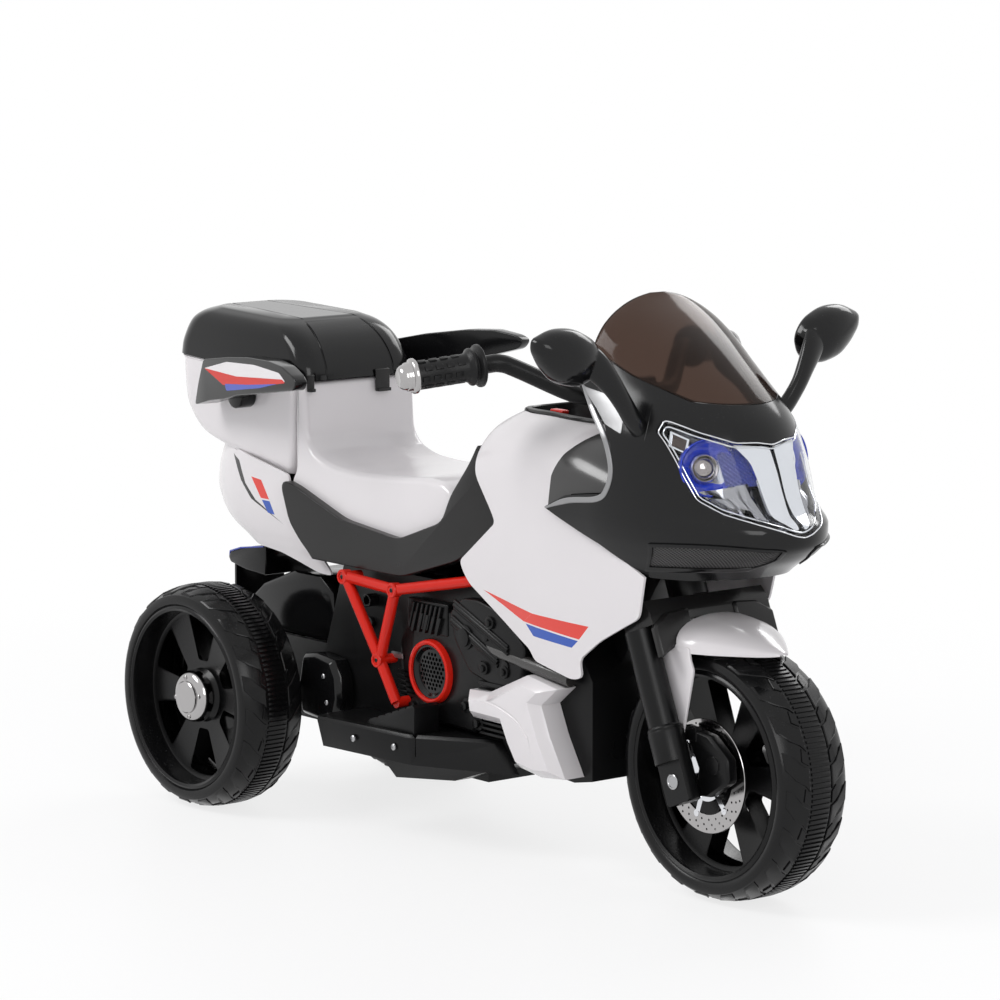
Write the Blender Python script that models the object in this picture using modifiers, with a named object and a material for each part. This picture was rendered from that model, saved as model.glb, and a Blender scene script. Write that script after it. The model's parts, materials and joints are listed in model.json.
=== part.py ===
"""A battery ride-on motorcycle for a child: three wheels, a seat with a lidded box behind it, a faired nose.

Metres, +Z up, the front is +X and the rider's left is +Y. Lengths along X are measured from the rear
axle; the whole toy then moves back by AXLE_TO_MIDDLE, so that the origin is on the ground under its middle.
"""

import math

import bmesh
import bpy
from mathutils import Matrix, Vector

# Stance
WHEELBASE = 0.793
AXLE_TO_MIDDLE = 0.371
REAR_RADIUS = 0.140
REAR_WIDTH = 0.095
REAR_TRACK = 0.325
FRONT_RADIUS = 0.147
FRONT_WIDTH = 0.100
LIP_SHARE = 0.812
RAKE = math.radians(22.3)

# Fits and walls
GAP = 0.0003
WALL = 0.003
AXLE_RADIUS = 0.006
BORE_CLEARANCE = 0.0003
WELD = 0.00001

# Wheels
SPOKES = 6
WEB_HALF = 0.013
HUB_RADIUS = 0.030
HUB_HALF = 0.022
BARREL_WALL = 0.006
WINDOW_INNER = 0.044
HUB_CAP_RADIUS = 0.033
HUB_CAP_DEPTH = 0.020
FRONT_HUB_HALF = 0.040
FRONT_AXLE_HALF = 0.0885
REAR_AXLE_HALF = 0.1925
DISC_RADIUS = 0.066
DISC_THICKNESS = 0.003

# Fork, measured along the steering axis up from the front axle
LEG_SPREAD = 0.085
LEG_RADIUS = 0.018
LOWER_LEG_RADIUS = 0.021
LOWER_LEG_TOP = 0.062
LOWER_LEG_FOOT = -0.026
CROWN_FOOT = 0.176
HEAD_FOOT = 0.206
HEAD_TOP = 0.395
HEAD_RADIUS = 0.023
STEM_RADIUS = 0.011
BAR_HEIGHT = 0.440
BAR_RADIUS = 0.0105
GRIP_RADIUS = 0.0165
FLANGE_RADIUS = 0.025
BAR_END_RADIUS = 0.0205

# Chassis
CHASSIS_HALF = 0.075
TAIL_HALF = 0.040
ARM_HALF = 0.055
DECK_HEIGHT = 0.3185
BATTERY_SIZE = (0.150, 0.090, 0.100)
BATTERY_PLACE = (0.255, 0.0, 0.078)
SHEET = 0.004

# Seat and box
BOX_REAR = -0.185
BOX_FRONT = 0.0715
BOX_HALF = 0.0855
BASE_REAR_HEIGHT = 0.4430
BASE_FRONT_HEIGHT = 0.4150
RIM_REAR_HEIGHT = 0.5480
RIM_FRONT_HEIGHT = 0.5345
BACK_FOOT_HEIGHT = 0.4640
LID_REAR = BOX_REAR - 0.0030
LID_FRONT = 0.0960
LID_ABOVE_REAR = 0.0010
LID_ABOVE_FRONT = 0.0007
LID_TO_SEAT = 0.0007
LID_HINGE_SETBACK = 0.0085
LID_BARREL_RADIUS = 0.0045
LID_PIN_RADIUS = 0.0022

# Armrests
ARM_BELOW_REAR_RIM = 0.0400
ARM_BELOW_FRONT_RIM = 0.0265
ARM_PIVOT = (-0.020, min(RIM_REAR_HEIGHT - ARM_BELOW_REAR_RIM, RIM_FRONT_HEIGHT - ARM_BELOW_FRONT_RIM))
ARM_FLARE = math.radians(12.5)
LEFT_ARM_LIFT = math.radians(6.5)

# Small moving pieces
PEDAL_PIVOT = (0.2915, 0.1360)
KEY_PLACE = (0.508, -0.022)
ROCKER_PLACE = (0.560, 0.020)

SHADES = {
    "black_gloss": ((0.012, 0.012, 0.013), 0.22, 0.0),
    "black_satin": ((0.022, 0.022, 0.023), 0.48, 0.0),
    "tyre_black": ((0.016, 0.016, 0.017), 0.42, 0.0),
    "trim_grey": ((0.045, 0.044, 0.043), 0.38, 0.0),
    "white_gloss": ((0.86, 0.85, 0.86), 0.25, 0.0),
    "red_gloss": ((0.78, 0.035, 0.020), 0.28, 0.0),
    "blue_gloss": ((0.03, 0.10, 0.75), 0.25, 0.0),
    "chrome": ((0.80, 0.80, 0.80), 0.10, 1.0),
    "steel": ((0.50, 0.50, 0.52), 0.30, 1.0),
    "pipe_metal": ((0.16, 0.15, 0.14), 0.30, 1.0),
    "smoke": ((0.13, 0.09, 0.07), 0.08, 0.0),
    "clear": ((0.85, 0.88, 0.92), 0.05, 0.0),
    "silver": ((0.72, 0.73, 0.76), 0.15, 1.0),
    "battery_grey": ((0.20, 0.21, 0.23), 0.60, 0.0),
}

for left_over in list(bpy.data.objects):
    bpy.data.objects.remove(left_over)
BIKE = bpy.data.collections.new("ride_on_motorcycle")
TOOLS = bpy.data.collections.new("cutters")
bpy.context.scene.collection.children.link(BIKE)
bpy.context.scene.collection.children.link(TOOLS)
TOOLS.hide_render = True


def shade(name):
    """The Principled material of this name, made on first use."""
    if name in bpy.data.materials:
        return bpy.data.materials[name]
    colour, roughness, metallic = SHADES[name]
    material = bpy.data.materials.new(name)
    material.use_nodes = True
    bsdf = material.node_tree.nodes["Principled BSDF"]
    bsdf.inputs["Base Color"].default_value = (*colour, 1.0)
    bsdf.inputs["Roughness"].default_value = roughness
    bsdf.inputs["Metallic"].default_value = metallic
    if name in ("smoke", "clear"):
        bsdf.inputs["Transmission Weight"].default_value = 0.8
    material.diffuse_color = (*colour, 1.0)
    return material


# Making and joining solids


def piece(name, bm, look):
    """A new object that holds this mesh, with its faces turned outwards."""
    bmesh.ops.remove_doubles(bm, verts=bm.verts, dist=WELD)
    bmesh.ops.recalc_face_normals(bm, faces=bm.faces)
    mesh = bpy.data.meshes.new(name)
    bm.to_mesh(mesh)
    bm.free()
    mesh.materials.append(shade(look))
    made = bpy.data.objects.new(name, mesh)
    BIKE.objects.link(made)
    return made


def settled(made):
    """The object again, with its modifiers and its place taken into a plain welded mesh."""
    name = made.name
    bpy.context.view_layer.update()
    graph = bpy.context.evaluated_depsgraph_get()
    mesh = bpy.data.meshes.new_from_object(made.evaluated_get(graph))
    mesh.transform(made.matrix_world)
    bm = bmesh.new()
    bm.from_mesh(mesh)
    bmesh.ops.remove_doubles(bm, verts=bm.verts, dist=WELD)
    bmesh.ops.dissolve_degenerate(bm, edges=bm.edges, dist=WELD)
    bmesh.ops.recalc_face_normals(bm, faces=bm.faces)
    bm.to_mesh(mesh)
    bm.free()
    materials = list(made.data.materials)
    bpy.data.objects.remove(made)
    mesh.materials.clear()
    for material in materials:
        mesh.materials.append(material)
    plain = bpy.data.objects.new(name, mesh)
    BIKE.objects.link(plain)
    return plain


def combined(target, tool, operation):
    """The target after one Boolean with the tool, which is used up."""
    BIKE.objects.unlink(tool)
    TOOLS.objects.link(tool)
    tool.display_type = "WIRE"
    tool.hide_render = True
    modifier = target.modifiers.new(operation.lower(), "BOOLEAN")
    modifier.operation = operation
    modifier.object = tool
    plain = settled(target)
    bpy.data.objects.remove(tool)
    return plain


def cut(target, *tools):
    for tool in tools:
        target = combined(target, tool, "DIFFERENCE")
    return target


def joined(target, *others):
    for other in others:
        target = combined(target, other, "UNION")
    return target


def kept_inside(target, tool):
    return combined(target, tool, "INTERSECT")


def copy_of(made, name):
    again = bpy.data.objects.new(name, made.data.copy())
    BIKE.objects.link(again)
    return again


def mirrored(made, name):
    """The same piece for the other side of the toy."""
    again = copy_of(made, name)
    again.data.transform(Matrix.Scale(-1, 4, (0, 1, 0)))
    again.data.flip_normals()
    return again


def pair(made, stem):
    """Names a right-hand piece and makes its left-hand twin."""
    made.name = stem + "_right"
    return made, mirrored(made, stem + "_left")


def rounded(made, width, angle=40, segments=1):
    bevel = made.modifiers.new("rounding", "BEVEL")
    bevel.width = width
    bevel.segments = segments
    bevel.limit_method = "ANGLE"
    bevel.angle_limit = math.radians(angle)
    return settled(made)


# Basic shapes


def block(name, low, high, look):
    """A box between two corners."""
    low = Vector(low)
    high = Vector(high)
    bm = bmesh.new()
    place = Matrix.Translation((low + high) / 2) @ Matrix.Diagonal((*(high - low), 1.0))
    bmesh.ops.create_cube(bm, size=1.0, matrix=place)
    return piece(name, bm, look)


def rod(name, start, end, radius, look, end_radius=None, sides=20):
    """A cylinder or a cone from one point to another."""
    start = Vector(start)
    end = Vector(end)
    along = end - start
    turn = along.to_track_quat("Z", "Y").to_matrix().to_4x4()
    place = Matrix.Translation((start + end) / 2) @ turn
    bm = bmesh.new()
    bmesh.ops.create_cone(
        bm,
        cap_ends=True,
        segments=sides,
        radius1=radius,
        radius2=radius if end_radius is None else end_radius,
        depth=along.length,
        matrix=place,
    )
    return piece(name, bm, look)


def turned(name, profile, look, place, steps=32, closed=True):
    """A profile of (radius, height) points turned about the local Z axis."""
    mesh = bpy.data.meshes.new(name)
    points = [(radius, 0.0, height) for radius, height in profile]
    edges = [(i, i + 1) for i in range(len(points) - 1)]
    if closed:
        edges.append((len(points) - 1, 0))
    mesh.from_pydata(points, edges, [])
    mesh.materials.append(shade(look))
    made = bpy.data.objects.new(name, mesh)
    BIKE.objects.link(made)
    screw = made.modifiers.new("turning", "SCREW")
    screw.steps = steps
    screw.render_steps = steps
    screw.use_merge_vertices = True
    screw.merge_threshold = WELD
    made.matrix_world = place
    return settled(made)


def across(x, y, z):
    """A place whose local Z axis points to the rider's left."""
    return Matrix.Translation((x, y, z)) @ Matrix.Rotation(math.radians(-90), 4, "X")


def plate(name, outline, y_low, y_high, look):
    """A flat outline of (x, z) points, as thick as the two y values are apart."""
    curve = bpy.data.curves.new(name, "CURVE")
    curve.dimensions = "2D"
    curve.fill_mode = "BOTH"
    curve.extrude = (y_high - y_low) / 2
    line = curve.splines.new("POLY")
    line.points.add(len(outline) - 1)
    for point, (x, z) in zip(line.points, outline):
        point.co = (x, z, 0.0, 1.0)
    line.use_cyclic_u = True
    curve.materials.append(shade(look))
    made = bpy.data.objects.new(name, curve)
    BIKE.objects.link(made)
    upright = Matrix.Rotation(math.radians(90), 4, "X")
    made.matrix_world = Matrix.Translation((0, (y_low + y_high) / 2, 0)) @ upright
    return settled(made)


def front_plate(name, outline, x_low, x_high, look):
    """A flat outline of (y, z) points seen from the front, as deep as the two x values are apart."""
    made = plate(name, outline, -x_high, -x_low, look)
    made.data.transform(Matrix.Rotation(math.radians(90), 4, "Z"))
    return made


def pipe(name, points, radius, look, sides=3):
    """A round tube along a smooth line through the points."""
    curve = bpy.data.curves.new(name, "CURVE")
    curve.dimensions = "3D"
    curve.bevel_depth = radius
    curve.bevel_resolution = sides
    curve.use_fill_caps = True
    line = curve.splines.new("POLY")
    line.points.add(len(points) - 1)
    for point, place in zip(line.points, points):
        point.co = (*place, 1.0)
    curve.materials.append(shade(look))
    made = bpy.data.objects.new(name, curve)
    BIKE.objects.link(made)
    return settled(made)


def loft(name, rings, look):
    """A solid through closed rings of points, capped at both ends."""
    bm = bmesh.new()
    rows = [[bm.verts.new(point) for point in ring] for ring in rings]
    count = len(rows[0])
    for near, far in zip(rows, rows[1:]):
        for i in range(count):
            bm.faces.new((near[i], near[(i + 1) % count], far[(i + 1) % count], far[i]))
    bm.faces.new(rows[0][::-1])
    bm.faces.new(rows[-1])
    return piece(name, bm, look)


def skin(name, rows, wall, look):
    """An open sheet through rows of points, given a wall that grows inwards."""
    bm = bmesh.new()
    grid = [[bm.verts.new(point) for point in row] for row in rows]
    for near, far in zip(grid, grid[1:]):
        for i in range(len(near) - 1):
            bm.faces.new((near[i], near[i + 1], far[i + 1], far[i]))
    made = piece(name, bm, look)
    return walled(made, wall)


def walled(made, wall):
    """The sheet with a wall on the side that faces the toy's middle."""
    centre = Vector((0.66, 0.0, 0.44))
    mesh = made.data
    outward = sum((face.center - centre).dot(face.normal) * face.area for face in mesh.polygons)
    if outward < 0:
        mesh.flip_normals()
    solidify = made.modifiers.new("wall", "SOLIDIFY")
    solidify.thickness = wall
    solidify.offset = -1.0
    solidify.use_even_offset = True
    return settled(made)


def blend(table, key):
    """Reads a table of (key, value, value...) rows between its rows, smoothly."""
    if key <= table[0][0]:
        return table[0][1:]
    for low, high in zip(table, table[1:]):
        if key <= high[0]:
            share = (key - low[0]) / (high[0] - low[0])
            return tuple(a + (b - a) * share for a, b in zip(low[1:], high[1:]))
    return table[-1][1:]


# Joint axes


def steer_point(along, side=0.0, ahead=0.0):
    """A point this far up the steering axis from the front axle, to one side, and ahead of the axis."""
    return Vector(
        (
            WHEELBASE - along * math.sin(RAKE) + ahead * math.cos(RAKE),
            side,
            FRONT_RADIUS + along * math.cos(RAKE) + ahead * math.sin(RAKE),
        )
    )


PIVOTS = {}


def pivot(name, place, parent=None):
    """An empty on a joint's axis, which carries what turns there."""
    empty = bpy.data.objects.new(name, None)
    empty.empty_display_size = 0.03
    BIKE.objects.link(empty)
    empty.location = place
    if parent:
        empty.parent = PIVOTS[parent]
        empty.location = Vector(place) - PIVOTS[parent].matrix_world.translation
    bpy.context.view_layer.update()
    PIVOTS[name] = empty
    return empty


def hang(name, *made):
    """Parents pieces to a pivot and leaves them where they are."""
    for each in made:
        each.parent = PIVOTS[name]
        each.matrix_parent_inverse = PIVOTS[name].matrix_world.inverted()


# Wheels


def wheel(name, radius, width, hub_half, x, y):
    """One moulded wheel: tread, side walls with a raised lip, barrel, spoked web and hub."""
    half = width / 2
    lip = radius * LIP_SHARE
    barrel = lip - BARREL_WALL
    bore = AXLE_RADIUS + BORE_CLEARANCE
    side = [
        (bore, hub_half),
        (HUB_RADIUS, hub_half),
        (HUB_RADIUS + 0.002, WEB_HALF),
        (barrel, WEB_HALF),
        (barrel, half - 0.006),
        (lip - 0.001, half - 0.001),
        (lip + 0.003, half - 0.003),
        (radius - 0.016, half),
        (radius - 0.005, half - 0.012),
        (radius, half - 0.032),
    ]
    profile = side + [(r, -a) for r, a in reversed(side)]
    made = turned(name, profile, "tyre_black", across(x, y, radius), steps=28)
    outer = barrel - 0.007
    for index in range(SPOKES):
        middle = 2 * math.pi * (index + 0.5) / SPOKES
        corners = []
        for reach, spread in ((WINDOW_INNER, -0.26), (WINDOW_INNER, 0.26), (outer, 0.33)):
            corners.append((reach, middle + spread))
        corners.append((outer + 0.004, middle))
        corners.append((outer, middle - 0.33))
        outline = [(x + r * math.cos(a), radius + r * math.sin(a)) for r, a in corners]
        made = cut(made, plate("window", outline, y - half, y + half, "tyre_black"))
    return made


def hub_cap(name, x, side):
    """The bell-shaped bright cap on the outer end of a rear hub."""
    base = HUB_HALF + GAP
    profile = [
        (0.0125, base),
        (HUB_CAP_RADIUS, base),
        (HUB_CAP_RADIUS, base + 0.003),
        (HUB_CAP_RADIUS - 0.004, base + 0.010),
        (HUB_CAP_RADIUS - 0.009, base + HUB_CAP_DEPTH - 0.002),
        (HUB_CAP_RADIUS - 0.011, base + HUB_CAP_DEPTH),
        (0.0, base + HUB_CAP_DEPTH),
        (0.0, base + HUB_CAP_DEPTH - WALL),
        (0.0125, base + HUB_CAP_DEPTH - WALL),
    ]
    centre = side * REAR_TRACK / 2
    made = turned(name, profile, "chrome", Matrix.Identity(4), steps=24)
    turn = math.radians(-90 * side)
    made.data.transform(Matrix.Translation((x, centre, REAR_RADIUS)) @ Matrix.Rotation(turn, 4, "X"))
    return made


# Fairings: one hull of level outlines makes the nose and the screen, another makes the tank sides

# height, front of the centre line, half width, start of the curve
NOSE_LEVELS = [
    (0.360, 0.826, 0.102, 0.690),
    (0.385, 0.858, 0.110, 0.690),
    (0.405, 0.892, 0.119, 0.690),
    (0.422, 0.908, 0.1255, 0.690),
    (0.438, 0.907, 0.1285, 0.690),
    (0.452, 0.890, 0.1290, 0.690),
    (0.470, 0.879, 0.1290, 0.690),
    (0.500, 0.867, 0.1280, 0.690),
    (0.530, 0.853, 0.1250, 0.685),
    (0.550, 0.843, 0.1200, 0.675),
    (0.570, 0.826, 0.1140, 0.665),
    (0.590, 0.803, 0.1070, 0.657),
    (0.610, 0.776, 0.1010, 0.655),
    (0.630, 0.747, 0.0950, 0.655),
    (0.648, 0.7185, 0.0845, 0.655),
    (0.662, 0.6950, 0.0700, 0.655),
    (0.674, 0.6740, 0.0500, 0.655),
    (0.681, 0.6625, 0.0310, 0.655),
    (0.685, 0.6570, 0.0120, 0.655),
]
NOSE_REAR = 0.590
NOSE_SQUARENESS = 1.85

# distance from the rear axle, half width, height of the shoulder, height of the crown
TANK_STATIONS = [
    (0.400, 0.1020, 0.440, 0.500),
    (0.430, 0.1045, 0.450, 0.516),
    (0.460, 0.1075, 0.458, 0.534),
    (0.500, 0.1120, 0.466, 0.546),
    (0.540, 0.1170, 0.472, 0.548),
    (0.580, 0.1200, 0.474, 0.545),
    (0.620, 0.1205, 0.474, 0.539),
    (0.660, 0.1190, 0.470, 0.531),
    (0.700, 0.1150, 0.462, 0.520),
    (0.740, 0.1085, 0.452, 0.510),
    (0.780, 0.1010, 0.445, 0.500),
]
TANK_FOOT = 0.225


def nose_outline(height, out=0.0):
    """One level of the nose, from its rear right edge round the front to its rear left edge."""
    front, half, start = blend(NOSE_LEVELS, height)
    front += out
    half += out
    right = [(NOSE_REAR, -half * 0.985), ((NOSE_REAR + start) / 2, -half * 0.997), (start, -half)]
    steps = 7
    for step in range(1, steps + 1):
        angle = math.pi / 2 * step / steps
        reach = math.sin(angle) ** (2 / NOSE_SQUARENESS)
        width = math.cos(angle) ** (2 / 2.05) if step < steps else 0.0
        right.append((start + (front - start) * reach, -half * width))
    points = right + [(x, -y) for x, y in reversed(right[:-1])]
    return [(x, y, height) for x, y in points]


def nose_sheet(name, low, high, wall, look):
    """The hull's skin between two heights."""
    levels = sorted({low, high} | {row[0] for row in NOSE_LEVELS if low < row[0] < high})
    return skin(name, [nose_outline(level) for level in levels], wall, look)


def nose_solid(name, out):
    """The whole hull as one solid, grown by this much, to fit other pieces against."""
    rings = [nose_outline(row[0], out) for row in NOSE_LEVELS]
    return loft(name, rings, "black_gloss")


def tank_section(x, half_turns=7, foot_steps=5):
    """Half a section of the tank: up its right side and over to the centre line."""
    half, shoulder, crown = blend(TANK_STATIONS, x)
    points = []
    for step in range(foot_steps):
        z = TANK_FOOT + (shoulder - TANK_FOOT) * step / foot_steps
        drawn_in = 0.020 * ((shoulder - z) / (shoulder - TANK_FOOT)) ** 1.6
        points.append((x, -(half - drawn_in), z))
    for step in range(half_turns + 1):
        angle = math.pi / 2 * step / half_turns
        width = half * math.cos(angle) ** 0.85 if step < half_turns else 0.0
        points.append((x, -width, shoulder + (crown - shoulder) * math.sin(angle) ** 0.95))
    return points


# The outlines below are seen from the side, as (x, z) points

NOSE_SIDE = [
    (0.640, 0.6338),
    (0.716, 0.6008),
    (0.756, 0.5878),
    (0.790, 0.5753),
    (0.850, 0.5678),
    (0.950, 0.5678),
    (0.950, 0.3850),
    (0.850, 0.3790),
    (0.800, 0.3750),
    (0.756, 0.3755),
    (0.697, 0.4090),
    (0.606, 0.4420),
    (0.645, 0.4600),
    (0.711, 0.4690),
    (0.722, 0.4970),
    (0.718, 0.5250),
    (0.699, 0.5520),
    (0.652, 0.5800),
    (0.640, 0.5900),
]

SCREEN_SIDE = [
    (0.656, 0.6280),
    (0.716, 0.6014),
    (0.756, 0.5884),
    (0.790, 0.5759),
    (0.850, 0.5684),
    (0.950, 0.5684),
    (0.950, 0.7200),
    (0.656, 0.7200),
]

# seen from the front, as (y, z) points, for the right half
LENS_HALF = [
    (0.0, 0.4285),
    (-0.046, 0.4390),
    (-0.072, 0.4540),
    (-0.087, 0.4740),
    (-0.0950, 0.5400),
    (-0.0930, 0.5560),
    (-0.0420, 0.5385),
    (0.0, 0.5300),
]

SIDE_PANEL = [
    (0.415, 0.353),
    (0.423, 0.338),
    (0.434, 0.327),
    (0.552, 0.266),
    (0.560, 0.254),
    (0.627, 0.241),
    (0.645, 0.245),
    (0.644, 0.267),
    (0.680, 0.293),
    (0.742, 0.327),
    (0.757, 0.390),
    (0.740, 0.430),
    (0.740, 0.560),
    (0.500, 0.560),
    (0.4530, 0.540),
    (0.4530, 0.477),
    (0.4570, 0.460),
    (0.4870, 0.423),
    (0.4960, 0.409),
]

TAIL_PANEL = [
    (0.0625, 0.4160),
    (-0.1100, 0.4455),
    (-0.1500, 0.4570),
    (-0.2000, 0.4850),
    (-0.2000, 0.3450),
    (-0.1000, 0.3340),
    (-0.0400, 0.3215),
    (0.0375, 0.3155),
    (0.0750, 0.3080),
    (0.1160, 0.2990),
    (0.1460, 0.2985),
    (0.1190, 0.3250),
    (0.0985, 0.3400),
    (0.0775, 0.3610),
    (0.0625, 0.4000),
]

BELLY = [
    (0.442, 0.2030),
    (0.480, 0.2050),
    (0.549, 0.2350),
    (0.603, 0.2260),
    (0.574, 0.2030),
    (0.590, 0.1680),
    (0.618, 0.1220),
    (0.575, 0.1180),
    (0.535, 0.1240),
    (0.518, 0.1480),
    (0.506, 0.1700),
    (0.448, 0.1710),
]


def moved(outline, outwards):
    """The outline with each side moved out by this much, for a clearance round it."""
    area = sum(a[0] * b[1] - b[0] * a[1] for a, b in zip(outline, outline[1:] + outline[:1]))
    sign = 1.0 if area > 0 else -1.0
    result = []
    for before, here, after in zip(outline[-1:] + outline[:-1], outline, outline[1:] + outline[:1]):
        first = (Vector(here) - Vector(before)).normalized()
        second = (Vector(after) - Vector(here)).normalized()
        normal_a = Vector((first.y, -first.x)) * sign
        normal_b = Vector((second.y, -second.x)) * sign
        bisector = (normal_a + normal_b).normalized()
        reach = outwards / max(0.35, bisector.dot(normal_a))
        result.append((here[0] + bisector.x * reach, here[1] + bisector.y * reach))
    return result


WIDE = 0.20


# Chassis and what it carries inside


TAIL_BEAM = [
    (0.2000, 0.2900),
    (0.2000, 0.3175),
    (0.1300, 0.3720),
    (-0.0980, 0.4080),
    (-0.0980, 0.3800),
    (-0.0850, 0.3620),
    (-0.0660, 0.3490),
    (0.1100, 0.3180),
]


def chassis():
    main = plate(
        "chassis",
        [
            (0.108, 0.168),
            (0.120, 0.1055),
            (0.205, 0.1050),
            (0.262, 0.0640),
            (0.455, 0.0640),
            (0.500, 0.0880),
            (0.600, 0.1120),
            (0.632, 0.1180),
            (0.632, 0.2350),
            (0.590, 0.3000),
            (0.440, DECK_HEIGHT),
            (0.160, DECK_HEIGHT),
        ],
        -CHASSIS_HALF,
        CHASSIS_HALF,
        "black_satin",
    )
    arm = block("arm", (-0.050, -ARM_HALF, 0.105), (0.140, ARM_HALF, 0.205), "black_satin")
    tail = plate("tail", TAIL_BEAM, -TAIL_HALF, TAIL_HALF, "black_satin")
    post = block("post", (-0.072, -0.022, 0.3075), (-0.048, 0.022, 0.370), "black_satin")
    neck = plate(
        "neck",
        [
            (0.540, 0.270),
            (0.615, 0.240),
            (0.680, 0.345),
            (0.700, 0.372),
            (0.640, 0.515),
            (0.560, 0.400),
            (0.480, 0.300),
        ],
        -0.022,
        0.022,
        "black_satin",
    )
    head = rod("head", steer_point(HEAD_FOOT), steer_point(HEAD_TOP), HEAD_RADIUS, "black_satin", sides=24)
    body = joined(main, arm, tail, post, neck, head)
    x, _, z = BATTERY_PLACE
    long, wide, _ = BATTERY_SIZE
    room = 0.003
    bay = block(
        "bay",
        (x - room, -wide / 2 - room, z - GAP),
        (x + long + room, wide / 2 + room, DECK_HEIGHT + 0.05),
        "black_satin",
    )
    gear_bay = block("gear_bay", (-0.040, -0.047, 0.1120), (0.078, 0.047, 0.25), "black_satin")
    stem_bore = rod(
        "stem_bore",
        steer_point(HEAD_FOOT - 0.02),
        steer_point(HEAD_TOP + 0.02),
        STEM_RADIUS + 0.0008,
        "black_satin",
        sides=24,
    )
    axle_bore = rod(
        "axle_bore",
        (0, -0.1, REAR_RADIUS),
        (0, 0.1, REAR_RADIUS),
        AXLE_RADIUS + BORE_CLEARANCE,
        "black_satin",
    )
    return cut(body, bay, gear_bay, stem_bore, axle_bore)


def battery():
    low = Vector((BATTERY_PLACE[0], -BATTERY_SIZE[1] / 2, BATTERY_PLACE[2]))
    high = Vector(
        (BATTERY_PLACE[0] + BATTERY_SIZE[0], BATTERY_SIZE[1] / 2, BATTERY_PLACE[2] + BATTERY_SIZE[2]),
    )
    case = rounded(block("battery", low, high, "battery_grey"), 0.0025)
    posts = []
    for y in (-0.028, 0.028):
        top = high.z + 0.006
        posts.append(
            block(
                "post",
                (low.x + 0.008, y - 0.004, high.z - 0.002),
                (low.x + 0.016, y + 0.004, top),
                "steel",
            ),
        )
    return joined(case, *posts)


def gearbox():
    """Gear case round the rear axle, with the motor lying across its top."""
    case = block("gearbox", (-0.036, -0.0435, 0.1123), (0.074, 0.0435, 0.178), "battery_grey")
    motor = rod("motor", (0.035, -0.040, 0.186), (0.035, 0.030, 0.186), 0.0175, "battery_grey", sides=24)
    body = joined(case, motor)
    bore = rod("bore", (0, -0.1, REAR_RADIUS), (0, 0.1, REAR_RADIUS), AXLE_RADIUS + BORE_CLEARANCE, "steel")
    return cut(body, bore)


def axle(name, x, z, half):
    made = rod(name, (x, -half, z), (x, half, z), AXLE_RADIUS, "steel")
    return rounded(made, 0.0008, angle=60)


# Seat, box and tail


SEAT_BASE = [
    (0.0620, 0.4120),
    (0.0620, 0.3800),
    (0.1000, 0.3190),
    (0.3030, 0.3190),
    (0.4100, 0.3520),
    (0.4550, 0.3800),
    (0.4950, 0.4080),
    (0.4870, 0.4230),
    (0.4570, 0.4600),
    (0.4525, 0.4770),
    (0.4520, 0.4990),
    (0.4330, 0.4700),
    (0.3970, 0.4280),
    (0.3810, 0.3950),
    (0.2940, 0.3640),
    (0.1840, 0.3750),
    (0.0900, 0.4060),
]


def seat_base():
    """The tray that the seat stands in, with the skirt seen below the seat."""
    made = plate("seat_base", SEAT_BASE, -0.0990, 0.0990, "trim_grey")
    made = cut(
        made,
        plate("tail_room", moved(TAIL_PANEL, 2 * GAP), -WIDE, WIDE, "trim_grey"),
        plate("side_room", moved(SIDE_PANEL, 2 * GAP), -WIDE, WIDE, "trim_grey"),
    )
    inside = plate(
        "inside",
        [
            (0.060, 0.3230),
            (0.3160, 0.3230),
            (0.3975, 0.3500),
            (0.3985, 0.3800),
            (0.3985, 0.60),
            (0.060, 0.60),
        ],
        -0.0880,
        0.0880,
        "trim_grey",
    )
    made = cut(made, inside)
    beam_half = TAIL_HALF + 2 * GAP
    beam_room = plate("beam_room", moved(TAIL_BEAM, 2 * GAP), -beam_half, beam_half, "trim_grey")
    neck_room = block("neck_room", (0.430, -0.026, 0.300), (0.520, 0.026, 0.470), "trim_grey")
    return cut(made, beam_room, neck_room, above_tank(0.395, 0.430, 0.470))


def above_tank(*stations):
    """All the room over the tank's surface between these distances from the rear axle."""
    rings = []
    for x in stations:
        right = [point for point in tank_section(x, foot_steps=0)]
        left = [(x, -y, z) for _, y, z in reversed(right[:-1])]
        shoulder = right[0][2]
        near = [(x, -WIDE, shoulder)]
        far = [(x, WIDE, shoulder), (x, WIDE, 0.70), (x, -WIDE, 0.70)]
        rings.append(near + right + left + far)
    return loft("above_tank", rings, "trim_grey")


def lid_edge(x):
    """The height of the lid's lower edge at a distance from the rear axle."""
    rear = RIM_REAR_HEIGHT + LID_ABOVE_REAR
    front = RIM_FRONT_HEIGHT + LID_ABOVE_FRONT
    return rear + (front - rear) * (x - LID_REAR) / (LID_FRONT - LID_REAR)


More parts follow.
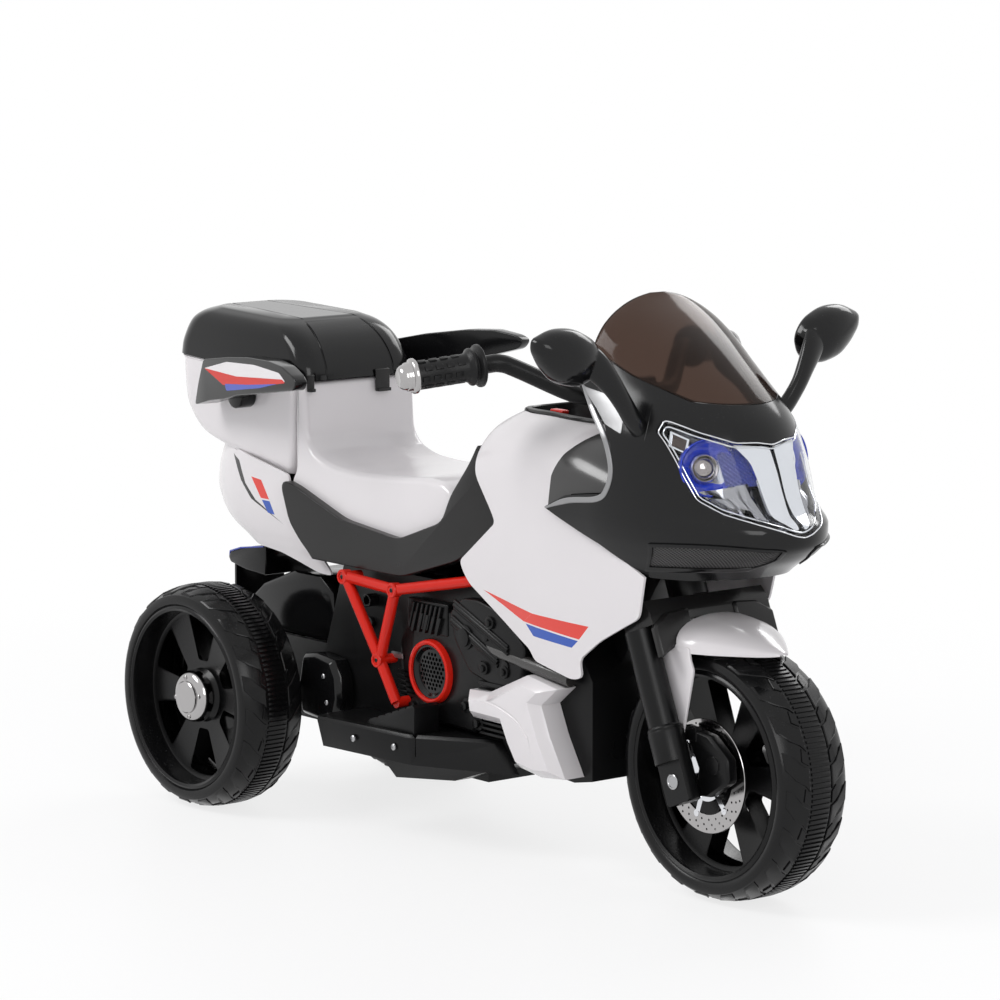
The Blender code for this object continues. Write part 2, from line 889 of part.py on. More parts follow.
def seat():
    """The moulded seat: an open shell with the backrest at its rear, under the lid's edge."""
    back_share = 82 / 141
    outline = [
        (0.0660, 0.4120),
        (0.0745, 0.4250),
        (0.0745, RIM_FRONT_HEIGHT - 0.0055),
        (0.0820, min(RIM_FRONT_HEIGHT, lid_edge(0.0820) - LID_TO_SEAT)),
        (0.0925, RIM_FRONT_HEIGHT - 0.0035),
        (0.0945, BACK_FOOT_HEIGHT + (RIM_FRONT_HEIGHT - BACK_FOOT_HEIGHT) * back_share),
        (0.0975, BACK_FOOT_HEIGHT),
        (0.1130, 0.4480),
        (0.1460, 0.4370),
        (0.1990, 0.4340),
        (0.2700, 0.4370),
        (0.3320, 0.4430),
        (0.3700, 0.4400),
        (0.3880, 0.4280),
        (0.3960, 0.4080),
        (0.3960, 0.3520),
        (0.3160, 0.3250),
        (0.1250, 0.3250),
        (0.0820, 0.3640),
        (0.0660, 0.4020),
    ]
    made = plate("seat", outline, -0.0875, 0.0875, "white_gloss")
    made = rounded(made, 0.006, angle=50, segments=2)
    hollow = plate(
        "hollow",
        [(0.152, 0.310), (0.122, 0.400), (0.135, 0.426), (0.365, 0.427), (0.385, 0.405), (0.385, 0.310)],
        -0.0815,
        0.0815,
        "white_gloss",
    )
    made = cut(made, hollow)
    beam_room = block(
        "beam_room",
        (0.060, -TAIL_HALF - 0.003, 0.300),
        (0.230, TAIL_HALF + 0.003, 0.396),
        "white_gloss",
    )
    return cut(made, beam_room)


def box_ring(rear, front, half, rear_height, front_height, corner, wall=0.0):
    """One level of the box in plan: round rear corners, tighter front ones, lower at the front."""
    rear += wall
    front -= wall
    half -= wall
    corner = max(corner - wall, 0.004)
    tight = 0.010
    points = []
    for step in range(5):
        angle = math.pi / 2 * step / 4
        points.append((rear + corner - corner * math.cos(angle), half - corner + corner * math.sin(angle)))
    for step in range(3):
        angle = math.pi / 2 * step / 2
        points.append((front - tight + tight * math.sin(angle), half - tight + tight * math.cos(angle)))
    plan = [(x, y) for x, y in points] + [(x, -y) for x, y in reversed(points)]
    slope = (front_height - rear_height) / (front - rear)
    return [(x, y, rear_height + (x - rear) * slope) for x, y in plan]


def up_the_box(rear_share, front_share):
    """Rear and front heights at these shares of the way from the base of the box to its rim."""
    rear = BASE_REAR_HEIGHT + (RIM_REAR_HEIGHT - BASE_REAR_HEIGHT) * rear_share
    front = BASE_FRONT_HEIGHT + (RIM_FRONT_HEIGHT - BASE_FRONT_HEIGHT) * front_share
    return rear, front


BOX_LEVELS = [
    (-0.110, 0.0560, 0.0780, *up_the_box(0.0, 0.0), 0.037),
    (-0.150, 0.0600, 0.0815, *up_the_box(13 / 105, 24 / 239), 0.037),
    (-0.170, 0.0650, 0.0835, *up_the_box(31 / 105, 70 / 239), 0.036),
    (-0.181, 0.0680, 0.0850, *up_the_box(55 / 105, 130 / 239), 0.035),
    (BOX_REAR, BOX_FRONT, BOX_HALF, *up_the_box(1.0, 1.0), 0.035),
]


def storage_box():
    """The open box behind the seat, with lugs for the lid and a foot on the tail beam."""
    outer = loft("storage_box", [box_ring(*level) for level in BOX_LEVELS], "white_gloss")
    inner_levels = [box_ring(*level, wall=WALL) for level in BOX_LEVELS]
    inner_levels[0] = [(x, y, z + WALL) for x, y, z in inner_levels[0]]
    inner_levels[-1] = [(x, y, z + 0.002) for x, y, z in inner_levels[-1]]
    inside = loft("inside", inner_levels, "white_gloss")
    foot = block("foot", (-0.050, -0.034, 0.4150), (0.050, 0.034, 0.4420), "white_gloss")
    slope_room = plate(
        "slope_room",
        [(0.20, 0.30), (0.20, 0.35), (0.10, 0.3770), (-0.098, 0.4084), (-0.30, 0.441), (-0.30, 0.30)],
        -WIDE,
        WIDE,
        "white_gloss",
    )
    foot = cut(foot, slope_room)
    lugs = []
    hinge_x = BOX_REAR - LID_HINGE_SETBACK
    for y in (-0.030, 0.024):
        arm = block(
            "lug",
            (hinge_x - 0.004, y, RIM_REAR_HEIGHT - 0.0160),
            (BOX_REAR + WALL - 0.0005, y + 0.006, RIM_REAR_HEIGHT - 0.0008),
            "white_gloss",
        )
        eye = rod(
            "eye",
            (hinge_x, y, RIM_REAR_HEIGHT),
            (hinge_x, y + 0.006, RIM_REAR_HEIGHT),
            LID_BARREL_RADIUS,
            "white_gloss",
        )
        lugs += [arm, eye]
    made = cut(joined(outer, foot, *lugs), inside)
    lid_room = block(
        "lid_room",
        (BOX_REAR + 0.001, -0.05, RIM_REAR_HEIGHT - 0.0003),
        (0, 0.05, RIM_REAR_HEIGHT + 0.022),
        "white_gloss",
    )
    made = cut(made, lid_room)
    bore = rod(
        "bore",
        (hinge_x, -0.1, RIM_REAR_HEIGHT),
        (hinge_x, 0.1, RIM_REAR_HEIGHT),
        LID_PIN_RADIUS + 0.0003,
        "white_gloss",
        sides=12,
    )
    return cut(made, bore)


def lid():
    """The hollow lid, low at the front, with two grooves along its crown."""
    rear = RIM_REAR_HEIGHT + LID_ABOVE_REAR
    front = RIM_FRONT_HEIGHT + LID_ABOVE_FRONT
    levels = [
        (LID_REAR, LID_FRONT, 0.0885, rear, front, 0.037),
        (BOX_REAR - 0.001, 0.0940, 0.0880, rear + 0.0140, front + 0.0138, 0.037),
        (BOX_REAR + 0.004, 0.0850, 0.0860, rear + 0.0290, front + 0.0308, 0.038),
        (BOX_REAR + 0.012, 0.0680, 0.0825, rear + 0.0450, front + 0.0498, 0.040),
        (BOX_REAR + 0.027, 0.0470, 0.0755, rear + 0.0555, front + 0.0628, 0.041),
        (BOX_REAR + 0.047, 0.0270, 0.0630, rear + 0.0615, front + 0.0703, 0.036),
    ]
    outer = loft("lid", [box_ring(*level) for level in levels], "black_gloss")
    inner_levels = [box_ring(*level, wall=WALL) for level in levels]
    inner_levels[0] = [(x, y, z - 0.002) for x, y, z in inner_levels[0]]
    inner_levels[-1] = [(x, y, z - WALL) for x, y, z in inner_levels[-1]]
    made = cut(outer, loft("inside", inner_levels, "black_gloss"))
    hinge_x = BOX_REAR - LID_HINGE_SETBACK
    height = RIM_REAR_HEIGHT
    barrel = rod(
        "barrel",
        (hinge_x, -0.0236, height),
        (hinge_x, 0.0236, height),
        LID_BARREL_RADIUS,
        "black_gloss",
    )
    pin = rod(
        "pin",
        (hinge_x, -0.0295, height),
        (hinge_x, 0.0295, height),
        LID_PIN_RADIUS,
        "black_gloss",
        sides=12,
    )
    strap = block(
        "strap",
        (hinge_x, -0.0236, height + 0.0012),
        (BOX_REAR + 0.0025, 0.0236, height + 0.0045),
        "black_gloss",
    )
    made = joined(made, barrel, pin, strap)
    grooves = []
    for y in (-0.034, 0.034):
        grooves.append(
            rod(
                "groove",
                (BOX_REAR - 0.005, y * 1.2, rear + 0.0635),
                (0.075, y * 0.85, front + 0.0713),
                0.0028,
                "black_gloss",
                sides=8,
            )
        )
    return cut(made, *grooves)


LATCH_FRONT = LID_FRONT + GAP
LATCH_RIGHT_Y = -0.0790
LATCH_LEFT_Y = 0.0330


def latch(name, middle, wide, tall):
    """A clip at the front edge of the lid, a plate with a finger lip."""
    top = RIM_FRONT_HEIGHT + 0.009
    foot = RIM_FRONT_HEIGHT + 0.003 - tall
    low = middle - wide / 2
    high = middle + wide / 2
    made = rounded(
        block(name, (LATCH_FRONT, low, foot), (LATCH_FRONT + 0.003, high, top), "trim_grey"),
        0.001,
    )
    lip = block(
        "lip",
        (LATCH_FRONT + 0.002, low + 0.0015, foot),
        (LATCH_FRONT + 0.007, high - 0.0015, foot + 0.004),
        "trim_grey",
    )
    return joined(made, lip)


TAIL_LEVELS = [
    (0.2900, 0.0250, 0.0780),
    (0.3050, 0.0400, 0.0790),
    (0.3180, 0.0550, 0.0800),
    (0.3235, 0.0750, 0.0810),
    (0.3315, 0.1042, 0.0820),
    (0.3375, 0.1254, 0.0830),
    (0.3500, 0.1490, 0.0840),
    (0.3660, 0.1630, 0.0850),
    (0.3830, 0.1700, 0.0855),
    (0.4050, 0.1670, 0.0855),
    (0.4250, 0.1580, 0.0855),
    (0.4435, 0.1470, 0.0850),
    (0.4850, 0.1300, 0.0830),
]


def tail_row(height):
    """One level of the tail, from beside the seat round to the middle of the rear."""
    reach, half = blend(TAIL_LEVELS, height)
    points = [(0.160, -half - 0.004, height), (0.080, -half - 0.002, height), (0.0, -half, height)]
    steps = 7
    for step in range(1, steps + 1):
        angle = math.pi / 2 * step / steps
        y = -half * math.cos(angle) if step < steps else 0.0
        points.append((-reach * math.sin(angle), y, height))
    return points


def tail_panel():
    made = skin("tail_panel", [tail_row(level[0]) for level in TAIL_LEVELS], WALL, "white_gloss")
    made = kept_inside(made, plate("tail_side", TAIL_PANEL, -WIDE, -GAP / 2, "white_gloss"))
    rings = [box_ring(*level, wall=-2 * GAP) for level in BOX_LEVELS]
    rings[0] = [(x, y, z - 2 * GAP) for x, y, z in rings[0]]
    return cut(made, loft("box_room", rings, "white_gloss"))


def tail_lamp():
    """The lamp under the tail with its plate, held by the chassis post."""
    outline = [
        (-0.0520, 0.3072),
        (-0.0780, 0.3050),
        (-0.1060, 0.2990),
        (-0.1290, 0.2920),
        (-0.1340, 0.2850),
        (-0.1290, 0.2780),
        (-0.0950, 0.2720),
        (-0.0520, 0.2700),
    ]
    body = rounded(plate("tail_lamp", outline, -0.040, 0.040, "black_gloss"), 0.003, segments=2)
    plate_part = block("number_plate", (-0.1220, -0.038, 0.2320), (-0.1180, 0.038, 0.2800), "black_gloss")
    return joined(body, plate_part)


def rear_mudguard():
    """The arched guard over the gearbox."""
    outline = [
        (-0.055, 0.2055),
        (0.104, 0.2055),
        (0.110, 0.2300),
        (0.104, 0.2700),
        (0.080, 0.2870),
        (0.020, 0.2870),
        (-0.040, 0.2650),
        (-0.085, 0.2300),
        (-0.092, 0.2150),
    ]
    made = plate("rear_mudguard", outline, -0.052, 0.052, "black_gloss")
    made = rounded(made, 0.006, segments=2)
    hollow = plate(
        "hollow",
        [
            (-0.051, 0.190),
            (0.100, 0.190),
            (0.103, 0.266),
            (0.080, 0.282),
            (0.022, 0.282),
            (-0.036, 0.260),
            (-0.078, 0.228),
        ],
        -0.046,
        0.046,
        "black_gloss",
    )
    return cut(made, hollow)


# Trim along the sides


def crowned(name, outline, base, edge, face, inset, look):
    """A panel on the right side: upright edges from base to edge, then a sloped rim up to its face."""
    rings = []
    for y, shrink in ((base, 0.0), (edge, 0.0), (face, inset)):
        rings.append([(x, y, z) for x, z in moved(outline, -shrink)])
    return loft(name, rings, look)


SIDE = -CHASSIS_HALF - GAP


def axle_cover():
    outline = [
        (0.100, 0.1220),
        (0.150, 0.1180),
        (0.172, 0.1260),
        (0.180, 0.1500),
        (0.178, 0.1780),
        (0.165, 0.1980),
        (0.130, 0.2020),
        (0.103, 0.1980),
        (0.094, 0.1600),
    ]
    made = crowned("axle_cover", outline, -ARM_HALF - GAP, -0.094, -0.101, 0.006, "black_gloss")
    room = block("room", (0.05, -CHASSIS_HALF - GAP, 0.05), (0.30, 0.0, 0.30), "black_gloss")
    return cut(made, room)


FRAME_Y = -0.1075
FRAME_TUBE = 0.0062
FRAME_JOINTS = {
    "rear": (0.2050, FRAME_Y, 0.3085),
    "top": (0.3030, FRAME_Y, 0.3045),
    "front": (0.4480, -0.0835, 0.3330),
    "middle": (0.2730, FRAME_Y, 0.2150),
    "foot": (0.3050, FRAME_Y, 0.1670),
}


FRAME_BOSSES = {"rear": 0.0098, "top": 0.0098, "middle": 0.0098, "foot": 0.0066}


def side_frame():
    """The red tubes of a trellis frame, on bosses that stand on the chassis."""
    tubes = []
    for start, end in (
        ("rear", "top"),
        ("top", "front"),
        ("rear", "middle"),
        ("top", "middle"),
        ("middle", "foot"),
    ):
        tubes.append(rod("tube", FRAME_JOINTS[start], FRAME_JOINTS[end], FRAME_TUBE, "red_gloss", sides=10))
    for name in FRAME_BOSSES:
        x, y, z = FRAME_JOINTS[name]
        out = y if name == "foot" else y - 0.0085
        tubes.append(
            rod("boss", (x, out, z), (x, SIDE - 0.0002, z), FRAME_BOSSES[name], "red_gloss", sides=14),
        )
    made = joined(tubes[0], *tubes[1:])
    made.name = "frame"
    return made


SPEAKER = (0.3530, 0.2100)
SPEAKER_RADIUS = 0.0390


def speaker():
    """A dished ring with its sound holes, on the side of the chassis."""
    x, z = SPEAKER
    back = -SIDE
    profile = [
        (0.0, back),
        (SPEAKER_RADIUS, back),
        (SPEAKER_RADIUS, back + 0.018),
        (SPEAKER_RADIUS - 0.003, back + 0.0225),
        (0.0320, back + 0.0225),
        (0.0275, back + 0.0155),
        (0.0, back + 0.0175),
    ]
    made = turned("speaker", profile, "black_gloss", Matrix.Identity(4), steps=28)
    made.data.transform(Matrix.Translation((x, 0, z)) @ Matrix.Rotation(math.radians(90), 4, "X"))
    holes = []
    for ring, count in ((0.0, 1), (0.0140, 6)):
        for index in range(count):
            angle = 2 * math.pi * index / count
            hx = x + ring * math.cos(angle)
            hz = z + ring * math.sin(angle)
            holes.append(
                rod("hole", (hx, SIDE - 0.010, hz), (hx, SIDE - 0.040, hz), 0.0045, "black_gloss", sides=6),
            )
    return cut(made, bundle(holes))


def bundle(pieces):
    """Separate closed pieces in one cutter."""
    bm = bmesh.new()
    for each in pieces:
        bm.from_mesh(each.data)
        bpy.data.objects.remove(each)
    return piece("bundle", bm, "black_gloss")


def engine_cover():
    """The dummy engine: a deep cover with a cylinder, fins, louvres and bolt bosses."""
    outline = [
        (0.300, 0.1700),
        (0.326, 0.1500),
        (0.430, 0.1460),
        (0.4460, 0.1660),
        (0.5030, 0.1660),
        (0.5080, 0.2150),
        (0.4960, 0.2600),
        (0.4560, 0.2930),
        (0.3400, 0.2860),
        (0.3050, 0.2760),
        (0.2880, 0.2400),
    ]
    made = crowned("engine_cover", outline, SIDE, -0.086, -0.090, 0.004, "black_satin")
    x, z = SPEAKER
    parts = [
        rod("cylinder", (0.424, -0.080, 0.262), (0.424, -0.0985, 0.262), 0.0150, "black_satin", sides=16),
        rod(
            "cylinder_cap",
            (0.424, -0.098, 0.262),
            (0.424, -0.1015, 0.262),
            0.0110,
            "black_satin",
            sides=16,
        ),
    ]
    for index in range(5):
        low = 0.176 + 0.0085 * index
        parts.append(block("fin", (0.450, -0.098, low), (0.500, -0.088, low + 0.004), "black_satin"))
    for index in range(5):
        start = 0.318 + 0.0115 * index
        top = 0.2800 - 0.0006 * index
        louvre = [(start, 0.2560), (start + 0.005, 0.2560), (start + 0.013, top), (start + 0.008, top)]
        parts.append(plate("louvre", louvre, -0.0965, -0.088, "black_satin"))
    for place in ((0.462, 0.268), (0.500, 0.238), (0.455, 0.232)):
        parts.append(
            rod(
                "bolt",
                (place[0], -0.088, place[1]),
                (place[0], -0.0985, place[1]),
                0.0062,
                "black_satin",
                sides=8,
            ),
        )
    made = joined(made, *parts)
    ring_room = rod(
        "ring_room",
        (x, -0.05, z),
        (x, -0.2, z),
        SPEAKER_RADIUS + 2 * GAP,
        "black_satin",
        sides=32,
    )
    belly_room = plate("belly_room", moved(BELLY, 2 * GAP), -WIDE, 0.0, "black_satin")
    made = cut(made, ring_room, belly_room)
    rooms = [
        rod("pipe_room", EXHAUST_START, EXHAUST_END, EXHAUST_RADIUS + 3 * GAP, "black_satin", sides=16),
    ]
    for name in ("top", "middle", "foot"):
        fx, _, fz = FRAME_JOINTS[name]
        rooms.append(
            rod(
                "boss_room",
                (fx, -0.05, fz),
                (fx, -0.2, fz),
                FRAME_BOSSES[name] + 2 * GAP,
                "black_satin",
                sides=14,
            ),
        )
    return cut(made, *rooms)


EXHAUST_START = (0.4480, -0.0900, 0.2540)
EXHAUST_END = (0.6120, -0.0900, 0.2370)
EXHAUST_RADIUS = 0.0085


def exhaust():
    """The stub of exhaust pipe between the engine and the belly panel."""
    made = rod("exhaust", EXHAUST_START, EXHAUST_END, EXHAUST_RADIUS, "pipe_metal", sides=16)
    foot = rod(
        "foot",
        (0.5750, -0.0880, 0.2408),
        (0.5750, SIDE - 0.0001, 0.2408),
        0.0050,
        "pipe_metal",
        sides=12,
    )
    return joined(made, foot)


def belly_panel():
    """The lower fairing in front of the running board, an open-backed shell."""
    made = crowned("belly_panel", BELLY, SIDE, -0.104, -0.116, 0.010, "white_gloss")
    inside = crowned("inside", moved(BELLY, -WALL), SIDE + 0.01, -0.1005, -0.1120, 0.010, "white_gloss")
    pipe_room = rod(
        "pipe_room",
        EXHAUST_START,
        EXHAUST_END,
        EXHAUST_RADIUS + 3 * GAP,
        "white_gloss",
        sides=16,
    )
    made = cut(made, inside, pipe_room)
    ribs = []
    for x, z in ((0.475, 0.187), (0.560, 0.150), (0.560, 0.212)):
        ribs.append(rod("rib", (x, -0.1135, z), (x, SIDE, z), 0.005, "white_gloss", sides=10))
    return joined(made, *ribs)


BOARD_TOP = 0.1420
BOARD_FOOT = 0.1052
PEDAL_BACK = 0.2850
PEDAL_FRONT = 0.3760
PEDAL_NEAR = 0.0985
PEDAL_FAR = 0.1360
PEDAL_ROOM = 0.0012
PEDAL_PIN = 0.0022


def running_board():
    """The board for the foot, with a pocket for the pedal."""
    top = [
        (0.2000, -0.0756),
        (0.2000, -0.1480),
        (0.2100, -0.1560),
        (0.3700, -0.1430),
        (0.4640, -0.0840),
        (0.4700, -0.0756),
    ]
    low = [
        (0.2060, -0.0756),
        (0.2060, -0.1430),
        (0.2140, -0.1500),
        (0.3740, -0.1400),
        (0.4900, -0.0870),
        (0.5000, -0.0756),
    ]
    rings = [
        [(x, y, BOARD_FOOT) for x, y in low],
        [(x, y, BOARD_TOP - 0.004) for x, y in top],
        [(x + 0.002 if x < 0.3 else x - 0.003, y + 0.0015 if y < -0.08 else y, BOARD_TOP) for x, y in top],
    ]
    made = loft("running_board", rings, "black_satin")
    pocket = block(
        "pocket",
        (PEDAL_BACK - PEDAL_ROOM, -PEDAL_FAR - PEDAL_ROOM, BOARD_TOP - 0.026),
        (PEDAL_FRONT + 3 * PEDAL_ROOM, -PEDAL_NEAR + PEDAL_ROOM, BOARD_TOP + 0.02),
        "black_satin",
    )
    x, z = PEDAL_PIVOT
    pin_bore = rod(
        "pin_bore",
        (x, -PEDAL_FAR - 0.005, z),
        (x, -PEDAL_NEAR + 0.005, z),
        PEDAL_PIN + BORE_CLEARANCE,
        "black_satin",
        sides=12,
    )
    return made, pocket, pin_bore


def pedal():
    """The foot pedal, which turns on pins in the board behind it."""
    outline = [
        (PEDAL_BACK, 0.1300),
        (PEDAL_BACK, 0.1440),
        (PEDAL_BACK + 0.004, 0.1480),
        (PEDAL_FRONT - 0.004, 0.1770),
        (PEDAL_FRONT, 0.1740),
        (PEDAL_FRONT - 0.001, 0.1310),
        (PEDAL_FRONT - 0.006, 0.1300),
    ]
    made = plate("pedal", outline, -PEDAL_FAR, -PEDAL_NEAR, "black_satin")
    grooves = []
    for index in range(5):
        near = PEDAL_BACK + 0.018 + 0.014 * index
        height = 0.1480 + (near - PEDAL_BACK - 0.004) * 0.349
        grooves.append(
            rod(
                "groove",
                (near, -0.2, height + 0.0008),
                (near, 0.0, height + 0.0008),
                0.0022,
                "black_satin",
                sides=8,
            ),
        )
    made = cut(made, bundle(grooves))
    x, z = PEDAL_PIVOT
    pin = rod(
        "pin",
        (x, -PEDAL_FAR - 0.0045, z),
        (x, -PEDAL_NEAR + 0.0045, z),
        PEDAL_PIN,
        "black_satin",
        sides=12,
    )
    return joined(made, pin)


def charging_socket():
    x = 0.2220
    z = 0.2790
    profile = [(0.0, 0.0), (0.0080, 0.0), (0.0080, 0.014), (0.0055, 0.014), (0.0055, 0.004), (0.0, 0.004)]
    made = turned("charging_socket", profile, "black_gloss", Matrix.Identity(4), steps=20)
    made.data.transform(Matrix.Translation((x, SIDE, z)) @ Matrix.Rotation(math.radians(90), 4, "X"))
    return made


# Tank


def tank_height(x, y):
    """The height of the tank's outer surface above a point."""
    half, shoulder, crown = blend(TANK_STATIONS, x)
    share = min(1.0, abs(y) / half) ** (1 / 0.85)
    return shoulder + (crown - shoulder) * math.sin(math.acos(share)) ** 0.95


TRAY_MIDDLE = 0.5540
TRAY_LONG = 0.1000
TRAY_WIDE = 0.0690
TRAY_FLOOR = 0.5080


def tray_ring(inset, height=None, raised=0.0):
    """An oval round the tray, level or following the tank."""
    points = []
    steps = 24
    for step in range(steps):
        angle = 2 * math.pi * step / steps
        c = math.cos(angle)
        s = math.sin(angle)
        x = TRAY_MIDDLE + (TRAY_LONG - inset) * math.copysign(abs(c) ** 0.85, c)
        y = (TRAY_WIDE - inset) * math.copysign(abs(s) ** 0.85, s)
        points.append((x, y, tank_height(x, y) + raised if height is None else height))
    return points


def column_room(name, radius):
    return rod(name, steer_point(0.30), steer_point(0.52), radius, "black_gloss", sides=24)


def side_panel():
    """The right half of the tank and the fairing under it, one moulded shell."""
    made = skin("side_panel", [tank_section(row[0]) for row in TANK_STATIONS], WALL, "white_gloss")
    made = kept_inside(made, plate("side", SIDE_PANEL, -WIDE, -GAP / 2, "white_gloss"))
    made = cut(made, plate("nose_room", moved(NOSE_SIDE, 2 * GAP), -WIDE, WIDE, "white_gloss"))
    tray_room = loft(
        "tray_room",
        [tray_ring(-2 * GAP, height=0.490), tray_ring(-2 * GAP, height=0.600)],
        "white_gloss",
    )
    return cut(made, tray_room)


def tank_tray():
    """The dark rim and the hollow in the top of the tank, where the key is."""
    rings = [
        tray_ring(0.020, height=TRAY_FLOOR - 0.0035),
        tray_ring(0.003, height=TRAY_FLOOR),
        tray_ring(0.0, raised=-0.002),
        tray_ring(0.0015, raised=0.003),
        tray_ring(0.0055, raised=0.003),
    ]
    outer = loft("tank_tray", rings, "trim_grey")
    inside = loft(
        "inside",
        [
            tray_ring(0.022, height=TRAY_FLOOR),
            tray_ring(0.0085, height=TRAY_FLOOR + 0.006),
            tray_ring(0.0070, raised=0.006),
        ],
        "trim_grey",
    )
    made = cut(outer, inside, column_room("column_room", HEAD_RADIUS + 0.003))
    kx, ky = KEY_PLACE
    boss = rod(
        "boss",
        (kx, ky, TRAY_FLOOR - 0.001),
        (kx, ky, TRAY_FLOOR + 0.004),
        0.0085,
        "trim_grey",
        sides=20,
    )
    made = joined(made, boss)
    bore = rod(
        "bore",
        (kx, ky, TRAY_FLOOR - 0.02),
        (kx, ky, TRAY_FLOOR + 0.02),
        0.0034,
        "trim_grey",
        sides=16,
    )
    rx, ry = ROCKER_PLACE
    slot = block(
        "slot",
        (rx - 0.0105, ry - 0.0065, TRAY_FLOOR - 0.02),
        (rx + 0.0105, ry + 0.0065, TRAY_FLOOR + 0.02),
        "trim_grey",
    )
    return cut(made, bore, slot)


def key():
    """The key: a round stem with a flat head."""
    x, y = KEY_PLACE
    stem = rod("key", (x, y, TRAY_FLOOR - 0.012), (x, y, TRAY_FLOOR + 0.026), 0.0031, "red_gloss", sides=16)
    head = block(
        "head",
        (x - 0.0115, y - 0.0055, TRAY_FLOOR + 0.024),
        (x + 0.0115, y + 0.0055, TRAY_FLOOR + 0.0285),
        "red_gloss",
    )
    return joined(stem, rounded(head, 0.0012))


def direction_switch():
    """The rocker that picks forwards or backwards."""
    x, y = ROCKER_PLACE
    outline = [
        (x - 0.0095, TRAY_FLOOR - 0.006),
        (x - 0.0095, TRAY_FLOOR + 0.0045),
        (x, TRAY_FLOOR + 0.0015),
        (x + 0.0095, TRAY_FLOOR + 0.0045),
        (x + 0.0095, TRAY_FLOOR - 0.006),
    ]
    return plate("direction_switch", outline, y - 0.0060, y + 0.0060, "black_gloss")


# Nose


def lens_outline(inset=0.0):
    right = LENS_HALF
    left = [(-y, z) for y, z in reversed(right[1:-1])]
    return moved(right + left, -inset)


def nose_fairing():
    made = nose_sheet("nose_fairing", 0.360, 0.634, WALL, "black_gloss")
    made = kept_inside(made, plate("side", NOSE_SIDE, -WIDE, WIDE, "black_gloss"))
    return cut(made, front_plate("aperture", lens_outline(), 0.74, 0.96, "black_gloss"))


def windshield():
    made = nose_sheet("windshield", 0.560, NOSE_LEVELS[-1][0], WALL, "smoke")
    return kept_inside(made, plate("side", SCREEN_SIDE, -WIDE, WIDE, "smoke"))


def headlight_lens():
    made = nose_sheet("headlight_lens", 0.405, 0.570, WALL, "clear")
    return kept_inside(made, front_plate("aperture", lens_outline(2 * GAP), 0.745, 0.96, "clear"))


# where the bowl's rim touches the lens from behind, as (y, z) points
HOUSING_SEATS = [(-0.0895, 0.500), (0.0895, 0.500), (0.0, 0.4295)]


def headlight_housing():
    """The bowl behind the lens, with pegs on its rim that reach the lens."""
    made = nose_solid("headlight_housing", -0.0085)
    made = kept_inside(made, front_plate("reach", lens_outline(-0.003), 0.735, 0.96, "silver"))
    pocket = front_plate("pocket", lens_outline(0.004), 0.742, 0.96, "silver")
    made = cut(made, pocket)
    for y, z in HOUSING_SEATS:
        peg = rod("peg", (0.790, y, z), (0.950, y, z), 0.0030, "silver", sides=12)
        peg = kept_inside(peg, nose_solid("hull", -0.001))
        peg = cut(peg, nose_sheet("lens_room", 0.405, 0.570, WALL + GAP, "silver"))
        made = joined(made, peg)
    return made


def mirror():
    """A mirror's shell on its stalk, with a shallow seat for the glass."""
    centre = Vector((0.722, -0.2000, 0.6330))
    lean = Matrix.Rotation(math.radians(-15), 4, "X") @ Matrix.Rotation(math.radians(6), 4, "Y")
    place = Matrix.Translation(centre) @ lean
    rings = []
    for depth, share in (
        (0.0, 0.97),
        (0.004, 1.0),
        (0.015, 0.93),
        (0.023, 0.74),
        (0.029, 0.44),
        (0.032, 0.12),
    ):
        ring = []
        for step in range(20):
            angle = 2 * math.pi * step / 20
            c = math.cos(angle)
            s = math.sin(angle)
            y = 0.0420 * share * math.copysign(abs(c) ** 0.9, c)
            z = 0.0280 * share * math.copysign(abs(s) ** 0.9, s)
            ring.append(place @ Vector((depth, y, z)))
        rings.append(ring)
    shell = loft("mirror", rings, "black_satin")
    glass_room = []
    for depth in (-0.01, 0.0025):
        ring = []
        for step in range(20):
            angle = 2 * math.pi * step / 20
            c = math.cos(angle)
            s = math.sin(angle)
            y = 0.0370 * math.copysign(abs(c) ** 0.9, c)
            z = 0.0240 * math.copysign(abs(s) ** 0.9, s)
            ring.append(place @ Vector((depth, y, z)))
        glass_room.append(ring)
    stalk_line = [
        (0.7380, -0.1880, 0.6380, 0.0120, 0.0120),
        (0.7440, -0.1660, 0.6280, 0.0110, 0.0150),
        (0.7500, -0.1460, 0.6050, 0.0105, 0.0135),
        (0.7520, -0.1300, 0.5790, 0.0105, 0.0110),
        (0.7500, -0.1150, 0.5560, 0.0115, 0.0100),
        (0.7480, -0.1030, 0.5420, 0.0120, 0.0090),
    ]
    rings = []
    for index, (x, y, z, wide, deep) in enumerate(stalk_line):
        before = Vector(stalk_line[max(0, index - 1)][:3])
        after = Vector(stalk_line[min(len(stalk_line) - 1, index + 1)][:3])
        along = (after - before).normalized()
        side = Vector((0.25, 1.0, 0.15)).cross(along).normalized()
        out = along.cross(side)
        ring = []
        for step in range(10):
            angle = 2 * math.pi * step / 10
            ring.append(Vector((x, y, z)) + side * wide * math.cos(angle) + out * deep * math.sin(angle))
        rings.append(ring)
    stalk = loft("stalk", rings, "black_satin")
    made = joined(shell, stalk)
    return cut(made, loft("glass_room", glass_room, "black_satin"), nose_solid("nose_room", GAP))


# Steering, fork and front wheel, built upright on the steering axis and then leant back


def leant(made):
    """Moves a piece from (ahead, side, along the axis) to its place on the toy."""
    place = Matrix.Translation((WHEELBASE, 0, FRONT_RADIUS)) @ Matrix.Rotation(-RAKE, 4, "Y")
    made.data.transform(place)
    return made


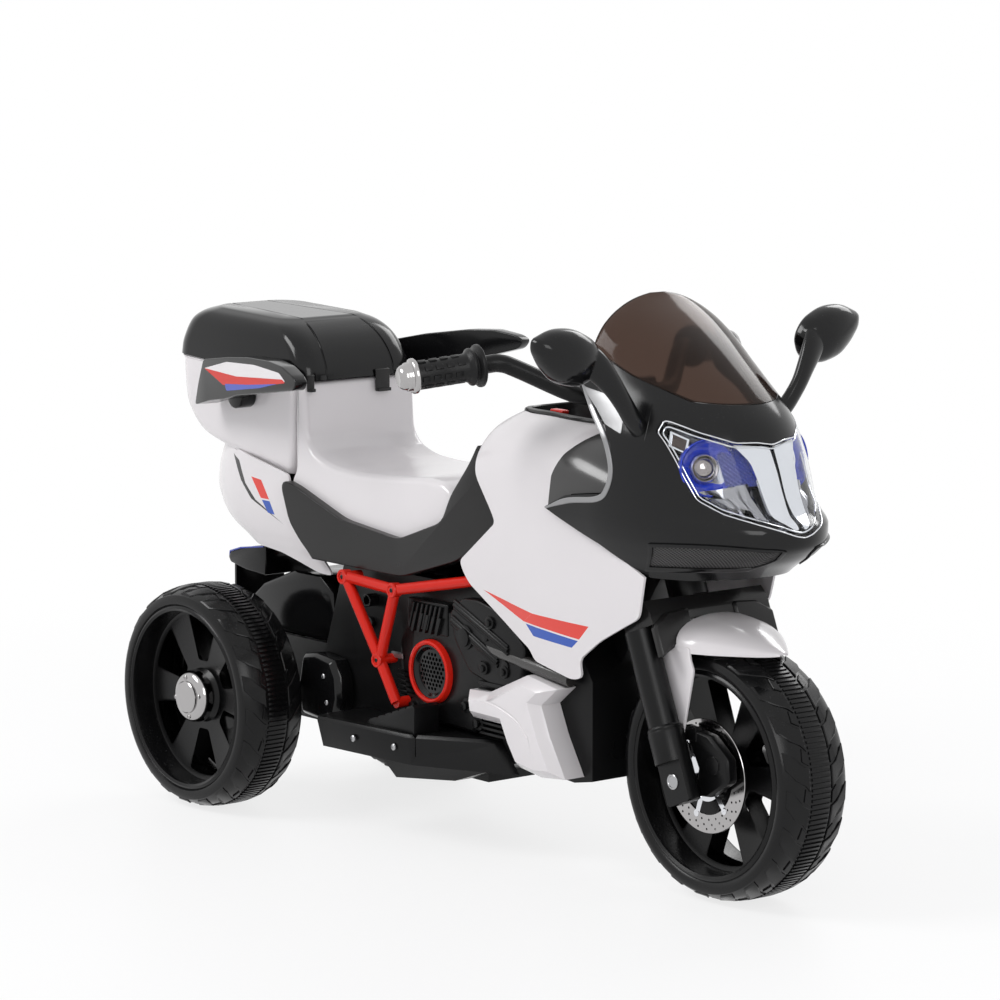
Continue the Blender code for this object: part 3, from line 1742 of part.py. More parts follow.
def steering_column():
    """The yoke that holds both legs, its front covers, and the stem up to the handlebar clamp."""
    yoke = plate(
        "steering_column",
        [(-0.020, CROWN_FOOT), (-0.020, 0.2050), (0.024, 0.2050), (0.030, 0.1900), (0.030, CROWN_FOOT)],
        -0.0900,
        0.0900,
        "trim_grey",
    )
    parts = [rod("stem", (0, 0, 0.190), (0, 0, BAR_HEIGHT + 0.012), STEM_RADIUS, "trim_grey", sides=24)]
    for side in (-1, 1):
        cover = front_plate(
            "cover",
            [
                (side * 0.034, 0.160),
                (side * 0.034, 0.190),
                (side * 0.070, 0.187),
                (side * 0.091, 0.174),
                (side * 0.091, 0.135),
                (side * 0.078, 0.142),
            ],
            0.0235,
            0.0345,
            "trim_grey",
        )
        parts.append(rounded(cover, 0.003, angle=50))
    made = joined(yoke, *parts)
    leg_rooms = []
    for side in (-1, 1):
        leg_rooms.append(
            rod(
                "leg_room",
                (0, side * LEG_SPREAD, 0.10),
                (0, side * LEG_SPREAD, CROWN_FOOT),
                LEG_RADIUS + 3 * GAP,
                "trim_grey",
                sides=24,
            ),
        )
    made = cut(made, *leg_rooms)
    clamp = block(
        "clamp",
        (-0.030, -0.024, BAR_HEIGHT - 0.014),
        (0.014, 0.024, BAR_HEIGHT + 0.028),
        "trim_grey",
    )
    made = joined(made, rounded(clamp, 0.003))
    bar_room = rod(
        "bar_room",
        (BAR_LINE[0][0], -0.1, BAR_LINE[0][2]),
        (BAR_LINE[0][0], 0.1, BAR_LINE[0][2]),
        BAR_RADIUS + GAP,
        "trim_grey",
        sides=16,
    )
    return leant(cut(made, bar_room))


# handlebar, right half, as (ahead, side, along) points
BAR_LINE = [
    (-0.0080, 0.0, 0.4530),
    (-0.0080, -0.0400, 0.4530),
    (-0.0140, -0.0600, 0.4565),
    (-0.0260, -0.0800, 0.4680),
    (-0.0500, -0.1230, 0.5050),
    (-0.0580, -0.1400, 0.5160),
    (-0.0680, -0.1600, 0.5185),
    (-0.0985, -0.2500, 0.5200),
]


def handlebar():
    left = [(a, -s, h) for a, s, h in BAR_LINE[:0:-1]]
    made = pipe("handlebar", left + BAR_LINE, BAR_RADIUS, "black_satin")
    return leant(made)


def along_grip(start):
    """A place with its Z axis along the outer part of the handlebar, the origin at the flange."""
    a = Vector(BAR_LINE[-2])
    b = Vector(BAR_LINE[-1])
    along = (b - a).normalized()
    return Matrix.Translation(a + along * start) @ along.to_track_quat("Z", "Y").to_matrix().to_4x4()


def grip():
    """A soft grip with a double collar and raised blocks."""
    bore = BAR_RADIUS + GAP
    profile = [
        (bore, 0.0),
        (FLANGE_RADIUS - 0.002, 0.0),
        (FLANGE_RADIUS, 0.002),
        (FLANGE_RADIUS, 0.005),
        (FLANGE_RADIUS - 0.006, 0.007),
        (FLANGE_RADIUS - 0.006, 0.009),
        (FLANGE_RADIUS - 0.003, 0.011),
        (FLANGE_RADIUS - 0.003, 0.014),
        (FLANGE_RADIUS - 0.007, 0.017),
        (GRIP_RADIUS, 0.020),
        (GRIP_RADIUS - 0.0015, 0.079),
        (bore, 0.079),
    ]
    made = turned("grip", profile, "black_satin", along_grip(0.001), steps=16)
    blocks = []
    place = along_grip(0.001)
    for row in range(4):
        turn = Matrix.Rotation(math.pi / 2 * row, 4, "Z")
        for index in range(2):
            low = 0.0270 + index * 0.0270
            piece_part = block(
                "block",
                (GRIP_RADIUS - 0.005, -0.0034, low),
                (GRIP_RADIUS + 0.0012, 0.0034, low + 0.016),
                "black_satin",
            )
            piece_part.data.transform(place @ turn)
            blocks.append(piece_part)
    return leant(joined(made, bundle(blocks)))


def bar_end():
    """The bright stepped cap on the end of the bar."""
    base = 0.0803
    profile = [
        (0.0, base + 0.016),
        (0.0, base + 0.022),
        (0.0105, base + 0.021),
        (0.0150, base + 0.014),
        (0.0165, base + 0.012),
        (0.0165, base + 0.008),
        (BAR_END_RADIUS - 0.001, base + 0.006),
        (BAR_END_RADIUS, base + 0.004),
        (BAR_END_RADIUS, base),
        (BAR_RADIUS + GAP, base),
        (BAR_RADIUS + GAP, base + 0.016),
    ]
    return leant(turned("bar_end", profile, "chrome", along_grip(0.001), steps=20))


def fork_leg():
    side = -LEG_SPREAD
    upper = rod(
        "fork_leg",
        (0, side, LOWER_LEG_TOP - 0.002),
        (0, side, CROWN_FOOT - GAP),
        LEG_RADIUS,
        "black_satin",
        sides=24,
    )
    lower = rod(
        "lower",
        (0, side, LOWER_LEG_FOOT),
        (0, side, LOWER_LEG_TOP),
        LOWER_LEG_RADIUS,
        "black_satin",
        sides=24,
    )
    made = joined(upper, lower)
    face = side - 0.0075
    face_room = block(
        "face_room",
        (-0.03, -WIDE, LOWER_LEG_FOOT - 0.01),
        (0.03, face, 0.022),
        "black_satin",
    )
    made = cut(made, face_room)
    cap = rod("cap", (0, side, 0), (0, face - 0.0020, 0), 0.0090, "black_satin", sides=20)
    made = joined(made, cap)
    bore = rod(
        "bore",
        (0, -FRONT_AXLE_HALF - GAP, 0),
        (0, 0, 0),
        AXLE_RADIUS + BORE_CLEARANCE,
        "black_satin",
    )
    return leant(cut(made, bore))


def caliper():
    """The brake cover beside the disc, with its round cap."""
    outline = [
        (0.772, 0.2060),
        (0.820, 0.1990),
        (0.850, 0.1760),
        (0.852, 0.1500),
        (0.820, 0.1290),
        (0.794, 0.1270),
        (0.800, 0.1600),
        (0.786, 0.1850),
    ]
    made = plate("caliper", outline, -0.0625, -0.0460, "black_satin")
    made = rounded(made, 0.003, segments=1)
    cap = rod("cap", (0.827, -0.060, 0.1670), (0.827, -0.0645, 0.1670), 0.0105, "black_satin", sides=20)
    made = joined(made, cap)
    arm = block("arm", (0.780, -0.0638, 0.190), (0.799, -0.0550, 0.206), "black_satin")
    leg_room = rod(
        "leg_room",
        (0, -LEG_SPREAD, -0.1),
        (0, -LEG_SPREAD, 0.2),
        LOWER_LEG_RADIUS + 2 * GAP,
        "black_satin",
        sides=24,
    )
    axle_room = rod("axle_room", (0, -WIDE, 0), (0, WIDE, 0), AXLE_RADIUS + 2 * GAP, "black_satin")
    return cut(joined(made, arm), leant(leg_room), leant(axle_room))


# distance from the rear axle, height of the crown, height of the edge, half width
FENDER_STATIONS = [
    (0.7000, 0.3190, 0.2930, 0.0620),
    (0.7250, 0.3240, 0.2925, 0.0665),
    (0.7550, 0.3255, 0.2905, 0.0690),
    (0.7850, 0.3225, 0.2900, 0.0670),
    (0.8110, 0.3175, 0.2900, 0.0570),
    (0.8330, 0.3110, 0.2900, 0.0420),
    (0.8510, 0.3045, 0.2900, 0.0280),
    (0.8660, 0.2990, 0.2905, 0.0150),
    (0.8750, 0.2955, 0.2915, 0.0060),
]


def front_fender():
    """The front mudguard with an arm down each side."""
    rows = []
    for x, crown, edge, half in FENDER_STATIONS:
        row = []
        for step in range(11):
            angle = math.pi * step / 10
            row.append((x, -half * math.cos(angle), edge + (crown - edge) * math.sin(angle) ** 0.8))
        rows.append(row)
    bm = bmesh.new()
    grid = [[bm.verts.new(point) for point in row] for row in rows]
    for near, far in zip(grid, grid[1:]):
        for i in range(len(near) - 1):
            bm.faces.new((near[i], near[i + 1], far[i + 1], far[i]))
    made = piece("front_fender", bm, "white_gloss")
    up = sum(face.normal.z * face.area for face in made.data.polygons)
    if up < 0:
        made.data.flip_normals()
    solidify = made.modifiers.new("wall", "SOLIDIFY")
    solidify.thickness = WALL
    solidify.offset = -1.0
    solidify.use_even_offset = True
    made = settled(made)
    arm_line = [
        (0.7340, 0.2790),
        (0.7490, 0.3030),
        (0.7900, 0.2980),
        (0.7925, 0.2830),
        (0.7980, 0.2710),
        (0.7820, 0.2010),
        (0.7770, 0.1965),
        (0.7640, 0.1960),
        (0.7390, 0.2600),
    ]
    arms = [
        plate("arm", arm_line, -0.0672, -0.0640, "white_gloss"),
        plate("arm", arm_line, 0.0640, 0.0672, "white_gloss"),
    ]
    made = joined(made, *arms)
    rooms = []
    for side in (-1, 1):
        for radius, low, high in ((LEG_RADIUS, 0.05, 0.30), (LOWER_LEG_RADIUS, -0.1, LOWER_LEG_TOP + GAP)):
            rooms.append(
                leant(
                    rod(
                        "leg_room",
                        (0, side * LEG_SPREAD, low),
                        (0, side * LEG_SPREAD, high),
                        radius + 2 * GAP,
                        "white_gloss",
                        sides=24,
                    ),
                ),
            )
    yoke_room = leant(block("yoke_room", (-0.05, -0.12, 0.1325), (0.0352, 0.12, 0.30), "white_gloss"))
    return cut(made, *rooms, yoke_room)


def brake_disc():
    y = -FRONT_HUB_HALF - GAP
    profile = [
        (AXLE_RADIUS + 0.001, 0.0),
        (DISC_RADIUS, 0.0),
        (DISC_RADIUS, DISC_THICKNESS),
        (AXLE_RADIUS + 0.001, DISC_THICKNESS),
    ]
    made = turned("brake_disc", profile, "chrome", Matrix.Identity(4), steps=32)
    made.data.transform(
        Matrix.Translation((WHEELBASE, y, FRONT_RADIUS)) @ Matrix.Rotation(math.radians(90), 4, "X"),
    )
    windows = []
    for index in range(6):
        middle = math.pi / 3 * index
        corners = []
        for reach, spread in ((0.026, -0.30), (0.026, 0.30), (0.042, 0.36), (0.042, -0.36)):
            angle = middle + spread
            corners.append((WHEELBASE + reach * math.cos(angle), FRONT_RADIUS + reach * math.sin(angle)))
        windows.append(plate("window", corners, y - 0.02, y + 0.02, "chrome"))
    return cut(made, bundle(windows))


# Armrests


def armrest():
    """The right armrest, lowered, on its boss beside the box."""
    outline = [
        (-0.0730, -0.0170),
        (-0.0620, 0.0120),
        (-0.0450, 0.0440),
        (0.0300, 0.0540),
        (0.0920, 0.0600),
        (0.1550, 0.0620),
        (0.1960, 0.0595),
        (0.2290, 0.0510),
        (0.2400, 0.0440),
        (0.2310, 0.0340),
        (0.1460, 0.0215),
        (0.0570, 0.0090),
        (0.0170, 0.0000),
        (-0.0300, -0.0070),
    ]
    made = plate("armrest", outline, -0.015, 0.015, "black_gloss")
    for vertex in made.data.vertices:
        share = min(1.0, max(0.0, (vertex.co.x - 0.050) / 0.200))
        vertex.co.y = -0.015 + (vertex.co.y + 0.015) * (1 - 0.5 * share)
    made = rounded(made, 0.005, segments=2)
    x, z = ARM_PIVOT
    made.data.transform(Matrix.Translation((x, -0.1190, z)) @ Matrix.Rotation(-ARM_FLARE, 4, "Z"))
    boss = rod("boss", (x, -0.1100, z), (x, -BOX_HALF - 0.0012, z), 0.0150, "black_gloss", sides=24)
    pin = rod("pin", (x, -0.1100, z), (x, -BOX_HALF + 0.0026, z), 0.0050, "black_gloss", sides=16)
    return joined(made, boss, pin)


# The toy at rest

CHASSIS = chassis()
BATTERY = battery()
GEARBOX = gearbox()
REAR_AXLE = axle("rear_axle", 0.0, REAR_RADIUS, REAR_AXLE_HALF)
SEAT_TRAY = seat_base()
SEAT = seat()
BOX = storage_box()
ARM_RIGHT = armrest()
ARM_LEFT = mirrored(ARM_RIGHT, "armrest_left")
ARM_RIGHT.name = "armrest_right"
hinge = Vector((ARM_PIVOT[0], 0, ARM_PIVOT[1]))
lift = Matrix.Translation(hinge) @ Matrix.Rotation(-LEFT_ARM_LIFT, 4, "Y") @ Matrix.Translation(-hinge)
ARM_LEFT.data.transform(lift)
arm_holes = rod(
    "arm_holes",
    (ARM_PIVOT[0], -WIDE, ARM_PIVOT[1]),
    (ARM_PIVOT[0], WIDE, ARM_PIVOT[1]),
    0.0050 + BORE_CLEARANCE,
    "black_gloss",
    sides=16,
)
BOX = cut(BOX, arm_holes)
LID = lid()
BACKREST = RIM_FRONT_HEIGHT - BACK_FOOT_HEIGHT
LATCHES = (
    latch("lid_latch_right", LATCH_RIGHT_Y, 0.0110, BACKREST * 10 / 47),
    latch("lid_latch_left", LATCH_LEFT_Y, 0.0220, BACKREST * 44 / 141),
)
TAIL = pair(tail_panel(), "tail_panel")
TAIL_LAMP = tail_lamp()
MUDGUARD = rear_mudguard()
AXLE_COVERS = pair(axle_cover(), "axle_cover")
FRAMES = pair(side_frame(), "frame")
SPEAKERS = pair(speaker(), "speaker")
ENGINES = pair(engine_cover(), "engine_cover")
EXHAUSTS = pair(exhaust(), "exhaust")
BELLIES = pair(belly_panel(), "belly_panel")
board, pocket, pin_bore = running_board()
BOARD_LEFT = mirrored(board, "running_board_left")
board.name = "running_board_right"
BOARD_RIGHT = cut(board, pocket, pin_bore)
PEDAL = pedal()
SOCKET = charging_socket()
PANELS = pair(side_panel(), "side_panel")
TRAY = tank_tray()
KEY = key()
ROCKER = direction_switch()
NOSE = nose_fairing()
SCREEN = windshield()
LENS = headlight_lens()
HOUSING = headlight_housing()
MIRRORS = pair(mirror(), "mirror")
COLUMN = steering_column()
BAR = handlebar()
GRIPS = pair(grip(), "grip")
BAR_ENDS = pair(bar_end(), "bar_end")
LEGS = pair(fork_leg(), "fork_leg")
FENDER = front_fender()
FRONT_AXLE = axle("front_axle", WHEELBASE, FRONT_RADIUS, FRONT_AXLE_HALF)
CALIPER = caliper()
FRONT_WHEEL = wheel("front_wheel", FRONT_RADIUS, FRONT_WIDTH, FRONT_HUB_HALF, WHEELBASE, 0.0)
DISC = brake_disc()
REAR_RIGHT = wheel("rear_wheel_right", REAR_RADIUS, REAR_WIDTH, HUB_HALF, 0.0, -REAR_TRACK / 2)
REAR_LEFT = wheel("rear_wheel_left", REAR_RADIUS, REAR_WIDTH, HUB_HALF, 0.0, REAR_TRACK / 2)
CAP_RIGHT = hub_cap("hub_cap_right", 0.0, -1)
CAP_LEFT = hub_cap("hub_cap_left", 0.0, 1)

# Joints, in the same frame, before the whole toy moves

pivot("toy", (0, 0, 0))
pivot("steering_pivot", steer_point(BAR_HEIGHT), "toy")
pivot("front_spin", (WHEELBASE, 0, FRONT_RADIUS), "steering_pivot")
pivot("rear_spin_right", (0, -REAR_TRACK / 2, REAR_RADIUS), "toy")
pivot("rear_spin_left", (0, REAR_TRACK / 2, REAR_RADIUS), "toy")
pivot("lid_pivot", (BOX_REAR - LID_HINGE_SETBACK, 0, RIM_REAR_HEIGHT), "toy")
pivot("latch_pivot_right", (LATCH_FRONT, LATCH_RIGHT_Y, RIM_FRONT_HEIGHT + 0.009), "lid_pivot")
pivot("latch_pivot_left", (LATCH_FRONT, LATCH_LEFT_Y, RIM_FRONT_HEIGHT + 0.009), "lid_pivot")
pivot("arm_pivot_right", (ARM_PIVOT[0], -BOX_HALF, ARM_PIVOT[1]), "toy")
pivot("arm_pivot_left", (ARM_PIVOT[0], BOX_HALF, ARM_PIVOT[1]), "toy")
pivot("pedal_pivot", (PEDAL_PIVOT[0], -(PEDAL_NEAR + PEDAL_FAR) / 2, PEDAL_PIVOT[1]), "toy")
pivot("key_pivot", (*KEY_PLACE, TRAY_FLOOR), "toy")
pivot("switch_pivot", (*ROCKER_PLACE, TRAY_FLOOR - 0.002), "toy")

hang("steering_pivot", COLUMN, BAR, *GRIPS, *BAR_ENDS, *LEGS, FENDER, FRONT_AXLE, CALIPER)
hang("front_spin", FRONT_WHEEL, DISC)
hang("rear_spin_right", REAR_RIGHT, CAP_RIGHT)
hang("rear_spin_left", REAR_LEFT, CAP_LEFT)
hang("lid_pivot", LID)
hang("latch_pivot_right", LATCHES[0])
hang("latch_pivot_left", LATCHES[1])
hang("arm_pivot_right", ARM_RIGHT)
hang("arm_pivot_left", ARM_LEFT)
hang("pedal_pivot", PEDAL)
hang("key_pivot", KEY)
hang("switch_pivot", ROCKER)
hang("toy", CHASSIS, BATTERY, GEARBOX, REAR_AXLE, SEAT_TRAY, SEAT, BOX, *TAIL, TAIL_LAMP, MUDGUARD)
hang("toy", *AXLE_COVERS, *FRAMES, *SPEAKERS, *ENGINES, *EXHAUSTS, *BELLIES, BOARD_RIGHT, BOARD_LEFT)
hang("toy", SOCKET, *PANELS, TRAY, NOSE, SCREEN, LENS, HOUSING, *MIRRORS)
PIVOTS["toy"].location = (-AXLE_TO_MIDDLE, 0, 0)

for each in BIKE.objects:
    if each.type == "MESH":
        for face in each.data.polygons:
            face.use_smooth = True
        bpy.context.view_layer.objects.active = each
        each.data.set_sharp_from_angle(angle=math.radians(32))
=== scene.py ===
# %% [markdown]
# # A ride-on motorcycle for a small child
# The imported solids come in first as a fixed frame. Every piece made below is the finer surface of
# one of them: it sits where the solid sits and rides on the same body, so the joints move it.

import json
import math

import bmesh
import bpy
from mathutils import Matrix, Vector

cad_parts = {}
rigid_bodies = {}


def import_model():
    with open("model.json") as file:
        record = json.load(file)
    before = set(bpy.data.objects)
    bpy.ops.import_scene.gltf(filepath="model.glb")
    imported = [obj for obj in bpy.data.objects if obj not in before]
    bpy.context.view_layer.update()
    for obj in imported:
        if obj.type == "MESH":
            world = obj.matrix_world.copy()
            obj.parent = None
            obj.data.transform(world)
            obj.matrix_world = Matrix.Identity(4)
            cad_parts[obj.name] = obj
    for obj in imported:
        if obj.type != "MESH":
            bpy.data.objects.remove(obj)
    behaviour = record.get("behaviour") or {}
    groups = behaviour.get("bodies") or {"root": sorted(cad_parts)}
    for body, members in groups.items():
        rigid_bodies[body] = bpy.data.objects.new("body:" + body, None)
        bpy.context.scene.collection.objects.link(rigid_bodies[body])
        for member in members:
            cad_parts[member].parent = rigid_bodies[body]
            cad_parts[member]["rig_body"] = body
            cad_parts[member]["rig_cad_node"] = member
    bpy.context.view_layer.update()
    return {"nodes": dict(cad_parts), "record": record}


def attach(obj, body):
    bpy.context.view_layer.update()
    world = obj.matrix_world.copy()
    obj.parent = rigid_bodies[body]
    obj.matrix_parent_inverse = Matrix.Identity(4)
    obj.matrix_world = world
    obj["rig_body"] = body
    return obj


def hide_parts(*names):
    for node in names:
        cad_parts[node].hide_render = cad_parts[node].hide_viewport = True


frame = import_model()
NODES = frame["nodes"]

# %% [markdown]
# ## Where things are
# Lengths along the toy are easiest to read from the rear axle, so every x below is counted from
# there and one small function moves it to the model's own origin, under the middle of the toy.

# %% Stance
REAR_AXLE_X = -0.371
WHEELBASE = 0.793
REAR_RADIUS = 0.14
FRONT_RADIUS = 0.147
REAR_TRACK = 0.325
RAKE = math.radians(22.3)
SEAM = 0.0003
WALL = 0.003
WIDE = 0.2


def at(x, y, z):
    """A point of the model, from its distance ahead of the rear axle, to the left and up."""
    return Vector((x + REAR_AXLE_X, y, z))


STEER_PLACE = Matrix.Translation(at(WHEELBASE, 0, FRONT_RADIUS)) @ Matrix.Rotation(-RAKE, 4, "Y")

# %% [markdown]
# ## Hands for modelling
# Blender's operators act on whatever is selected, so each step starts from an empty selection.
# These helpers do what a hand does over and over: select, apply, copy, mirror, join, round, cut.

# %% Selecting, applying and placing


def only(obj):
    """Selects this object alone and makes it the active one."""
    bpy.ops.object.select_all(action="DESELECT")
    obj.select_set(True)
    bpy.context.view_layer.objects.active = obj
    return obj


def applied(obj):
    """Makes the object a plain mesh with its modifiers and its place taken in."""
    only(obj)
    if obj.type != "MESH":
        bpy.ops.object.convert(target="MESH")
        obj = bpy.context.object
    for modifier in list(obj.modifiers):
        bpy.ops.object.modifier_apply(modifier=modifier.name)
    bpy.ops.object.transform_apply(location=True, rotation=True, scale=True)
    return obj


def moved_by(obj, matrix):
    """Moves, turns or mirrors the mesh itself, with its faces kept outward."""
    obj.data.transform(matrix)
    if matrix.determinant() < 0:
        obj.data.flip_normals()
    return obj


def linked(name, data):
    """A new object of the scene."""
    obj = bpy.data.objects.new(name, data)
    bpy.context.scene.collection.objects.link(obj)
    return obj


def again(obj):
    """A copy with a mesh of its own."""
    copy = obj.copy()
    copy.data = obj.data.copy()
    bpy.context.scene.collection.objects.link(copy)
    return copy


def twin(obj):
    """The same piece for the other side of the toy."""
    return moved_by(again(obj), Matrix.Scale(-1, 4, (0, 1, 0)))


def joined(objects):
    """Several meshes in one object."""
    bpy.ops.object.select_all(action="DESELECT")
    for obj in objects:
        obj.select_set(True)
    bpy.context.view_layer.objects.active = objects[0]
    bpy.ops.object.join()
    return bpy.context.object


def edged(obj, width, segments=3, angle=35):
    """Rounds every edge sharper than the angle."""
    bevel = obj.modifiers.new("edges", "BEVEL")
    bevel.width = width
    bevel.segments = segments
    bevel.limit_method = "ANGLE"
    bevel.angle_limit = math.radians(angle)
    bevel.miter_outer = "MITER_ARC"
    return applied(obj)


def boolean(obj, tool, operation="DIFFERENCE"):
    """One Boolean with a tool that is then thrown away."""
    modifier = obj.modifiers.new("cut", "BOOLEAN")
    modifier.operation = operation
    modifier.object = tool
    obj = applied(obj)
    bpy.data.objects.remove(tool)
    return obj

# %% [markdown]
# ## Basic shapes
# Blocks and rods start from Blender's own primitives. A lathe draws half a section point by point,
# as one would with the extrude key, and spins it round the Z axis.

# %% Blocks, rods and turned profiles


def cube(low, high, rim=0.0, segments=2):
    """A block between two corners, given in distances from the rear axle."""
    low = at(*low)
    high = at(*high)
    bpy.ops.object.select_all(action="DESELECT")
    bpy.ops.mesh.primitive_cube_add(size=1, location=(low + high) / 2, scale=high - low)
    obj = applied(bpy.context.object)
    return edged(obj, rim, segments) if rim else obj


def local_block(middle, size):
    """A block at a place of its own, to be moved into position later."""
    bpy.ops.object.select_all(action="DESELECT")
    bpy.ops.mesh.primitive_cube_add(size=1, location=middle, scale=size)
    return applied(bpy.context.object)


def rod(start, end, radius, rim=0.0, sides=32, far_radius=None):
    """A round bar or a cone between two model points."""
    start = Vector(start)
    end = Vector(end)
    along = end - start
    bpy.ops.object.select_all(action="DESELECT")
    bpy.ops.mesh.primitive_cone_add(
        vertices=sides,
        radius1=radius,
        radius2=radius if far_radius is None else far_radius,
        depth=along.length,
        location=(start + end) / 2,
        rotation=along.to_track_quat("Z", "Y").to_euler(),
    )
    obj = applied(bpy.context.object)
    return edged(obj, rim, 2) if rim else obj


def lathe(profile, place, steps=64):
    """A (radius, height) profile, extruded point by point in edit mode and spun round Z."""
    bpy.ops.object.select_all(action="DESELECT")
    bpy.ops.mesh.primitive_plane_add(size=0.01)
    obj = bpy.context.object
    bpy.ops.object.mode_set(mode="EDIT")
    mesh = bmesh.from_edit_mesh(obj.data)
    mesh.verts.ensure_lookup_table()
    bmesh.ops.delete(mesh, geom=mesh.verts[1:], context="VERTS")
    mesh.verts.ensure_lookup_table()
    mesh.verts[0].co = (profile[0][0], 0, profile[0][1])
    mesh.verts[0].select = True
    bmesh.update_edit_mesh(obj.data)
    for (radius, height), (next_radius, next_height) in zip(profile, profile[1:]):
        step = (next_radius - radius, 0, next_height - height)
        bpy.ops.mesh.extrude_vertices_move(TRANSFORM_OT_translate={"value": step})
    bpy.ops.mesh.select_all(action="SELECT")
    bpy.ops.mesh.spin(steps=steps, angle=2 * math.pi, center=(0, 0, 0), axis=(0, 0, 1))
    bpy.ops.mesh.remove_doubles(threshold=0.00002)
    bpy.ops.mesh.normals_make_consistent(inside=False)
    bpy.ops.object.mode_set(mode="OBJECT")
    return moved_by(obj, place)


def facing(x, y, z, side):
    """A place whose Z axis points out to the right (side -1) or to the left (side 1)."""
    return Matrix.Translation(at(x, y, z)) @ Matrix.Rotation(math.radians(-90 * side), 4, "X")

# %% [markdown]
# Flat mouldings start as an outline, a list of corners in order. Its corners can be softened or its
# sides pushed outwards, and then it is filled and extruded to the wanted width.

# %% Outlines and slabs


def sides_of(outline):
    """Each corner with the next one, all the way round."""
    return list(zip(outline, outline[1:] + outline[:1]))


def corners_of(outline):
    """Each corner between the one before and the one after."""
    return list(zip(outline[-1:] + outline[:-1], outline, outline[1:] + outline[:1]))


def turn_of(outline):
    """1 if the corners run counterclockwise, otherwise -1."""
    return 1 if sum(a[0] * b[1] - b[0] * a[1] for a, b in sides_of(outline)) > 0 else -1


def outset(outline, reach):
    """The outline with each side moved out."""
    result = []
    for before, here, after in corners_of(outline):
        first = (Vector(here) - Vector(before)).normalized()
        second = (Vector(after) - Vector(here)).normalized()
        normals = [Vector((side.y, -side.x)) * turn_of(outline) for side in (first, second)]
        middle = (normals[0] + normals[1]).normalized()
        step = reach / max(0.35, middle.dot(normals[0]))
        result.append((here[0] + middle.x * step, here[1] + middle.y * step))
    return result


def soft_corners(outline, radius, steps=4):
    """The outline with each corner turned into a short curve."""
    result = []
    for before, here, after in corners_of(outline):
        here = Vector(here)
        back = Vector(before) - here
        on = Vector(after) - here
        reach = min(radius, back.length * 0.45, on.length * 0.45)
        start = here + back.normalized() * reach
        end = here + on.normalized() * reach
        for step in range(steps + 1):
            t = step / steps
            result.append(tuple(start * (1 - t) ** 2 + here * 2 * t * (1 - t) + end * t * t))
    return result


def slab(outline, near, far, rim=0.0, segments=2, corner=0.0):
    """An (x, z) outline seen from the side, filled and extruded from one y to another."""
    if corner:
        outline = soft_corners(outline, corner)
    mesh = bpy.data.meshes.new("slab")
    mesh.from_pydata([at(x, near, z) for x, z in outline], [], [range(len(outline))])
    obj = only(linked("slab", mesh))
    bpy.ops.object.mode_set(mode="EDIT")
    bpy.ops.mesh.select_all(action="SELECT")
    bpy.ops.mesh.extrude_region_move(TRANSFORM_OT_translate={"value": (0, far - near, 0)})
    bpy.ops.mesh.select_all(action="SELECT")
    bpy.ops.mesh.normals_make_consistent(inside=False)
    bpy.ops.object.mode_set(mode="OBJECT")
    return edged(obj, rim, segments) if rim else obj


def front_slab(outline, near, far, corner=0.0):
    """A (y, z) outline seen from the front, extruded from one x to another."""
    obj = slab(outline, -far, -near, corner=corner)
    turn = Matrix.Rotation(math.radians(90), 4, "Z") @ Matrix.Translation((-REAR_AXLE_X, 0, 0))
    return moved_by(obj, Matrix.Translation((REAR_AXLE_X, 0, 0)) @ turn)

# %% [markdown]
# Rounded bodies are lofts, skins through rings of points. A grid whose points follow a function
# makes a curved sheet, and a solidify modifier gives it a wall as thick as the plastic is.

# %% Lofts and sheets


def skinned(mesh, rows):
    """Joins rows of vertices with faces and caps both ends."""
    count = len(rows[0])
    for near, far in zip(rows, rows[1:]):
        for i in range(count):
            j = (i + 1) % count
            mesh.faces.new((near[i], near[j], far[j], far[i]))
    mesh.faces.new(rows[0][::-1])
    mesh.faces.new(rows[-1])


def as_object(mesh, name):
    """Turns a bmesh into an object of the scene."""
    bmesh.ops.recalc_face_normals(mesh, faces=mesh.faces)
    data = bpy.data.meshes.new(name)
    mesh.to_mesh(data)
    mesh.free()
    return linked(name, data)


def loft(rings):
    """A solid through rings of points, with both ends capped."""
    mesh = bmesh.new()
    skinned(mesh, [[mesh.verts.new(point) for point in ring] for ring in rings])
    bmesh.ops.remove_doubles(mesh, verts=mesh.verts, dist=0.00001)
    return as_object(mesh, "loft")


def sheet(across, along, shape, wall, outward):
    """A grid whose points a shape function places, given a wall on the side away from outward."""
    bpy.ops.object.select_all(action="DESELECT")
    bpy.ops.mesh.primitive_grid_add(x_subdivisions=across, y_subdivisions=along, size=1)
    obj = bpy.context.object
    for vertex in obj.data.vertices:
        vertex.co = shape(vertex.co.x + 0.5, vertex.co.y + 0.5)
    side = sum(face.normal.dot(outward(face.center)) * face.area for face in obj.data.polygons)
    if side < 0:
        obj.data.flip_normals()
    if wall:
        solid = obj.modifiers.new("wall", "SOLIDIFY")
        solid.thickness = wall
        solid.offset = -1
        solid.use_even_offset = True
    return applied(obj)

# %% [markdown]
# Smooth lines come from a few points that a curve runs through. The same idea reads a table of
# sections: between two rows each value follows a curve that never overshoots.

# %% Curves, tubes and tables


def curved(points, count):
    """More points along a smooth line through these."""
    points = [Vector(point) for point in points]
    padded = [points[0] * 2 - points[1]] + points + [points[-1] * 2 - points[-2]]
    result = []
    for step in range(count):
        place = step / (count - 1) * (len(points) - 1)
        i = min(int(place), len(points) - 2)
        t = place - i
        a, b, c, d = padded[i : i + 4]
        result.append(
            0.5 * (2 * b + (c - a) * t + (2 * a - 5 * b + 4 * c - d) * t * t + (3 * b - a - 3 * c + d) * t**3)
        )
    return result


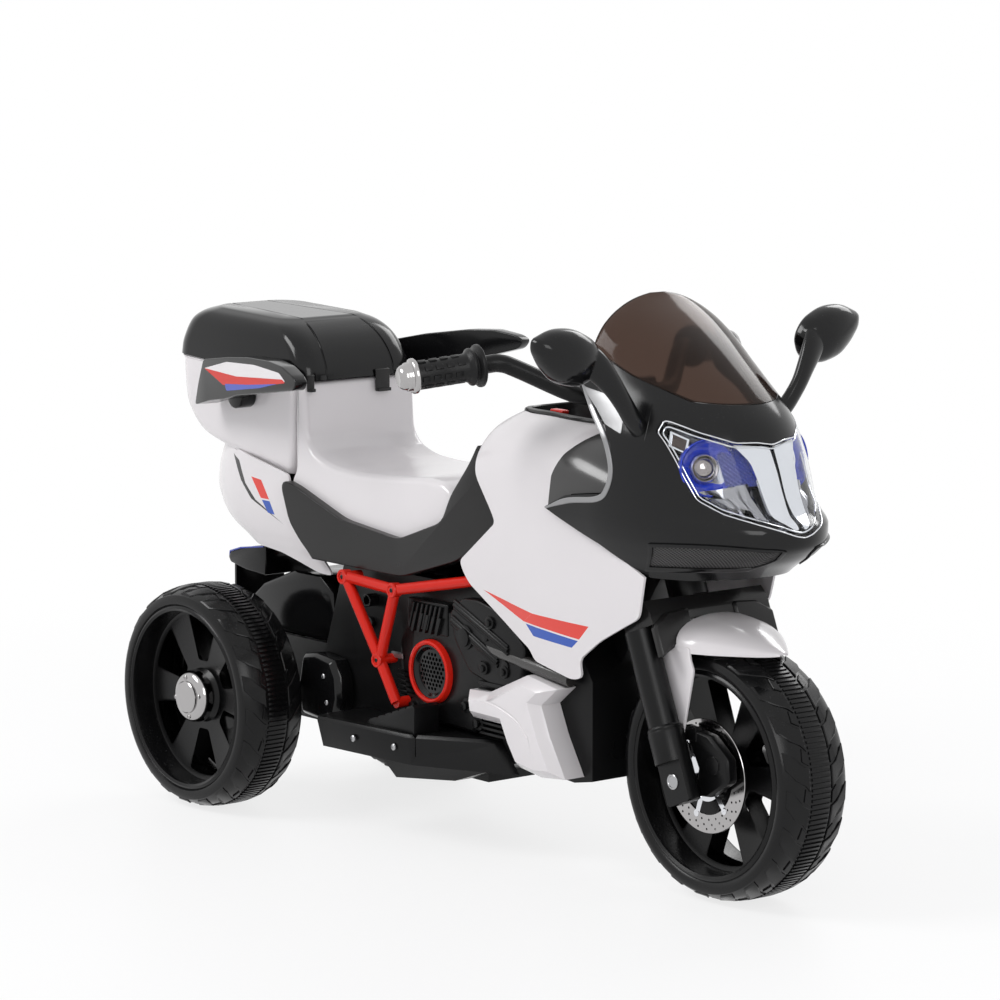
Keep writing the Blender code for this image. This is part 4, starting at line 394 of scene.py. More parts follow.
def tube(points, radius, sides=6, smooth_to=0):
    """A round tube through model points, a curve with a bevel."""
    if smooth_to:
        points = curved(points, smooth_to)
    data = bpy.data.curves.new("tube", "CURVE")
    data.dimensions = "3D"
    data.bevel_depth = radius
    data.bevel_resolution = sides
    data.use_fill_caps = True
    line = data.splines.new("POLY")
    line.points.add(len(points) - 1)
    for point, place in zip(line.points, points):
        point.co = (*place, 1)
    obj = only(applied(linked("tube", data)))
    bpy.ops.object.mode_set(mode="EDIT")
    bpy.ops.mesh.select_all(action="SELECT")
    bpy.ops.mesh.remove_doubles(threshold=0.00001)
    bpy.ops.mesh.normals_make_consistent(inside=False)
    bpy.ops.object.mode_set(mode="OBJECT")
    return obj


def table_at(table, key):
    """Reads a table of (key, value...) rows along a smooth curve through them."""
    if key <= table[0][0]:
        return table[0][1:]
    if key >= table[-1][0]:
        return table[-1][1:]
    i = max(k for k in range(len(table) - 1) if table[k][0] <= key)
    low = table[i]
    high = table[i + 1]
    before = table[max(i - 1, 0)]
    after = table[min(i + 2, len(table) - 1)]
    span = high[0] - low[0]
    t = (key - low[0]) / span
    found = []
    for k in range(1, len(low)):
        step = (high[k] - low[k]) / span
        back = (low[k] - before[k]) / (low[0] - before[0]) if i > 0 else step
        on = (after[k] - high[k]) / (after[0] - high[0]) if i + 2 < len(table) else step
        slope_low = 0 if back * step <= 0 else 2 * back * step / (back + step)
        slope_high = 0 if on * step <= 0 else 2 * on * step / (on + step)
        h00 = 2 * t**3 - 3 * t**2 + 1
        h10 = t**3 - 2 * t**2 + t
        h01 = 3 * t**2 - 2 * t**3
        h11 = t**3 - t**2
        found.append(h00 * low[k] + h10 * span * slope_low + h01 * high[k] + h11 * span * slope_high)
    return tuple(found)


print("modelling helpers ready")

# %% [markdown]
# ## Finishes
# Nearly all of the toy is moulded plastic: glossy white and black on the bodywork, satin black with
# a fine grain lower down. A moulded surface is never quite even, so one shared group gives a slow
# unevenness, a fine grain and a little dust, and each material uses them with its own strength.

# %% The shared surface group


def wire(tree, target, sockets):
    """Gives inputs, by name or number, a plain value or a link from another node's output."""
    for key, value in sockets.items():
        if isinstance(value, bpy.types.NodeSocket):
            tree.links.new(value, target.inputs[key])
        else:
            target.inputs[key].default_value = value


def node(tree, kind, sockets=None, **settings):
    """A new node with its settings made and its inputs wired."""
    made = tree.nodes.new(kind)
    for name, value in settings.items():
        setattr(made, name, value)
    wire(tree, made, sockets or {})
    return made


def sum_of(tree, operation, first, second):
    """One step of arithmetic between values or outputs."""
    return node(tree, "ShaderNodeMath", {0: first, 1: second}, operation=operation).outputs[0]


def ranged(tree, value, low, high, to_low=0.0, to_high=1.0, **settings):
    """A value carried from one range over to another."""
    sockets = {"Value": value, "From Min": low, "From Max": high, "To Min": to_low, "To Max": to_high}
    return node(tree, "ShaderNodeMapRange", sockets, **settings).outputs["Result"]


def mixed(tree, mask, low, high):
    """A colour between two others, each a plain colour or the output of a node."""
    low, high = [(*value, 1) if isinstance(value, tuple) else value for value in (low, high)]
    return node(tree, "ShaderNodeMix", {0: mask, 6: low, 7: high}, data_type="RGBA").outputs[2]


def moulded_group():
    """Object-space noise: a slow mottle, a fine grain and dust on what faces up."""
    tree = bpy.data.node_groups.new("moulded_surface", "ShaderNodeTree")
    ways = {
        "Mottle Scale": "INPUT",
        "Grain Scale": "INPUT",
        "Mottle": "OUTPUT",
        "Grain": "OUTPUT",
        "Dust": "OUTPUT",
    }
    for name, way in ways.items():
        tree.interface.new_socket(name, in_out=way, socket_type="NodeSocketFloat")
    start = node(tree, "NodeGroupInput")
    place = node(tree, "ShaderNodeTexCoord").outputs["Object"]

    def noise(scale, detail):
        sockets = {"Vector": place, "Scale": scale, "Detail": detail}
        return node(tree, "ShaderNodeTexNoise", sockets).outputs["Fac"]

    normal = node(tree, "ShaderNodeNewGeometry").outputs["Normal"]
    up = node(tree, "ShaderNodeSeparateXYZ", {"Vector": normal}).outputs["Z"]
    specks = ranged(tree, noise(420.0, 1.0), 0.66, 0.74)
    found = {
        "Mottle": noise(start.outputs["Mottle Scale"], 3.0),
        "Grain": noise(start.outputs["Grain Scale"], 2.0),
        "Dust": sum_of(tree, "MULTIPLY", ranged(tree, up, 0.2, 1.0), specks),
    }
    node(tree, "NodeGroupOutput", found)
    return tree


MOULDED = moulded_group()
print("shared group:", MOULDED.name)

# %% [markdown]
# One function makes every finish. Marks that are painted on are masks: each side of a flat outline
# gives a distance, and the least of them is positive only inside.

# %% One function for every finish


def inside(tree, outline):
    """A mask that is 1 inside a convex (x, z) outline, seen from the side."""
    place = node(tree, "ShaderNodeTexCoord").outputs["Object"]
    least = None
    for a, b in sides_of(outline):
        along = (Vector(b) - Vector(a)).normalized()
        normal = Vector((-along.y, 0, along.x)) * turn_of(outline)
        side = node(tree, "ShaderNodeVectorMath", {0: place, 1: normal}, operation="DOT_PRODUCT")
        reach = sum_of(tree, "SUBTRACT", side.outputs["Value"], normal.dot(at(a[0], 0, a[1])))
        least = reach if least is None else sum_of(tree, "MINIMUM", least, reach)
    return ranged(tree, least, -0.0001, 0.0001)


LOOKS = {}
COAT_ROUGHNESS = 0.05
DUST_COLOUR = (0.5, 0.5, 0.5)


def finish(
    name,
    colour,
    rough,
    uneven=0.06,
    grain=0.0,
    grain_scale=900.0,
    mottle_scale=9.0,
    dust=0.0,
    marks_and_shade=(),
    metallic=0.0,
    coat=0.0,
    transmission=0.0,
    gloss=0.5,
    bend=1.5,
):
    """A Principled material whose colour, roughness and bump follow the shared group."""
    material = bpy.data.materials.new(name)
    material.use_nodes = True
    tree = material.node_tree
    surface = node(tree, "ShaderNodeGroup", node_tree=MOULDED)
    wire(tree, surface, {"Mottle Scale": mottle_scale, "Grain Scale": grain_scale})
    mottle = surface.outputs["Mottle"]
    dark = tuple(c * (1 - uneven) for c in colour)
    light = tuple(min(1.0, c * (1 + uneven * 0.5)) for c in colour)
    shown = mixed(tree, mottle, dark, light)
    # Each outline paints its colour over the surface: printed stripes, and on the side panels a patch of
    # painted shade.
    for outline, mark_colour in marks_and_shade:
        shown = mixed(tree, inside(tree, outline), shown, mark_colour)
    if dust:
        shown = mixed(tree, sum_of(tree, "MULTIPLY", surface.outputs["Dust"], dust), shown, DUST_COLOUR)
    smoothest = max(0.0, rough * (1 - 2.5 * uneven))
    roughest = min(1.0, rough * (1 + 2.5 * uneven))
    inputs = {
        "Base Color": shown,
        "Roughness": ranged(tree, mottle, 0.0, 1.0, smoothest, roughest),
        "Metallic": metallic,
        "Coat Weight": coat,
        "Coat Roughness": COAT_ROUGHNESS,
        "Transmission Weight": transmission,
        "Specular IOR Level": gloss,
        "IOR": bend,
    }
    if grain:
        relief = {"Strength": 1.0, "Distance": grain, "Height": surface.outputs["Grain"]}
        inputs["Normal"] = node(tree, "ShaderNodeBump", relief).outputs["Normal"]
    wire(tree, tree.nodes["Principled BSDF"], inputs)
    material.diffuse_color = (*colour, 1)
    LOOKS[name] = material
    return material

# %% [markdown]
# The photograph shows coloured wedges on the white panels. Painted marks follow the surface, so they
# belong to the material: each wedge is a flat outline seen from the side, and a mask turns on inside
# it. A mask of the same kind paints a dark patch of shade into the recess inside the nose's hook, where
# the white panel turns in under the trim.

# %% The finishes
RED = (0.72, 0.035, 0.02)
BLUE = (0.012, 0.075, 0.42)
WHITE = (0.735, 0.705, 0.715)
PAINT_BLACK = (0.01, 0.01, 0.011)
SIDE_STRIPES = [
    ([(0.462, 0.3245), (0.563, 0.3105), (0.544, 0.2985)], RED),
    ([(0.563, 0.3105), (0.664, 0.3085), (0.646, 0.291), (0.544, 0.2985)], RED),
    ([(0.548, 0.2965), (0.644, 0.289), (0.632, 0.2795), (0.562, 0.2835)], BLUE),
]
TAIL_STRIPES = [
    ([(-0.068, 0.429), (-0.0505, 0.422), (-0.034, 0.3945), (-0.045, 0.397)], PAINT_BLACK),
    ([(-0.0451, 0.3972), (-0.0338, 0.3947), (-0.0099, 0.3759), (-0.0201, 0.3764)], PAINT_BLACK),
    ([(-0.0202, 0.3766), (-0.0097, 0.3761), (0.048, 0.352)], PAINT_BLACK),
    ([(-0.02, 0.405), (0.002, 0.403), (0.019, 0.38), (0.001, 0.38)], RED),
    ([(0.003, 0.378), (0.02, 0.378), (0.03, 0.362), (0.015, 0.363)], BLUE),
]
# A dark patch inside the nose's hook, where the white panel turns in: painted shade standing in for the
# shadow in that recess.
HOOK_RECESS_SHADE = [
    (0.604, 0.44), (0.72, 0.44), (0.735, 0.497), (0.722, 0.545), (0.7, 0.57), (0.668, 0.562),
    (0.644, 0.532), (0.622, 0.503), (0.611, 0.478),
]
# The side panels carry the printed stripes and this patch of painted shade.
SIDE_STRIPES_AND_SHADE = SIDE_STRIPES + [(HOOK_RECESS_SHADE, (0.035, 0.034, 0.034))]
finish("white_gloss", WHITE, 0.22, 0.02, 0.00002, 500.0, coat=0.2)
finish("white_side", WHITE, 0.22, 0.02, 0.00002, 500.0, marks_and_shade=SIDE_STRIPES_AND_SHADE, coat=0.2)
finish("white_tail", WHITE, 0.22, 0.02, 0.00002, 500.0, marks_and_shade=TAIL_STRIPES, coat=0.2)
finish("black_gloss", (0.004, 0.004, 0.0044), 0.14, 0.1, 0.00002, 500.0, dust=0.03, gloss=0.3)
finish("black_satin", (0.005, 0.005, 0.0053), 0.3, 0.1, 0.0001, 1500.0, dust=0.03, gloss=0.2)
finish("tyre_black", (0.0045, 0.0045, 0.0048), 0.24, 0.1, 0.00005, 1300.0, dust=0.05, gloss=0.24)
finish("grip_black", (0.006, 0.006, 0.0064), 0.36, 0.1, 0.00012, 1500.0, gloss=0.25)
finish("trim_grey", (0.014, 0.0135, 0.0135), 0.24, 0.15, 0.00005, 1200.0, mottle_scale=22.0, gloss=0.3)
finish("trim_silver", (0.3, 0.3, 0.305), 0.3, 0.08, 0.00003, 900.0, metallic=0.7)
finish("red_gloss", (0.6, 0.014, 0.006), 0.24, 0.04, 0.00002, 500.0, gloss=0.26)
finish("blue_gloss", (0.01, 0.04, 0.42), 0.2, 0.05, 0.00002, 500.0, coat=0.2)
finish("chrome", (0.43, 0.42, 0.42), 0.13, 0.06, 0.00001, 500.0, metallic=1.0)
finish("steel", (0.42, 0.42, 0.43), 0.28, 0.1, 0.00003, 900.0, metallic=1.0)
finish("pipe_metal", (0.03, 0.028, 0.027), 0.24, 0.15, 0.00003, 900.0, gloss=0.6, coat=0.2)
finish("smoke", (0.08, 0.048, 0.036), 0.09, 0.04, transmission=0.8, bend=1.2)
finish("clear", (0.97, 0.98, 0.99), 0.02, 0.01, transmission=1.0, bend=1.2)
finish("silver", (0.74, 0.75, 0.78), 0.14, 0.06, 0.00001, 300.0, metallic=1.0)
finish("bowl_chrome", (0.17, 0.175, 0.2), 0.2, 0.12, 0.00002, 300.0, metallic=1.0)
finish("lamp_blue", (0.006, 0.035, 0.52), 0.16, 0.1, coat=0.4)
finish("fan_blue", (0.004, 0.018, 0.22), 0.18, 0.25, metallic=0.2, coat=0.3, mottle_scale=60.0)
finish("facet_grey", (0.33, 0.33, 0.35), 0.12, 0.15, metallic=1.0, mottle_scale=40.0)
finish("bulb_glass", (0.34, 0.31, 0.3), 0.1, 0.1, metallic=0.9, coat=0.5)
finish("marker_brown", (0.055, 0.035, 0.028), 0.15, 0.2, metallic=0.3, coat=0.4)
finish("battery_grey", (0.2, 0.21, 0.23), 0.6, 0.1, 0.0001, 1200.0)
print(len(LOOKS), "finishes")

# %% [markdown]
# ## Dressing a piece
# A finished piece gets its name, finish, smoothing and body, and the solid it stands for is hidden.

# %% Dressing helpers


def dress(obj, name, body, look, *nodes, slot=None, angle=35):
    """Names and finishes a piece, ties it to its body and hides the solids it replaces."""
    obj = applied(obj)
    obj.name = name
    obj.data.name = name
    obj.data.materials.clear()
    obj.data.materials.append(LOOKS[look])
    for face in obj.data.polygons:
        face.material_index = 0
    bpy.ops.object.shade_smooth_by_angle(angle=math.radians(angle))
    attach(obj, body)
    if nodes:
        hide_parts(*nodes)


def dress_pair(obj, stem, body, look, *nodes, slot=None, angle=35):
    """Dresses a right-hand piece and its left-hand twin. A body or a node may hold {} for the side."""
    left = twin(applied(obj))
    for piece, side in ((obj, "right"), (left, "left")):
        named = [name.format(side) for name in nodes]
        dress(piece, f"{stem}_{side}", body.format(side), look, *named, slot=slot, angle=angle)


def refined(name, width):
    """A copy of a solid with its loose triangles merged into whole faces and its edges rounded."""
    obj = again(NODES[name])
    obj.parent = None
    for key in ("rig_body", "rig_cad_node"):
        del obj[key]
    mesh = bmesh.new()
    mesh.from_mesh(obj.data)
    bmesh.ops.remove_doubles(mesh, verts=mesh.verts, dist=0.00001)
    bmesh.ops.dissolve_limit(mesh, angle_limit=math.radians(1), verts=mesh.verts, edges=mesh.edges)
    mesh.to_mesh(obj.data)
    mesh.free()
    return edged(obj, width, 3, 30) if width else obj


def dress_solid(name, body, look, width):
    """A solid that only needs its edges rounded."""
    dress(refined(name, width), name, body, look, name)

# %% [markdown]
# ## The tank and the fairing under it
# The two white shells meet on the centre line under the key tray. Their section changes slowly from
# the seat to the fork, so a grid takes its points from a table of sections, gets a wall, and is cut
# to the outline seen from the side, as a moulded panel is.

# %% Tank sections
TANK_STATIONS = [
    (0.4, 0.102, 0.44, 0.5), (0.43, 0.1045, 0.45, 0.516), (0.46, 0.1075, 0.458, 0.534),
    (0.5, 0.112, 0.466, 0.546), (0.54, 0.117, 0.472, 0.548), (0.58, 0.12, 0.474, 0.545),
    (0.62, 0.1205, 0.474, 0.539), (0.66, 0.119, 0.47, 0.531), (0.7, 0.115, 0.462, 0.52),
    (0.74, 0.1085, 0.452, 0.51), (0.78, 0.101, 0.445, 0.5),
]
TANK_FOOT = 0.225
SIDE_PANEL = [
    (0.415, 0.353), (0.423, 0.338), (0.434, 0.327), (0.552, 0.266), (0.56, 0.254), (0.627, 0.241),
    (0.645, 0.245), (0.644, 0.267), (0.68, 0.293), (0.742, 0.327), (0.757, 0.39), (0.74, 0.43),
    (0.74, 0.56), (0.5, 0.56), (0.453, 0.54), (0.453, 0.477), (0.457, 0.46), (0.487, 0.423),
    (0.496, 0.409),
]
NOSE_SIDE = [
    (0.64, 0.6338), (0.716, 0.6008), (0.756, 0.5878), (0.79, 0.5753), (0.85, 0.5678),
    (0.95, 0.5678), (0.95, 0.385), (0.85, 0.379), (0.8, 0.375), (0.756, 0.3755),
    (0.697, 0.409), (0.606, 0.442), (0.645, 0.46), (0.711, 0.469), (0.722, 0.497),
    (0.718, 0.525), (0.699, 0.552), (0.652, 0.58), (0.64, 0.59),
]


def tank_point(x, climb):
    """A point of the right half of the tank: climb 0 is its foot, 1 the centre line on top."""
    half, shoulder, crown = table_at(TANK_STATIONS, x)
    if climb < 0.45:
        z = TANK_FOOT + (shoulder - TANK_FOOT) * climb / 0.45
        drawn_in = 0.02 * ((shoulder - z) / (shoulder - TANK_FOOT)) ** 1.6
        return at(x, -(half - drawn_in), z)
    angle = math.pi / 2 * (climb - 0.45) / 0.55
    width = half * max(0.0, math.cos(angle)) ** 0.85
    return at(x, -width, shoulder + (crown - shoulder) * math.sin(angle) ** 0.95)

# %% [markdown]
# The key tray is an oval recess in the top of the tank with a dark rim. Its outline is used twice:
# once to open the white shells, once for the rim itself.

# %% Side panels
TRAY_MIDDLE = 0.554
TRAY_LONG = 0.1
TRAY_WIDE = 0.069
TRAY_FLOOR = 0.508


def tank_height(x, y):
    """The height of the tank's top at a distance and to the side."""
    half, shoulder, crown = table_at(TANK_STATIONS, x)
    share = min(1.0, abs(y) / half) ** (1 / 0.85)
    return shoulder + (crown - shoulder) * math.sin(math.acos(share)) ** 0.95


def tray_ring(inset, height=None, raised=0.0, steps=96):
    """An oval round the tray, level or following the tank."""
    points = []
    for step in range(steps):
        angle = 2 * math.pi * step / steps
        c = math.cos(angle)
        s = math.sin(angle)
        x = TRAY_MIDDLE + (TRAY_LONG - inset) * math.copysign(abs(c) ** 0.85, c)
        y = (TRAY_WIDE - inset) * math.copysign(abs(s) ** 0.85, s)
        points.append(at(x, y, tank_height(x, y) + raised if height is None else height))
    return points


TANK_REAR, TANK_FRONT = 0.405, 0.775


def tank_skin(u, v):
    return tank_point(TANK_REAR + (TANK_FRONT - TANK_REAR) * u, v)


panel = sheet(44, 56, tank_skin, WALL, lambda centre: centre - at(0.58, 0, 0.4))
panel = boolean(panel, slab(SIDE_PANEL, -WIDE, -SEAM / 2, corner=0.008), "INTERSECT")
panel = boolean(panel, slab(outset(NOSE_SIDE, 2 * SEAM), -WIDE, WIDE))
panel = boolean(panel, loft([tray_ring(-2 * SEAM, height=0.49), tray_ring(-2 * SEAM, height=0.6)]))
dress_pair(panel, "side_panel", "toy", "white_side", "side_panel_{}", slot="white_gloss")

# %% [markdown]
# ## Key tray
# The tray is a shallow oval pan. Rings that follow the tank make its rim, level rings make its
# floor, and a second loft hollows it. The steering tube and the key pass through holes in it.

# %% Key tray, key and direction switch
pan = [tray_ring(0.02, height=TRAY_FLOOR - 0.0035), tray_ring(0.003, height=TRAY_FLOOR)]
for inset, raised in ((0.0, -0.002), (0.0, 0.0015), (0.0012, 0.003), (0.0045, 0.003), (0.006, 0.001)):
    pan.append(tray_ring(inset, raised=raised))
hollow = [
    tray_ring(inset, height=TRAY_FLOOR + up)
    for inset, up in ((0.022, 0.0), (0.01, 0.003), (0.0085, 0.01))
]
tray = boolean(loft(pan), loft(hollow + [tray_ring(0.0065, raised=0.006)]))


def steer_point(along, side=0.0):
    """A point given by its distance along the steering axis and to the side."""
    return STEER_PLACE @ Vector((0, side, along))


KEY_X, KEY_Y = 0.508, -0.022
tray = boolean(tray, rod(steer_point(0.3), steer_point(0.52), 0.0262, sides=48))
collar = lathe(
    [(0.0034, 0.0), (0.011, 0.0), (0.011, 0.0025), (0.0095, 0.004), (0.0034, 0.004)],
    Matrix.Translation(at(KEY_X, KEY_Y, TRAY_FLOOR - 0.0002)),
    40,
)
dress(collar, "key_collar", "toy", "chrome")
tray = boolean(tray, rod(at(KEY_X, KEY_Y, 0.49), at(KEY_X, KEY_Y, 0.52), 0.0036, sides=24))
tray = boolean(tray, cube((0.5495, 0.0135, 0.49), (0.5705, 0.0265, 0.53)))
dress(tray, "tank_tray", "toy", "trim_grey", "tank_tray")
stem = rod(at(KEY_X, KEY_Y, TRAY_FLOOR - 0.012), at(KEY_X, KEY_Y, TRAY_FLOOR + 0.024), 0.003, 0.0004)
dress(stem, "key_stem", "key", "chrome")
head = cube((0.4965, -0.0275, TRAY_FLOOR + 0.0235), (0.5195, -0.0165, TRAY_FLOOR + 0.0285), 0.0018, 4)
dress(head, "key_head", "key", "red_gloss", "key")
dress_solid("direction_switch", "direction_switch", "black_gloss", 0.0008)
print("tank done")

# %% [markdown]
# ## The nose
# Nose, windshield and headlight glass share one smooth hull, wide at the back and rounded in front.
# One function gives that hull's skin. Each part is the skin cut to its own outline, so the three
# meet without a step, as on the real toy.

# %% The hull
NOSE_LEVELS = [
    (0.36, 0.826, 0.102, 0.69), (0.385, 0.858, 0.11, 0.69), (0.405, 0.892, 0.119, 0.69),
    (0.422, 0.908, 0.1255, 0.69), (0.438, 0.907, 0.1285, 0.69), (0.452, 0.89, 0.129, 0.69),
    (0.47, 0.879, 0.129, 0.69), (0.5, 0.867, 0.128, 0.69), (0.53, 0.853, 0.125, 0.685),
    (0.55, 0.843, 0.12, 0.675), (0.57, 0.826, 0.114, 0.665), (0.59, 0.803, 0.107, 0.657),
    (0.61, 0.776, 0.101, 0.655), (0.63, 0.747, 0.095, 0.655), (0.648, 0.7185, 0.0845, 0.655),
    (0.662, 0.695, 0.07, 0.655), (0.674, 0.674, 0.05, 0.655), (0.681, 0.6625, 0.031, 0.655),
    (0.685, 0.657, 0.012, 0.655),
]
NOSE_REAR = 0.59
SCREEN_SIDE = [
    (0.656, 0.628), (0.716, 0.6014), (0.756, 0.5884), (0.79, 0.5759), (0.85, 0.5684),
    (0.95, 0.5684), (0.95, 0.72), (0.656, 0.72),
]
LENS_HALF = [
    (0.0, 0.4285), (-0.0121, 0.431), (-0.0464, 0.444), (-0.0721, 0.455), (-0.0889, 0.47),
    (-0.0952, 0.498), (-0.1013, 0.543), (-0.0917, 0.558), (-0.0722, 0.545), (-0.0447, 0.534),
    (-0.02, 0.5335), (0.0, 0.53),
]


def nose_point(round_by, height, out=0.0):
    """round_by runs from 0, the right rear edge, through 0.5, the front, to 1, the left rear edge."""
    front, half, start = table_at(NOSE_LEVELS, height)
    front += out
    half += out
    side = -1 if round_by <= 0.5 else 1
    share = min(round_by, 1 - round_by) * 2
    if share < 0.3:
        t = share / 0.3
        x = NOSE_REAR + (start - NOSE_REAR) * t
        return at(x, side * half * (0.985 + 0.015 * t), height)
    angle = math.pi / 2 * (share - 0.3) / 0.7
    x = start + (front - start) * math.sin(angle) ** (2 / 1.85)
    return at(x, side * half * max(0.0, math.cos(angle)) ** (2 / 2.05), height)


def from_nose(centre):
    """The way out of the hull at a point of it."""
    return centre - at(0.66, 0, 0.44)


def nose_sheet(low, high, out, wall, rows=60, across=96, start=0.0, end=1.0):
    """The hull's skin between two heights, moved out a little, with a wall behind it."""

    def skin(u, v):
        return nose_point(start + (end - start) * u, low + (high - low) * v, out)

    return sheet(across, rows, skin, wall, from_nose)


def lens_outline(grow):
    """The whole outline of the headlight glass, grown by a little."""
    return outset(LENS_HALF + [(-y, z) for y, z in reversed(LENS_HALF[1:-1])], grow)


def hull_y(x, height, out=0.0):
    """The right side of the hull at a distance and a height."""
    low, high = 0.0, 0.5
    for _ in range(24):
        middle = (low + high) / 2
        if nose_point(middle, height, out).x < x + REAR_AXLE_X:
            low = middle
        else:
            high = middle
    return nose_point(low, height, out).y


def hull_front(y, height, out=0.0):
    """The front of the hull at a distance to the side and a height, as a model point."""
    front, half, start = table_at(NOSE_LEVELS, height)
    front += out
    half += out
    across = min(1.0, abs(y) / half) ** 1.025
    return at(start + (front - start) * (1 - across * across) ** (1 / 1.85), y, height)


nose = nose_sheet(0.361, 0.634, 0.0, WALL)
nose = boolean(nose, slab(NOSE_SIDE, -WIDE, WIDE, corner=0.003), "INTERSECT")
nose = boolean(nose, front_slab(lens_outline(0.0), 0.74, 0.96, corner=0.004))
SEAM_LINE = [(0.754, 0.572), (0.7585, 0.552), (0.7603, 0.533)]
for side in (1, -1):
    seam = tube([at(x, side * hull_y(x, z), z) for x, z in SEAM_LINE], 0.0007, 2, smooth_to=8)
    nose = boolean(nose, seam)
dress(nose, "nose_fairing", "toy", "black_gloss", "nose_fairing", angle=30)
screen = nose_sheet(0.56, 0.6849, 0.0, 0.0026, rows=70)
screen = boolean(screen, slab(SCREEN_SIDE, -WIDE, WIDE, corner=0.003), "INTERSECT")
dress(screen, "windshield", "toy", "smoke", "windshield", angle=30)
lens = nose_sheet(0.415, 0.57, 0.0, 0.0024)
lens = boolean(lens, front_slab(lens_outline(-2 * SEAM), 0.745, 0.96, corner=0.004), "INTERSECT")
dress(lens, "headlight_lens", "toy", "clear", "headlight_lens", angle=30)
print("nose done")

# %% [markdown]
# ## Behind the headlight glass
# The lamp is a metallised bowl with a projector on each side, a dark blue fan and grey facets next
# to it, and two bright leaves in the middle. The bowl is the hull again, drawn in and hollowed.

# %% Headlight bowl and the beads round the glass
bowl = nose_sheet(0.422, 0.562, -0.03, 0.0015, rows=40)
bowl = boolean(bowl, front_slab(lens_outline(0.003), 0.735, 0.96), "INTERSECT")
dress(bowl, "headlight_bowl", "toy", "bowl_chrome", "headlight_housing")
shell = nose_sheet(0.42, 0.566, -0.032, 0.0012, rows=30)
shell = boolean(shell, front_slab(lens_outline(0.004), 0.73, 0.96), "INTERSECT")
dress(shell, "headlight_shell", "toy", "black_satin")


def lens_line(grow, out, radius):
    """A fine bead that follows the lens outline over the hull."""
    outline = soft_corners(lens_outline(grow), 0.004)
    points = []
    for here, after in zip(outline, outline[1:] + outline[:1]):
        count = max(1, round(math.dist(here, after) / 0.003))
        for step in range(count):
            y, z = Vector(here).lerp(Vector(after), step / count)
            points.append(hull_front(y, z, out))
    return tube(points + points[:1], radius, 3)


dress(lens_line(-0.0012, -0.0002, 0.0008), "lens_bead_outer", "toy", "silver")
dress(lens_line(-0.0062, -0.0042, 0.001), "lens_bead_inner", "toy", "silver")

# %% [markdown]
# Each side has a projector: a wide blue cone, a bright ring inside it and a domed glass in the
# middle. All three are turned profiles, built facing up and then aimed like the real one.

# %% Projector rings
LAMP_AIM = Vector((1.0, -0.42, 0.16))
aimed = LAMP_AIM.to_track_quat("Z", "Y").to_matrix().to_4x4()
lamp_place = Matrix.Translation(at(0.812, -0.064, 0.503)) @ aimed
ring = lathe(
    [
        (0.0165, -0.006), (0.019, -0.003), (0.026, 0.001), (0.0295, 0.006), (0.031, 0.009),
        (0.0322, 0.008), (0.0322, 0.0), (0.0165, -0.009), (0.0165, -0.006),
    ],
    lamp_place,
)
dress_pair(ring, "lamp_ring", "toy", "lamp_blue")
inner = lathe(
    [
        (0.0138, -0.006), (0.0138, -0.001), (0.015, 0.0005), (0.0165, -0.001), (0.0168, -0.006),
        (0.0138, -0.006),
    ],
    lamp_place,
)
dress_pair(inner, "lamp_collar", "toy", "silver")
dome = lathe(
    [(0.0, -0.005), (0.0137, -0.005), (0.0134, -0.003), (0.0105, 0.0005), (0.006, 0.0027), (0.0, 0.0034)],
    lamp_place,
    48,
)
dress_pair(dome, "lamp_dome", "toy", "bulb_glass")

# %% [markdown]
# Between projector and middle lie a dark blue fan with fine pips, clear grey facets below it, and a
# bright leaf. The leaves of both sides meet in a groove on the centre line.

# %% Fans and facets


def between(corners, u, v):
    """A point of a four-cornered (y, z) field. Its corners run round it from the lower outer one."""
    low = Vector(corners[0]).lerp(Vector(corners[1]), u)
    high = Vector(corners[3]).lerp(Vector(corners[2]), u)
    return low.lerp(high, v)


FAN = [(-0.048, 0.482), (-0.024, 0.485), (-0.032, 0.531), (-0.05, 0.538)]
FACETS = [(-0.064, 0.456), (-0.024, 0.443), (-0.03, 0.488), (-0.084, 0.476)]


def fan(u, v):
    y, z = between(FAN, u, v)
    pips = math.sin(u * 2 * math.pi * 6) * math.sin(v * 2 * math.pi * 9)
    return hull_front(y, z, -0.026 + 0.016 * u) + Vector((0.0009 * pips, 0, 0))


def facets(u, v):
    y, z = between(FACETS, u, v)
    fold = (0.0, 0.007, -0.001, 0.006, 0.001, 0.008, 0.0, 0.006, -0.001)[round(u * 8)]
    rise = (0.0, 0.004, 0.001, 0.003)[round(v * 3)]
    return hull_front(y, z, -0.02 + fold * (1 - v * 0.6) + rise)


def ahead(centre):
    return Vector((1, 0, 0))


dress_pair(sheet(60, 90, fan, 0.001, ahead), "lamp_fan", "toy", "fan_blue")
dress_pair(sheet(8, 3, facets, 0.001, ahead), "lamp_facets", "toy", "facet_grey", angle=5)

# %% [markdown]
# The leaf is cut from the hull's skin. The marker is a small sunk frame with a brown window: four
# rings, each the same four corners, drawn in and sunk a little further.

# %% Leaves and markers
LEAF = [
    (-0.045, 0.53), (-0.003, 0.5265), (-0.002, 0.499), (-0.0015, 0.469), (-0.004, 0.437),
    (-0.012, 0.4395), (-0.0255, 0.451), (-0.0282, 0.485), (-0.0321, 0.511),
]
leaf = nose_sheet(0.428, 0.545, -0.0048, 0.003, rows=40)
leaf = boolean(leaf, front_slab(LEAF, 0.72, 0.95, corner=0.006), "INTERSECT")
dress_pair(leaf, "lamp_leaf", "toy", "silver")
MARKER = [
    (0.7848, -0.0921, 0.544), (0.8056, -0.0821, 0.536), (0.8071, -0.0879, 0.52),
    (0.788, -0.0976, 0.528),
]
MARKER_DEPTH = Vector((-0.7, 0.68, 0.0))


